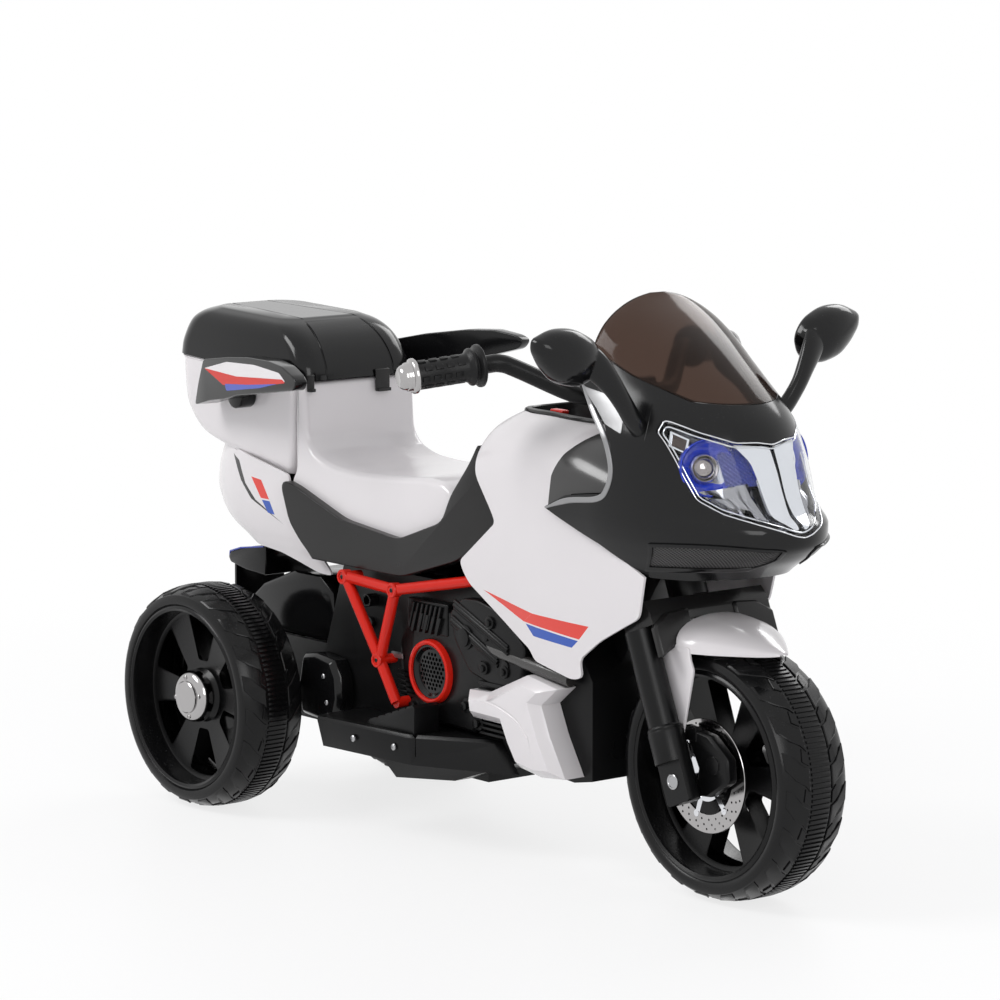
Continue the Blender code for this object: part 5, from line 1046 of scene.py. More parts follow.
def marker_ring(share, sink):
    """The marker's corners, drawn in to a share of their size and sunk."""
    middle = sum((at(*point) for point in MARKER), Vector()) / 4
    return [middle + (at(*point) - middle) * share + MARKER_DEPTH * sink for point in MARKER]


sunk = loft(
    [marker_ring(1.0, 0.012), marker_ring(1.0, 0.0035), marker_ring(0.78, 0.0035), marker_ring(0.74, 0.006)],
)
dress_pair(sunk, "lamp_marker_frame", "toy", "silver", angle=20)
dress_pair(loft([marker_ring(0.72, 0.0058), marker_ring(0.72, 0.005)]), "lamp_marker", "toy", "marker_brown")
print("headlight done")

# %% [markdown]
# ## Trim on the nose
# A grey strip follows the hook, a bright triangle fills the corner over it, and a dark mesh lies in
# a frame under the lamp on each side. They lie on the hull, so the hull function places them.

# %% Nose trim
HOOK = [
    (0.653, 0.586), (0.686, 0.554), (0.709, 0.53), (0.7215, 0.499), (0.7165, 0.4745),
    (0.7005, 0.462), (0.65, 0.4545), (0.61, 0.442),
]


def hull_ribbon(line, half_width, proud, count):
    """A flat moulded strip that follows an (x, z) line over the right flank of the hull."""
    smooth_line = [Vector((p.x, p.y)) for p in curved([(x, z, 0) for x, z in line], count)]
    rings = []
    for index, here in enumerate(smooth_line):
        along = (smooth_line[min(index + 1, count - 1)] - smooth_line[max(index - 1, 0)]).normalized()
        across = Vector((-along.y, along.x))
        taper = min(1.0, 0.35 + 6 * min(index, count - 1 - index) / count)
        ring = []
        for shift, lift in ((-1, -0.0015), (-1, 0.5), (-0.75, 1), (0.75, 1), (1, 0.5), (1, -0.0015)):
            x, z = here + across * half_width * taper * shift
            ring.append(at(x, hull_y(x, z) - (lift * proud if lift > 0 else lift), z))
        rings.append(ring)
    return loft(rings)


dress_pair(hull_ribbon(HOOK, 0.0033, 0.0014, 60), "hook_trim", "toy", "trim_silver")
TRIANGLE = [
    (0.6532, 0.585), (0.6934, 0.579), (0.7274, 0.553), (0.73, 0.538), (0.7043, 0.547), (0.6855, 0.563),
]
vent = nose_sheet(0.53, 0.6, 0.0008, 0.001, rows=24, across=40, start=0.02, end=0.3)
vent = boolean(vent, slab(TRIANGLE, -WIDE, -0.02, corner=0.002), "INTERSECT")
dress_pair(vent, "nose_vent", "toy", "trim_silver")

# %% [markdown]
# ## Mesh windows under the lamp
# A long window with a raised glossy frame lies on each side of the chin and runs out to a point.
# The mesh behind it is a material: two sets of slanted bands cross, and the holes between them are painted
# dark as the shade behind the mesh.

# %% Chin frames and their mesh


def chin(u, v, out):
    """The long window under the lamp, drawn out to a point at its front end."""
    low = 0.3835 + 0.007 * u + 0.017 * max(0.0, (u - 0.82) / 0.18) ** 1.6
    high = 0.418 + 0.004 * math.sin(math.pi * min(1.0, u * 1.2)) - 0.003 * max(0.0, (u - 0.82) / 0.18) ** 2
    return nose_point(0.245 + 0.216 * u, low + (high - low) * v, out)


frame_out = sheet(70, 14, lambda u, v: chin(u, v, 0.0028), 0.0028, from_nose)
window = sheet(70, 14, lambda u, v: chin(0.03 + 0.925 * u, 0.13 + 0.74 * v, 0.005), 0.009, from_nose)
frame_out = edged(boolean(frame_out, window), 0.0008, 2, 50)
dress_pair(frame_out, "chin_frame", "toy", "black_gloss")


def mesh_finish():
    """Light wires over holes painted dark as the shade behind them, from two slanted sets of bands on the
    sheet's own UV map.
    """
    tree = finish("mesh_black", (0.03, 0.03, 0.031), 0.35, 0.1, gloss=0.3).node_tree
    place = node(tree, "ShaderNodeTexCoord").outputs["UV"]
    waves = []
    for tilt in (52, -52):
        sockets = {"Vector": place, "Scale": (0.15, 0.032, 1.0), "Rotation": (0, 0, math.radians(tilt))}
        turn = node(tree, "ShaderNodeMapping", sockets).outputs["Vector"]
        waves.append(node(tree, "ShaderNodeTexWave", {"Vector": turn, "Scale": 120.0}).outputs["Fac"])
    wires = ranged(tree, sum_of(tree, "MAXIMUM", *waves), 0.7, 0.92)
    bump = node(tree, "ShaderNodeBump", {"Distance": 0.0006, "Height": wires})
    # Between the wires the colour drops to near black: painted shade in the holes.
    shown = mixed(tree, wires, (0.004, 0.004, 0.004), (0.085, 0.082, 0.082))
    wire(tree, tree.nodes["Principled BSDF"], {"Base Color": shown, "Normal": bump.outputs["Normal"]})


mesh_finish()
mesh_sheet = sheet(70, 12, lambda u, v: chin(0.02 + 0.96 * u, 0.08 + 0.84 * v, 0.0005), 0.0005, from_nose)
dress_pair(mesh_sheet, "chin_mesh", "toy", "mesh_black")
print("nose trim done")

# %% [markdown]
# ## Box, lid and seat
# The white box behind the seat and its black lid are lofts through level rings with round rear
# corners. More rings than the solid has, read from the same levels along a smooth curve, take the
# facets away.

# %% Box rings


def box_ring(rear, front, half, rear_height, front_height, corner, wall=0.0, tight=0.01):
    """A ring with round rear corners and tight front ones that climbs evenly from rear to front."""
    rear += wall
    front -= wall
    half -= wall
    corner = max(corner - wall, 0.004)
    points = []
    for step in range(15):
        angle = math.pi / 2 * step / 14
        points.append((rear + corner - corner * math.cos(angle), half - corner + corner * math.sin(angle)))
    for step in range(7):
        angle = math.pi / 2 * step / 6
        points.append((front - tight + tight * math.sin(angle), half - tight + tight * math.cos(angle)))
    plan = points + [(x, -y) for x, y in reversed(points)]
    slope = (front_height - rear_height) / (front - rear)
    return [at(x, y, rear_height + (x - rear) * slope) for x, y in plan]


def ring_rows(levels, count, wall=0.0, tight=0.01):
    """Rings between the levels, each measure on a smooth curve along the heights."""
    keyed = [(i, *level) for i, level in enumerate(levels)]
    rows = []
    for step in range(count):
        level = table_at(keyed, step / (count - 1) * (len(levels) - 1))
        rows.append(box_ring(*level, wall=wall, tight=tight))
    return rows


BOX_LEVELS = [
    (-0.11, 0.056, 0.078, 0.443, 0.415, 0.037), (-0.15, 0.06, 0.0815, 0.456, 0.427, 0.037),
    (-0.17, 0.065, 0.0835, 0.474, 0.45, 0.036), (-0.181, 0.068, 0.085, 0.498, 0.48, 0.035),
    (-0.185, 0.0715, 0.0855, 0.548, 0.5345, 0.035),
]
BOX_RINGS = 30
outer = ring_rows(BOX_LEVELS, BOX_RINGS)
inner = ring_rows(BOX_LEVELS, BOX_RINGS, wall=WALL)
inner[0] = [point + Vector((0, 0, WALL)) for point in inner[0]]
inner[-1] = [point + Vector((0, 0, 0.002)) for point in inner[-1]]
box = boolean(loft(outer), loft(inner[2:]))
HINGE_X, HINGE_Z = -0.1935, 0.548


def hinge_rod(near, far, radius, rim):
    """A rod on the lid's hinge line from one y to another."""
    return rod(at(HINGE_X, near, HINGE_Z), at(HINGE_X, far, HINGE_Z), radius, rim)


lugs = []
for y in (-0.03, 0.024):
    lugs.append(cube((HINGE_X - 0.004, y, 0.532), (-0.18, y + 0.006, 0.5472), 0.0008))
    lugs.append(hinge_rod(y, y + 0.006, 0.0045, 0.0005))
box = joined([box] + lugs)
dress(box, "storage_box", "toy", "white_gloss", "storage_box")
rim_line = box_ring(-0.1856, 0.0719, 0.086, 0.5462, 0.5329, 0.035)
rim = tube(rim_line + rim_line[:1], 0.0009, 3)
dress(rim, "box_rim", "toy", "white_gloss")

# %% [markdown]
# The lid is the same kind of loft, hollowed by a smaller one. Two long grooves are cut with thin
# tubes that follow its top, and the middle of the hinge belongs to it.

# %% Lid with its two grooves
LID_LEVELS = [
    (-0.188, 0.096, 0.0885, 0.549, 0.5352, 0.037), (-0.186, 0.094, 0.088, 0.562, 0.5475, 0.037),
    (-0.181, 0.085, 0.086, 0.578, 0.566, 0.038), (-0.173, 0.068, 0.0825, 0.594, 0.585, 0.04),
    (-0.158, 0.047, 0.0755, 0.6045, 0.598, 0.041), (-0.138, 0.027, 0.063, 0.6105, 0.6055, 0.036),
]
LID_RINGS, HOLLOW_RINGS = 40, 34
lid_outer = ring_rows(LID_LEVELS, LID_RINGS, tight=0.024)
lid_inner = ring_rows(LID_LEVELS, LID_RINGS, wall=WALL, tight=0.021)
lid_inner[0] = [point - Vector((0, 0, 0.002)) for point in lid_inner[0]]
lid = boolean(loft(lid_outer), loft(lid_inner[:HOLLOW_RINGS]))
GROOVE = [
    (-0.1885, 0.55, 0.024), (-0.183, 0.573, 0.024), (-0.172, 0.5945, 0.025),
    (-0.156, 0.605, 0.026), (-0.13, 0.6112, 0.028), (-0.05, 0.609, 0.033),
    (0.025, 0.6062, 0.04), (0.048, 0.5975, 0.044), (0.07, 0.583, 0.048), (0.0865, 0.563, 0.051),
    (0.0955, 0.544, 0.052), (0.0975, 0.534, 0.052),
]
for side in (-1, 1):
    line = [at(x, side * y, z) for x, z, y in GROOVE]
    lid = boolean(lid, tube(line, 0.0017, 3, smooth_to=60))
strap = cube((HINGE_X, -0.0236, HINGE_Z + 0.0012), (-0.1835, 0.0236, HINGE_Z + 0.0045), 0.0006)
barrel = hinge_rod(-0.0236, 0.0236, 0.0045, 0.0005)
pin = hinge_rod(-0.0295, 0.0295, 0.0022, 0.0003)
lid = joined([lid, strap, barrel, pin])
dress(lid, "lid", "lid", "black_gloss", "lid", angle=28)
for side in ("right", "left"):
    dress_solid(f"lid_latch_{side}", f"lid_latch_{side}", "trim_grey", 0.0007)

# %% [markdown]
# The seat is one blow-moulded shell: a saddle that runs up into the backrest in a single curve. Its
# side outline is smoothed and extruded, then the long edges get a generous round.

# %% Seat
SEAT_LINE = [
    (0.0745, 0.425), (0.0745, 0.529), (0.082, 0.5345), (0.0925, 0.531), (0.0945, 0.505),
    (0.0975, 0.464), (0.113, 0.448), (0.146, 0.437), (0.199, 0.434), (0.27, 0.437),
    (0.332, 0.443), (0.37, 0.44), (0.388, 0.428), (0.396, 0.408), (0.396, 0.352),
    (0.316, 0.325), (0.125, 0.325), (0.082, 0.364), (0.066, 0.402), (0.066, 0.412),
]
TURN = 0.0095
HALF_SEAT = 0.0875
SEAT_DISH = 0.002
seat_outline = soft_corners(SEAT_LINE, 0.016, 5)
seat_rows = []
for step in range(8):
    angle = math.pi / 2 * step / 7
    seat_rows.append((-(HALF_SEAT - TURN + TURN * math.cos(angle)), TURN * (1 - math.sin(angle))))
seat_rows += [(-y, inset) for y, inset in reversed(seat_rows)]
seat = loft([[at(x, y, z) for x, z in outset(seat_outline, -inset)] for y, inset in seat_rows])
for vertex in seat.data.vertices:
    if vertex.co.z > 0.425 and vertex.co.x > at(0.1, 0, 0).x:
        dish = max(0.0, 1 - (vertex.co.y / HALF_SEAT) ** 2)
        vertex.co.z -= SEAT_DISH * dish
dress(seat, "seat", "toy", "white_gloss", "seat", angle=40)
print("box, lid and seat done")

# %% [markdown]
# ## Tail
# Two white shells wrap round the rear under the box. They are a grid again, drawn from level curves
# that close on the centre line at the back.

# %% Tail panels, lamp and guard
TAIL_LEVELS = [
    (0.29, 0.025, 0.078), (0.305, 0.04, 0.079), (0.318, 0.055, 0.08),
    (0.3235, 0.075, 0.081), (0.3315, 0.1042, 0.082), (0.3375, 0.1254, 0.083),
    (0.35, 0.149, 0.084), (0.366, 0.163, 0.085), (0.383, 0.17, 0.0855),
    (0.405, 0.167, 0.0855), (0.425, 0.158, 0.0855), (0.4435, 0.147, 0.085),
    (0.485, 0.13, 0.083),
]
TAIL_PANEL = [
    (0.0625, 0.416), (-0.11, 0.4455), (-0.15, 0.457), (-0.2, 0.485), (-0.2, 0.345),
    (-0.1, 0.334), (-0.04, 0.3215), (0.0375, 0.3155), (0.075, 0.308), (0.116, 0.299),
    (0.146, 0.2985), (0.119, 0.325), (0.0985, 0.34), (0.0775, 0.361), (0.0625, 0.4),
]


def tail_point(round_by, height):
    """A point of the right tail shell, from its front edge round to the centre line behind."""
    reach, half = table_at(TAIL_LEVELS, height)
    if round_by < 0.35:
        t = round_by / 0.35
        return at(0.16 * (1 - t), -half - 0.004 * (1 - t), height)
    angle = math.pi / 2 * (round_by - 0.35) / 0.65
    return at(-reach * math.sin(angle), -half * max(0.0, math.cos(angle)), height)


def tail_skin(u, v):
    return tail_point(u, 0.29 + 0.195 * v)


tail = sheet(56, 56, tail_skin, WALL, lambda centre: centre - at(0.0, 0, 0.38))
tail = boolean(tail, slab(TAIL_PANEL, -WIDE, -SEAM / 2, corner=0.01), "INTERSECT")
box_room = ring_rows(BOX_LEVELS, 12, wall=-2 * SEAM)
box_room[0] = [point - Vector((0, 0, 2 * SEAM)) for point in box_room[0]]
tail = boolean(tail, loft(box_room))
dress_pair(tail, "tail_panel", "toy", "white_tail", "tail_panel_{}", slot="white_gloss")
dress_solid("tail_lamp", "toy", "black_gloss", 0.0008)
LAMP_EDGE = [
    (-0.056, 0.04, 0.3068), (-0.106, 0.04, 0.2994), (-0.129, 0.0396, 0.2926), (-0.1338, 0.037, 0.286),
]
lamp_top = [at(x, -y, z) for x, y, z in LAMP_EDGE] + [at(*point) for point in reversed(LAMP_EDGE)]
dress(tube(lamp_top, 0.0011, 4), "lamp_blue_edge", "toy", "blue_gloss")
dress_solid("rear_mudguard", "toy", "black_gloss", 0.001)
print("tail done")

# %% [markdown]
# ## Parts that keep their solid's shape
# Many pieces are already the right shape and only need their edges rounded, because a moulded edge
# always catches a line of light. Each is a copy of its solid, cleaned and bevelled.

# %% Rounded copies
ROUNDED = [
    ("chassis", "toy", "black_satin", 0.003),
    ("battery", "toy", "battery_grey", 0.001),
    ("gearbox", "toy", "battery_grey", 0.001),
    ("axle_cover_right", "toy", "black_gloss", 0.002),
    ("axle_cover_left", "toy", "black_gloss", 0.002),
    ("belly_panel_right", "toy", "white_gloss", 0.0045),
    ("belly_panel_left", "toy", "white_gloss", 0.0045),
    ("running_board_right", "toy", "black_satin", 0.0025),
    ("running_board_left", "toy", "black_satin", 0.0025),
    ("pedal", "pedal", "black_satin", 0.0008),
    ("charging_socket", "toy", "black_gloss", 0.0006),
    ("engine_cover_right", "toy", "black_satin", 0.001),
    ("engine_cover_left", "toy", "black_satin", 0.001),
    ("exhaust_right", "toy", "pipe_metal", 0.0006),
    ("exhaust_left", "toy", "pipe_metal", 0.0006),
    ("steering_column", "steering", "trim_grey", 0.0012),
    ("caliper", "steering", "black_satin", 0.001),
]
CREASE = [(0.464, 0.196), (0.5, 0.195), (0.54, 0.183), (0.564, 0.164)]
for name, body, look, width in ROUNDED:
    piece = refined(name, 0.0)
    if name == "chassis":
        # The keel rises towards the front wheel.
        for vertex in piece.data.vertices:
            x, z = vertex.co.x - REAR_AXLE_X, vertex.co.z
            if abs(x - 0.455) < 0.002 and z < 0.066:
                vertex.co.x = REAR_AXLE_X + 0.377
                vertex.co.z = 0.078
            if abs(x - 0.5) < 0.002 and abs(z - 0.088) < 0.002:
                vertex.co.z = 0.12
    piece = edged(piece, width, 3, 30)
    if name.startswith("belly_panel"):
        side = -1 if name.endswith("right") else 1
        piece = boolean(piece, tube([at(x, side * 0.1168, z) for x, z in CREASE], 0.0019, 4, smooth_to=24))
    dress(piece, name, body, look, name, angle=40)
print(len(ROUNDED), "rounded copies")

# %% [markdown]
# ## Seat base
# The dark carrier under the seat shows as a band between seat, tail and tank. It is an open shell:
# a thick side outline, hollowed, with room for the neighbours cut out a hair wider than they are.

# %% Seat base
SEAT_BASE = [
    (0.062, 0.412), (0.062, 0.38), (0.1, 0.319), (0.303, 0.319), (0.41, 0.352),
    (0.455, 0.38), (0.495, 0.408), (0.487, 0.423), (0.457, 0.46), (0.4525, 0.477),
    (0.452, 0.499), (0.433, 0.47), (0.397, 0.428), (0.381, 0.395), (0.294, 0.364),
    (0.184, 0.375), (0.09, 0.406),
]
BASE_HOLLOW = [(0.06, 0.323), (0.316, 0.323), (0.3975, 0.35), (0.3985, 0.38), (0.3985, 0.6), (0.06, 0.6)]
BEAM_ROOM = [
    (0.2, 0.29), (0.2, 0.3175), (0.13, 0.372), (-0.098, 0.408), (-0.098, 0.38),
    (-0.085, 0.362), (-0.066, 0.349), (0.11, 0.318),
]
base = slab(SEAT_BASE, -0.099, 0.099, corner=0.014)
base = edged(base, 0.0022, 3)
base = boolean(base, slab(BASE_HOLLOW, -0.088, 0.088))
base = boolean(base, slab(outset(BEAM_ROOM, 2 * SEAM), -0.0406, 0.0406))
base = boolean(base, slab(outset(TAIL_PANEL, 2 * SEAM), -WIDE, WIDE, corner=0.01))
base = boolean(base, slab(outset(SIDE_PANEL, 2 * SEAM), -WIDE, WIDE, corner=0.008))
base = boolean(base, cube((0.445, -0.026, 0.3), (0.52, 0.026, 0.45)))
dress(base, "seat_base", "toy", "trim_grey", "seat_base", angle=40)

# %% [markdown]
# ## Side frame
# The red trellis is moulded to look like welded tube. Round tubes run between the joints, and the
# rear, top and middle joints each have a disc with a screw in its middle.

# %% Red frame
FRAME_Y = -0.1075
JOINTS = {
    "rear": (0.205, FRAME_Y, 0.3085),
    "top": (0.303, FRAME_Y, 0.3045),
    "front": (0.448, -0.0835, 0.333),
    "middle": (0.273, FRAME_Y, 0.215),
    "foot": (0.305, FRAME_Y, 0.167),
}
LINKS = (("rear", "top"), ("top", "front"), ("rear", "middle"), ("top", "middle"), ("middle", "foot"))
parts = [tube([at(*JOINTS[a]), at(*JOINTS[b])], 0.0068, 6) for a, b in LINKS]
for name in ("rear", "top", "middle"):
    x, y, z = JOINTS[name]
    disc = lathe(
        [
            (0.0, 0.0), (0.006, 0.0), (0.006, 0.0165), (0.0085, 0.018), (0.0092, 0.0285),
            (0.0084, 0.0298), (0.006, 0.0298), (0.0055, 0.0284), (0.0, 0.0284),
        ],
        facing(x, -0.0848, z, -1),
        40,
    )
    parts.append(disc)
x, y, z = JOINTS["foot"]
parts.append(rod(at(x, y - 0.001, z), at(x, -0.0755, z), 0.0066))
dress_pair(joined(parts), "frame", "toy", "red_gloss", "frame_{}")

# %% [markdown]
# ## Speaker and engine
# The speaker is a black dished disc in a red ring, with a honeycomb of small holes. A honeycomb is
# one hexagonal cutter, copied along rows that step sideways by half a hole.

# %% Speaker
SPEAKER = (0.353, 0.21)
SPEAKER_BACK = 0.0753
speaker_place = facing(SPEAKER[0], -SPEAKER_BACK, SPEAKER[1], -1)
ring = lathe(
    [
        (0.0325, 0.0), (0.039, 0.0), (0.039, 0.018), (0.0378, 0.0215), (0.0355, 0.0226),
        (0.0332, 0.0215), (0.0325, 0.018), (0.0325, 0.0),
    ],
    speaker_place,
)
dress_pair(ring, "speaker_ring", "toy", "red_gloss", slot="red_gloss")
dish = lathe(
    [(0.0, 0.0), (0.0322, 0.0), (0.0322, 0.019), (0.03, 0.019), (0.0265, 0.015), (0.0, 0.0172)],
    speaker_place,
)
holes = []
PITCH = 0.006
for row in range(-4, 5):
    for column in range(-4, 5):
        x = (column + (row % 2) / 2) * PITCH
        z = row * PITCH * 0.866
        if math.hypot(x, z) < 0.0235:
            start = at(SPEAKER[0] + x, -SPEAKER_BACK - 0.01, SPEAKER[1] + z)
            holes.append(rod(start, start + Vector((0, -0.02, 0)), 0.0023, sides=6))
print(len(holes), "speaker holes")
dish = boolean(dish, joined(holes))
dress_pair(dish, "speaker", "toy", "black_gloss", "speaker_{}")

# %% [markdown]
# The dummy engine carries the small things that make it read as one: cooling fins, slanted louvres,
# hexagon bolts and a ribbed cylinder. They stand on the cover and are modelled once, then copied.

# %% Engine details
HEAD_BLOCK = [
    (0.3931, 0.2881), (0.416, 0.308), (0.4462, 0.3095), (0.4873, 0.3007), (0.515, 0.2806),
    (0.535, 0.264), (0.5243, 0.215), (0.4873, 0.2076), (0.431, 0.221), (0.4026, 0.2556),
]
details = [slab(HEAD_BLOCK, -0.0965, -0.079, 0.003, 3, corner=0.007)]
for start, end in (((0.404, 0.299), (0.505, 0.257)), ((0.399, 0.28), (0.486, 0.24))):
    for shift in (0.0, 0.0042, -0.0042):
        line = [at(x, -0.0965, z + shift) for x, z in (start, end)]
        details.append(rod(*line, 0.0026 if shift else 0.0036, 0.0006, sides=20))
for x, z in ((0.472, 0.286), (0.4611, 0.23), (0.499, 0.231)):
    details.append(rod(at(x, -0.095, z), at(x, -0.1, z), 0.0078, 0.0008))
    details.append(rod(at(x, -0.099, z), at(x, -0.103, z), 0.0048, 0.0006, sides=6))

# %% [markdown]
# Behind the head lies a louvred air box. Ribs curve round the speaker behind the side frame, and
# low down a row of level fins cools the crankcase.

# %% Louvres, curved ribs and level fins
details.append(cube((0.307, -0.092, 0.256), (0.384, -0.079, 0.295), 0.002, 3))
for index in range(7):
    start = 0.3115 + 0.0086 * index
    louvre = [(start, 0.26), (start + 0.004, 0.26), (start + 0.014, 0.2915), (start + 0.01, 0.2915)]
    details.append(slab(louvre, -0.0958, -0.09, 0.0007))
for reach in (0.0455, 0.0535, 0.0615):
    arc = [math.radians(100 + 90 * k / 17) for k in range(18)]
    line = [at(0.353 + reach * math.cos(a), -0.087, 0.213 + reach * math.sin(a)) for a in arc]
    details.append(tube(line, 0.003, 3))
for index in range(6):
    low = 0.17 + 0.0062 * index
    details.append(cube((0.284, -0.09, low), (0.32, -0.076, low + 0.0032), 0.0007))
for index in range(8):
    low = 0.15 + 0.0062 * index
    details.append(cube((0.45, -0.096, low), (0.498, -0.086, low + 0.003), 0.0006))
for x, z in ((0.318, 0.164), (0.44, 0.16), (0.418, 0.178)):
    details.append(rod(at(x, -0.085, z), at(x, -0.0905, z), 0.009, 0.0008))
    details.append(rod(at(x, -0.085, z), at(x, -0.0955, z), 0.0058, 0.0006, sides=6))
dress_pair(joined(details), "engine_details", "toy", "black_satin", slot="black_satin")
dress_pair(cube((0.272, -0.09, 0.2165), (0.3, -0.086, 0.2235), 0.0008), "engine_tab", "toy", "trim_silver")
studs = []
for x, z in ((0.242, 0.205), (0.215, 0.25)):
    studs.append(rod(at(x, -0.075, z), at(x, -0.081, z), 0.0075, 0.001))
for x, z in ((0.23, 0.296), (0.176, 0.286), (0.515, 0.152)):
    studs.append(rod(at(x, -0.075, z), at(x, -0.0785, z), 0.005, 0.0008))
dress_pair(joined(studs), "chassis_studs", "toy", "black_gloss")


def cross_screw(place, radius):
    """A pan-head screw with a cross slot, built facing +Z at this place."""
    head = lathe(
        [
            (0.0, 0.0), (radius, 0.0), (radius * 0.96, radius * 0.3), (radius * 0.6, radius * 0.62),
            (0.0, radius * 0.7),
        ],
        place,
        28,
    )
    for turn in (0, 90):
        slot = local_block((0, 0, radius * 0.72), (radius * 1.1, radius * 0.26, radius * 0.6))
        moved_by(slot, place @ Matrix.Rotation(math.radians(turn), 4, "Z"))
        head = boolean(head, slot)
    return head


def screws(name, body, look, radius, places):
    """A pair of groups of screws that face straight out at these places."""
    heads = [cross_screw(facing(x, y, z, -1), radius) for x, y, z in places]
    dress_pair(joined(heads), name, body, look)


screws("board_screws", "toy", "steel", 0.0042, [(0.276, -0.151, 0.124), (0.348, -0.1452, 0.124)])
screws("cover_screws", "toy", "steel", 0.0032, [(0.15, -0.1008, 0.176), (0.156, -0.1008, 0.144)])
held = [(JOINTS[name][0], -0.1131, JOINTS[name][2]) for name in ("rear", "top", "middle")]
screws("frame_screws", "toy", "black_gloss", 0.003, held)
print("engine done")

# %% [markdown]
# ## Wheels
# The wheels are one hard moulding each. The body is a turned profile with windows between six
# spokes; the tread is added as blocks that follow the round: a middle band of narrow ribs and bent
# shoulder blocks on both sides, each modelled once and copied round the rim.

# %% Wheel body and tread


def wheel_body(radius, width, hub_half, x, y):
    """Hub, web with six windows, barrel, lip and plain tread, turned in one profile."""
    half = width / 2
    lip = radius * 0.812
    barrel = lip - 0.006
    tread = radius - 0.0018
    side = [
        (0.0063, hub_half), (0.012, hub_half), (0.0135, hub_half - 0.002), (0.027, hub_half - 0.002),
        (0.03, hub_half - 0.005), (0.032, 0.015), (0.034, 0.013), (barrel - 0.004, 0.013),
        (barrel, 0.015), (barrel, half - 0.007), (barrel + 0.001, half - 0.003),
        (lip - 0.002, half - 0.0012), (lip, half - 0.0018), (lip + 0.002, half - 0.0036),
        (radius - 0.023, half - 0.0016), (radius - 0.0175, half - 0.0008),
        (radius - 0.012, half - 0.0032), (radius - 0.007, half - 0.0105),
        (tread - 0.0022, half - 0.02), (tread - 0.0006, half - 0.03), (tread, half - 0.04),
    ]
    profile = side + [(r, -a) for r, a in reversed(side)] + side[:1]
    body = lathe(profile, facing(x, y, radius, 1), 96)
    outer = barrel - 0.006
    windows = []
    for index in range(6):
        middle = 2 * math.pi * (index + 0.5) / 6
        corners = [(0.044, middle - 0.22), (0.044, middle + 0.22)]
        corners += [(outer, middle + 0.3 - 0.6 * k / 6) for k in range(7)]
        outline = [(x + r * math.cos(a), radius + r * math.sin(a)) for r, a in corners]
        windows.append(slab(outline, y - half, y + half, corner=0.004))
    return boolean(body, joined(windows))


def tread_radius(radius, width, side):
    """The radius of the plain tread at a distance from its middle."""
    half = width / 2
    line = [
        (0.0, radius - 0.0018), (half - 0.04, radius - 0.0018), (half - 0.03, radius - 0.0024),
        (half - 0.02, radius - 0.004), (half - 0.0105, radius - 0.007),
        (half - 0.0032, radius - 0.012),
    ]
    return table_at(line, abs(side))[0]


def tread_blocks(radius, width, x, y, outlines, count, height):
    """Blocks of (turn, side) outlines, wrapped round the tread and repeated."""
    mesh = bmesh.new()
    for index in range(count):
        for outline in outlines:
            rings = []
            for lift, shrink in ((-0.0015, 1.0), (height * 0.7, 1.0), (height, 0.9)):
                middle = sum((Vector(point) for point in outline), Vector((0, 0))) / len(outline)
                ring = []
                for point in outline:
                    turn, side = middle + (Vector(point) - middle) * shrink
                    angle = 2 * math.pi * (index + turn) / count
                    reach = tread_radius(radius, width, side) + lift
                    spot = at(x + reach * math.cos(angle), y + side, radius + reach * math.sin(angle))
                    ring.append(mesh.verts.new(spot))
                rings.append(ring)
            skinned(mesh, rings)
    return as_object(mesh, "tread")


BLOCK_HEIGHT = 0.0017
SHOULDER_COUNT = 20


def wheel(name, radius, width, hub_half, x, y, rib_count):
    """A whole wheel: its body, a middle band of ribs and bent shoulder blocks on both sides."""
    half = width / 2
    rib = [(0.14, -0.0135), (0.66, -0.0135), (0.66, 0.0135), (0.14, 0.0135)]
    ribs = tread_blocks(radius, width, x, y, [rib], rib_count, BLOCK_HEIGHT)
    shoulder = []
    for side in (-1, 1):
        block = [
            (0.04, 0.0165), (0.6, 0.0165), (0.7, half - 0.025), (1.02, half - 0.012),
            (1.12, half - 0.005), (0.66, half - 0.005), (0.36, half - 0.015), (0.2, half - 0.027),
        ]
        shoulder.append([(turn, side * reach) for turn, reach in block])
        other = [(0.68, 0.0165), (0.96, 0.0165), (1.12, half - 0.027), (0.8, half - 0.025)]
        shoulder.append([(turn, side * reach) for turn, reach in other])
    blocks = tread_blocks(radius, width, x, y, shoulder, SHOULDER_COUNT, BLOCK_HEIGHT)
    whole = joined([wheel_body(radius, width, hub_half, x, y), ribs, blocks])
    dress(whole, name, name, "tyre_black", name, angle=32)
    print(name, len(whole.data.polygons), "faces")


wheel("front_wheel", FRONT_RADIUS, 0.1, 0.04, WHEELBASE, 0.0, 150)
wheel("rear_wheel_right", REAR_RADIUS, 0.095, 0.022, 0.0, -REAR_TRACK / 2, 144)
wheel("rear_wheel_left", REAR_RADIUS, 0.095, 0.022, 0.0, REAR_TRACK / 2, 144)

# %% [markdown]
# Each rear hub wears a flat-faced bright cap with four small screws. A dark dish behind the spokes
# paints the shade that fills the wheel between them.

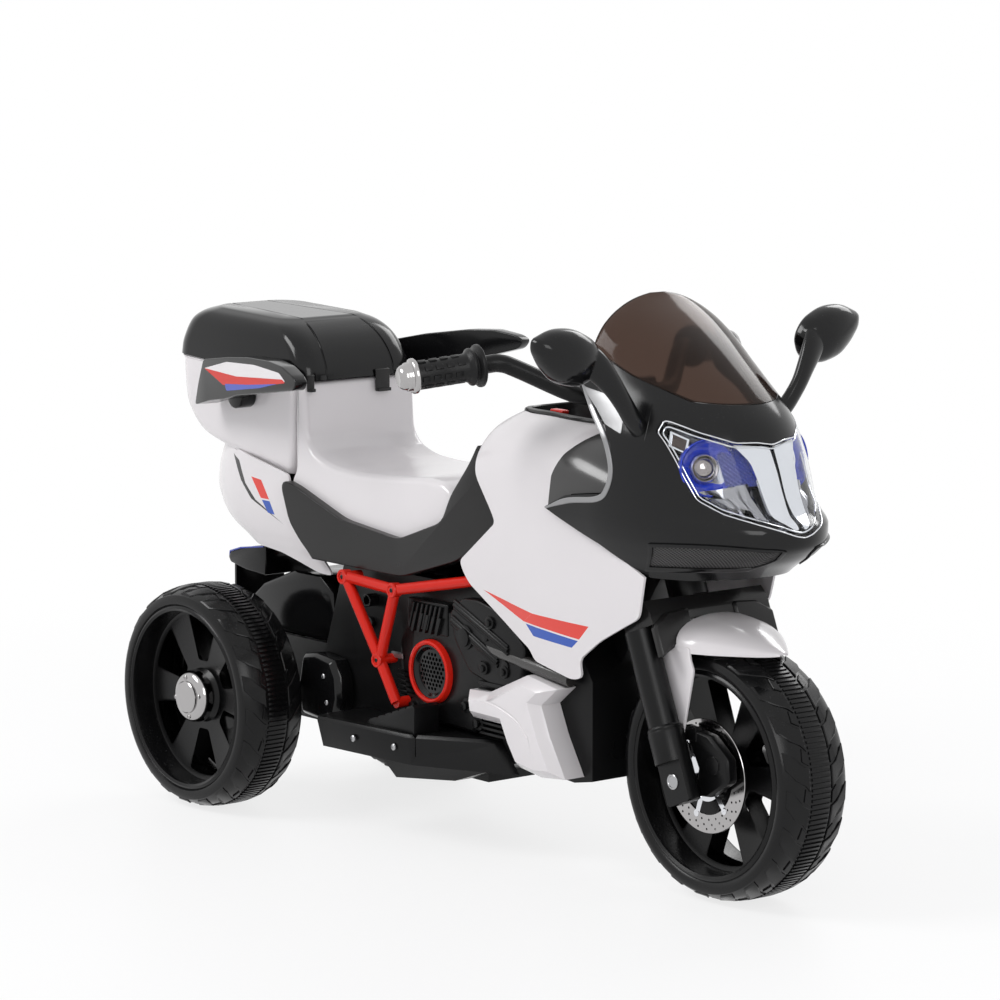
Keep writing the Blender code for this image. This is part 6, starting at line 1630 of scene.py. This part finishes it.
# %% Hub caps and dishes
CAP_PROFILE = [
    (0.0125, 0.0), (0.033, 0.0), (0.033, 0.0045), (0.0324, 0.0085), (0.0308, 0.012),
    (0.0286, 0.0143), (0.0262, 0.0154), (0.0204, 0.016), (0.0201, 0.0182), (0.019, 0.0193),
    (0.0, 0.0198), (0.0, 0.015), (0.0125, 0.015), (0.0125, 0.0),
]
SHADE_DISH_PROFILE = [
    (0.03, 0.009), (0.044, 0.012), (0.106, 0.03), (0.106, 0.0322), (0.044, 0.0142),
    (0.03, 0.0112), (0.03, 0.009),
]
for side, name in ((-1, "right"), (1, "left")):
    cap_face = facing(0.0, side * (REAR_TRACK / 2 + 0.0223), REAR_RADIUS, side)
    cap = [lathe(CAP_PROFILE, cap_face)]
    for index in range(4):
        turn = Matrix.Rotation(math.radians(90 * index + 8), 4, "Z")
        cap.append(cross_screw(cap_face @ turn @ Matrix.Translation((0.0246, 0, 0.0156)), 0.0029))
    dress(joined(cap), f"hub_cap_{name}", f"rear_wheel_{name}", "chrome", f"hub_cap_{name}")
    # A black dish behind the spokes: painted shade for the dark inside of the wheel seen through its windows.
    dish = lathe(SHADE_DISH_PROFILE, facing(0.0, side * REAR_TRACK / 2, REAR_RADIUS, -side), 72)
    dress(dish, f"wheel_shade_dish_{name}", f"rear_wheel_{name}", "black_gloss")

# %% [markdown]
# The brake disc in front is thin, with three rows of drilled holes. A carrier with six arms holds it.

# %% Brake disc
disc_face = facing(WHEELBASE, -0.0403, FRONT_RADIUS, -1)


def disc_point(reach, angle, depth):
    """A point of the disc, given by its distance from the axle, its angle and its depth."""
    return disc_face @ Vector((reach * math.cos(angle), reach * math.sin(angle), depth))


rim = [(0.0655, 0.0), (0.066, 0.0006), (0.066, 0.0024), (0.0655, 0.003)]
disc = lathe([(0.0445, 0.0)] + rim + [(0.0445, 0.003), (0.0445, 0.0)], disc_face, 96)
drills = []
for ring_radius, count, shift in ((0.05, 26, 0.0), (0.056, 26, 0.33), (0.061, 26, 0.66)):
    for index in range(count):
        start = disc_point(ring_radius, 2 * math.pi * (index + shift) / count, -0.002)
        drills.append(rod(start, start + Vector((0, -0.01, 0)), 0.0014, sides=8))
dress(boolean(disc, joined(drills)), "brake_disc", "front_wheel", "chrome", "brake_disc")
hub_ring = [(0.0072, 0.0006), (0.029, 0.0006), (0.029, 0.0036), (0.0072, 0.0036), (0.0072, 0.0006)]
carrier = [lathe(hub_ring, disc_face, 64)]
for index in range(6):
    angle = math.pi / 3 * index + 0.2
    arm_ends = [disc_point(reach, angle, 0.002) for reach in (0.026, 0.0475)]
    carrier.append(rod(*arm_ends, 0.0036, sides=4, far_radius=0.0034))
    knob = disc_point(0.0475, angle, 0.0)
    carrier.append(rod(knob, knob + Vector((0, -0.0038, 0)), 0.0042, 0.0006, sides=24))
dress(joined(carrier), "disc_carrier", "front_wheel", "silver")
for name in ("rear_axle", "front_axle"):
    NODES[name].data.materials.clear()
    NODES[name].data.materials.append(LOOKS["steel"])
print("wheels done")

# %% [markdown]
# ## Fork and front mudguard
# These turn with the handlebar, so they are built upright on the steering axis and leant back.

# %% Fork legs
leg = lathe(
    [
        (0.0, -0.026), (0.018, -0.026), (0.0205, -0.0245), (0.021, -0.022), (0.021, 0.056),
        (0.02, 0.059), (0.0205, 0.0605), (0.02, 0.0622), (0.018, 0.064), (0.018, 0.15),
        (0.018, 0.1755), (0.0, 0.1755),
    ],
    STEER_PLACE @ Matrix.Translation((0, -0.085, 0)),
    48,
)
face_room = local_block((0, -0.1425, -0.007), (0.06, 0.1, 0.058))
leg = boolean(leg, moved_by(face_room, STEER_PLACE))
dress_pair(leg, "fork_leg", "steering", "black_satin", "fork_leg_{}")
cap_place = STEER_PLACE @ Matrix.Translation((0, -0.0923, 0)) @ Matrix.Rotation(math.radians(90), 4, "X")
CAP = [
    (0.0, 0.0), (0.009, 0.0), (0.009, 0.0014), (0.008, 0.0021), (0.0066, 0.0021), (0.0062, 0.0014),
    (0.0, 0.0014),
]
dress_pair(lathe(CAP, cap_place, 40), "fork_cap", "steering", "steel")

# %% [markdown]
# The mudguard is an arched sheet, drawn at stations from rear to front, with room cut out for the
# yoke. A flat arm on each side ties it to the fork legs.

# %% Front mudguard
FENDER_STATIONS = [
    (0.7, 0.319, 0.293, 0.062), (0.725, 0.324, 0.2925, 0.0665),
    (0.755, 0.3255, 0.2905, 0.069), (0.785, 0.3225, 0.29, 0.067),
    (0.811, 0.3175, 0.29, 0.057), (0.833, 0.311, 0.29, 0.042),
    (0.851, 0.3045, 0.29, 0.028), (0.866, 0.299, 0.2905, 0.015),
    (0.875, 0.2955, 0.2915, 0.006),
]


def fender_point(u, v):
    """A point of the mudguard: u runs from rear to front, v from the right edge over to the left."""
    x = 0.7 + 0.175 * u
    crown, edge, half = table_at(FENDER_STATIONS, x)
    angle = math.pi * v
    return at(x, -half * math.cos(angle), edge + (crown - edge) * math.sin(angle) ** 0.8)


fender = sheet(60, 60, fender_point, WALL, lambda centre: Vector((0, 0, 1)))
yoke_room = local_block((-0.0074, 0, 0.21625), (0.0852, 0.24, 0.1675))
fender = boolean(fender, moved_by(yoke_room, STEER_PLACE))
dress(fender, "front_fender", "steering", "white_gloss", "front_fender", angle=32)
ARM_LINE = [
    (0.749, 0.299), (0.79, 0.2965), (0.7925, 0.283), (0.798, 0.271), (0.782, 0.201),
    (0.777, 0.1965), (0.764, 0.196), (0.739, 0.26), (0.737, 0.276),
]
fender_arm = slab(ARM_LINE, -0.0676, -0.064, 0.001, 3, corner=0.003)
for low, high, radius in ((0.05, 0.3, 0.0186), (-0.1, 0.0623, 0.0216)):
    fender_arm = boolean(fender_arm, rod(steer_point(low, -0.085), steer_point(high, -0.085), radius))
dress_pair(fender_arm, "fender_arm", "steering", "white_gloss")
screws("fender_screws", "steering", "steel", 0.0026, [(0.75, -0.0674, 0.264), (0.77, -0.0674, 0.213)])
print("fork done")

# %% [markdown]
# ## Handlebar, grips and mirrors
# The bar is one bent tube. The grips are soft sleeves with a double collar at the inner end and rows
# of raised blocks, and a stepped bright cap closes each end.

# %% Bar
BAR_LINE = [
    (-0.008, 0.0, 0.453), (-0.008, -0.04, 0.453), (-0.014, -0.06, 0.4565),
    (-0.026, -0.08, 0.468), (-0.05, -0.123, 0.505), (-0.058, -0.14, 0.516),
    (-0.068, -0.16, 0.5185), (-0.0985, -0.25, 0.52),
]
right_bar = curved([Vector(point) for point in BAR_LINE], 60)
whole_bar = [Vector((p.x, -p.y, p.z)) for p in reversed(right_bar[1:])] + right_bar
bar = tube([STEER_PLACE @ point for point in whole_bar], 0.0105, 7)
dress(bar, "handlebar", "steering", "black_satin", "handlebar")

# %% [markdown]
# The sleeve and its cap are turned on the bar's last stretch. Eight rows of blocks go round the
# sleeve, every second row moved along by a little.

# %% Grips and end caps
root, tip = Vector(BAR_LINE[-2]), Vector(BAR_LINE[-1])
along = (tip - root).normalized()
turn = along.to_track_quat("Z", "Y").to_matrix().to_4x4()
GRIP_PLACE = STEER_PLACE @ Matrix.Translation(root + along * 0.001) @ turn
sleeve = lathe(
    [
        (0.0108, 0.0), (0.0235, 0.0), (0.0248, 0.001), (0.025, 0.003), (0.0246, 0.0048),
        (0.0205, 0.0066), (0.019, 0.008), (0.019, 0.0092), (0.0215, 0.0108), (0.022, 0.0125),
        (0.0215, 0.0142), (0.018, 0.0172), (0.0165, 0.02), (0.0158, 0.05), (0.0155, 0.076),
        (0.0148, 0.079), (0.0108, 0.079), (0.0108, 0.0),
    ],
    GRIP_PLACE,
    48,
)
blocks = []
for row in range(8):
    turn = Matrix.Rotation(math.radians(45 * row + 10), 4, "Z")
    for index in range(4):
        low = 0.023 + index * 0.0135 + (0.0045 if row % 2 else 0.0)
        if low > 0.07:
            continue
        block = edged(local_block((0.0158, 0, low + 0.0045), (0.003, 0.0062, 0.009)), 0.0007, 2)
        blocks.append(moved_by(block, GRIP_PLACE @ turn))
dress_pair(joined([sleeve] + blocks), "grip", "steering", "grip_black", "grip_{}", slot="black_satin")
END_CAP = [
    (0.0, 0.016), (0.0108, 0.016), (0.0108, 0.0), (0.0195, 0.0), (0.0205, 0.001), (0.0205, 0.004),
    (0.0195, 0.0055), (0.017, 0.0065), (0.0165, 0.0075), (0.0168, 0.01), (0.0162, 0.012),
    (0.015, 0.0128), (0.0148, 0.014), (0.0135, 0.0175), (0.0112, 0.0202), (0.0088, 0.0212),
    (0.007, 0.0207), (0.0, 0.0207),
]
BASE = 0.0803
end_cap = lathe([(radius, BASE + reach) for radius, reach in END_CAP], GRIP_PLACE, 56)
dress_pair(end_cap, "bar_end", "steering", "chrome", "bar_end_{}")

# %% [markdown]
# The mirrors are fixed to the nose. Each housing is a shallow drop-shaped bowl that runs over into
# its stalk, with the glass set a little back from the rim.

# %% Mirrors
mirror_place = Matrix.Translation(at(0.722, -0.193, 0.629)) @ (
    Matrix.Rotation(math.radians(-15), 4, "X") @ Matrix.Rotation(math.radians(6), 4, "Y")
)
LEAF_RIM = [
    (-0.056, 0.01), (-0.034, 0.027), (-0.004, 0.034), (0.026, 0.028), (0.043, 0.011),
    (0.04, -0.014), (0.02, -0.03), (-0.012, -0.031), (-0.036, -0.018), (-0.053, -0.002),
]


def mirror_ring(depth, share, inset=0.0):
    """The leaf-shaped outline of the housing at a depth behind its rim."""
    outline = soft_corners(outset(LEAF_RIM, -inset), 0.014, 6)
    return [mirror_place @ Vector((depth, y * share, z * share)) for y, z in outline]


profile = [
    (0.0, 0.97), (0.0008, 0.99), (0.004, 1.0), (0.01, 0.975), (0.015, 0.93), (0.02, 0.83), (0.024, 0.7),
    (0.028, 0.5), (0.0305, 0.3), (0.0318, 0.12),
]
housing = loft([mirror_ring(depth, share) for depth, share in profile])
housing = boolean(housing, loft([mirror_ring(-0.01, 1.0, 0.0042), mirror_ring(0.0025, 1.0, 0.0042)]))
STALK = [
    (0.735, -0.178, 0.63, 0.011, 0.02), (0.742, -0.164, 0.618, 0.01, 0.017),
    (0.748, -0.148, 0.598, 0.009, 0.013), (0.751, -0.134, 0.578, 0.0085, 0.011),
    (0.75, -0.118, 0.557, 0.009, 0.011), (0.748, -0.103, 0.542, 0.01, 0.0115),
]
STALK_RINGS, STALK_SIDES = 36, 28
line = curved([at(x, y, z) for x, y, z, _, _ in STALK], STALK_RINGS)
sizes = curved([(wide, deep, 0) for _, _, _, wide, deep in STALK], STALK_RINGS)
rings = []
for index, (centre, size) in enumerate(zip(line, sizes)):
    along = (line[min(index + 1, STALK_RINGS - 1)] - line[max(index - 1, 0)]).normalized()
    side = Vector((0.25, 1.0, 0.15)).cross(along).normalized()
    out = along.cross(side)
    ring = []
    for step in range(STALK_SIDES):
        angle = 2 * math.pi * step / STALK_SIDES
        ring.append(centre + side * size.x * math.cos(angle) + out * size.y * math.sin(angle))
    rings.append(ring)
hull = loft(
    [[nose_point(k / 60, z, 0.0003) for k in range(61)] for z in (0.5, 0.53, 0.55, 0.57, 0.59, 0.61, 0.63)],
)
stalk = boolean(loft(rings), hull)
housing = boolean(housing, stalk, "UNION")
dress_pair(housing, "mirror", "toy", "black_gloss", "mirror_{}", slot="black_satin", angle=40)
glass = loft([mirror_ring(0.0022, 1.0, 0.0046), mirror_ring(0.0012, 1.0, 0.0046)])
dress_pair(glass, "mirror_glass", "toy", "chrome", slot="chrome")
print("handlebar and mirrors done")

# %% [markdown]
# ## Armrests
# Each rest is a tapered bar on a round boss. The outer face carries a white field with a red and a
# blue wedge, made here as thin inlays so that they keep crisp edges while the rest swings up.

# %% Armrests with their inlays
ARM_PIVOT = (-0.02, 0.508)
ARM_FLARE = math.radians(12.5)
LEFT_LIFT = math.radians(6.5)
ARM_OUTLINE = [
    (-0.073, -0.017), (-0.062, 0.012), (-0.045, 0.044), (0.03, 0.054), (0.092, 0.06),
    (0.155, 0.062), (0.196, 0.0595), (0.229, 0.051), (0.24, 0.044), (0.231, 0.034),
    (0.146, 0.0215), (0.057, 0.009), (0.017, 0.0), (-0.03, -0.007),
]
arm_place = Matrix.Translation(at(ARM_PIVOT[0], -0.119, ARM_PIVOT[1])) @ Matrix.Rotation(-ARM_FLARE, 4, "Z")


def arm_slab(outline, near, far, rim, corner, segments=4):
    """A slab in the arm's own place, thinner on its inner side towards the front."""
    obj = slab(outline, near, far, corner=corner)
    obj.data.transform(Matrix.Translation(-at(0, 0, 0)))
    for vertex in obj.data.vertices:
        if vertex.co.y > 0:
            share = min(1.0, max(0.0, (vertex.co.x - 0.05) / 0.2))
            vertex.co.y = -0.015 + (vertex.co.y + 0.015) * (1 - 0.5 * share)
    if rim:
        obj = edged(obj, rim, segments)
    return moved_by(obj, arm_place)


def arm_pair(obj, stem, look, *nodes, slot=None):
    """The right arm's piece, and its twin lifted a little as the photograph shows."""
    left = twin(applied(obj))
    pivot = at(ARM_PIVOT[0], 0, ARM_PIVOT[1])
    lift = Matrix.Translation(pivot) @ Matrix.Rotation(-LEFT_LIFT, 4, "Y") @ Matrix.Translation(-pivot)
    moved_by(left, lift)
    dress(obj, f"{stem}_right", "armrest_right", look, *[name + "_right" for name in nodes], slot=slot)
    dress(left, f"{stem}_left", "armrest_left", look, *[name + "_left" for name in nodes], slot=slot)


arm = arm_slab(ARM_OUTLINE, -0.015, 0.015, 0.0055, 0.006)
x, z = ARM_PIVOT
boss = rod(at(x, -0.11, z), at(x, -0.0867, z), 0.015, 0.0015)
arm = joined([arm, boss])
arm_pair(arm, "armrest", "black_gloss", "armrest")
FIELD = [
    (-0.04, 0.033), (0.03, 0.048), (0.115, 0.053), (0.19, 0.051), (0.208, 0.042), (0.135, 0.03),
    (0.03, 0.018),
]
RED_WEDGE = [(-0.04, 0.033), (0.06, 0.033), (0.2, 0.044), (0.208, 0.0405), (0.135, 0.029), (0.02, 0.018)]
BLUE_WEDGE = [(0.025, 0.02), (0.1, 0.027), (0.185, 0.037), (0.13, 0.026), (0.03, 0.012)]
for stem, outline, face, look in (
    ("arm_field", FIELD, -0.0153, "white_gloss"),
    ("arm_red", RED_WEDGE, -0.01555, "red_gloss"),
    ("arm_blue", BLUE_WEDGE, -0.0158, "blue_gloss"),
):
    arm_pair(arm_slab(outline, face, -0.0148, 0.0, 0.003), stem, look)
print("armrests done")

# %% [markdown]
# ## What is left of the solids
# Any solid that is still shown keeps its shape and gets the finish that its record names.

# %% Finishes for the remaining solids
wanted = {part["node"]: part["material_slot"] for part in frame["record"]["subparts"]}
for name, obj in NODES.items():
    if obj.hide_render:
        continue
    obj.data.materials.clear()
    obj.data.materials.append(LOOKS[wanted[name]])
    print("solid shown:", name)

# %% [markdown]
# ## Studio
# A pale floor, a white surround and three soft lamps, as in a product photograph. The floor fades
# into plain white with distance, but only for what the camera sees, straight or mirrored.

# %% Floor


def seen_ray(tree):
    """1 for rays of the camera and for those that a glossy or clear surface sends on."""
    path = node(tree, "ShaderNodeLightPath").outputs
    either = sum_of(tree, "MAXIMUM", path["Is Camera Ray"], path["Is Glossy Ray"])
    return sum_of(tree, "MAXIMUM", either, path["Is Transmission Ray"])


bpy.ops.object.select_all(action="DESELECT")
bpy.ops.mesh.primitive_plane_add(size=60)
floor = bpy.context.object
floor.name = "studio_floor"
paper = bpy.data.materials.new("studio_paper")
paper.use_nodes = True
tree = paper.node_tree
shader = tree.nodes["Principled BSDF"]
place = node(tree, "ShaderNodeTexCoord").outputs["Object"]
grain = node(tree, "ShaderNodeTexNoise", {"Vector": place, "Scale": 3.0}).outputs["Fac"]
colour = mixed(tree, grain, (0.9, 0.9, 0.905), (0.93, 0.93, 0.935))
wire(tree, shader, {"Roughness": 0.45, "Base Color": colour})
away = node(tree, "ShaderNodeVectorMath", {0: place}, operation="LENGTH").outputs["Value"]
fade = ranged(tree, away, 0.75, 1.9, 0.78, 1.0, interpolation_type="SMOOTHSTEP")
share = sum_of(tree, "MULTIPLY", fade, seen_ray(tree))
white = node(tree, "ShaderNodeEmission").outputs["Emission"]
blend = node(tree, "ShaderNodeMixShader", {"Fac": share, 1: shader.outputs["BSDF"], 2: white})
wire(tree, tree.nodes["Material Output"], {"Surface": blend.outputs["Shader"]})
floor.data.materials.append(paper)

# %% [markdown]
# The surround is white only to the camera and in reflections, so it doesn't wash the object out.

# %% Surround
world = bpy.data.worlds.new("studio")
bpy.context.scene.world = world
world.use_nodes = True
tree = world.node_tree
tree.nodes.clear()
ambient = node(tree, "ShaderNodeBackground", {"Color": (0.96, 0.97, 1.0, 1), "Strength": 0.5})
white = node(tree, "ShaderNodeBackground", {"Color": (1, 1, 1, 1), "Strength": 1.0})
sides = {1: ambient.outputs["Background"], 2: white.outputs["Background"]}
choice = node(tree, "ShaderNodeMixShader", {"Fac": seen_ray(tree), **sides})
node(tree, "ShaderNodeOutputWorld", {"Surface": choice.outputs["Shader"]})

# %% [markdown]
# Three large lamps: the key high up on the right, a weaker one in front and one on the far side. The
# camera stands where the fit of the photograph puts it.

# %% Lamps and camera


def soft_lamp(name, place, aim, size, watts):
    """A rectangular lamp that shines from a place at a point."""
    data = bpy.data.lights.new(name, "AREA")
    data.shape = "RECTANGLE"
    data.size, data.size_y = size
    data.energy = watts
    lamp = linked(name, data)
    lamp.location = place
    lamp.rotation_euler = (Vector(aim) - Vector(place)).to_track_quat("-Z", "Y").to_euler()


soft_lamp("key_lamp", (-1.2, -2.2, 2.6), (0, 0, 0.3), (1.6, 1.2), 54)
soft_lamp("front_lamp", (2.6, -1.4, 1.6), (0, 0, 0.35), (1.2, 1.6), 22)
soft_lamp("back_lamp", (-0.6, 2.4, 2.2), (0, 0, 0.3), (1.8, 1.0), 26)
CAMERA_AIM = Vector((-0.0004, 0, 0.4114))
CAMERA_AZIMUTH = math.radians(50.8452)
CAMERA_ELEVATION = math.radians(8.3343)
CAMERA_DISTANCE = 5.5164
level = math.cos(CAMERA_ELEVATION)
toward = Vector(
    (-math.sin(CAMERA_AZIMUTH) * level, math.cos(CAMERA_AZIMUTH) * level, -math.sin(CAMERA_ELEVATION)),
)
camera_data = bpy.data.cameras.new("camera")
camera_data.lens = 165.21
camera_data.sensor_width = 36
camera = linked("camera", camera_data)
camera.location = CAMERA_AIM - toward * CAMERA_DISTANCE
camera.rotation_euler = toward.to_track_quat("-Z", "Y").to_euler()
bpy.context.scene.camera = camera
bpy.context.scene.view_settings.view_transform = "Standard"
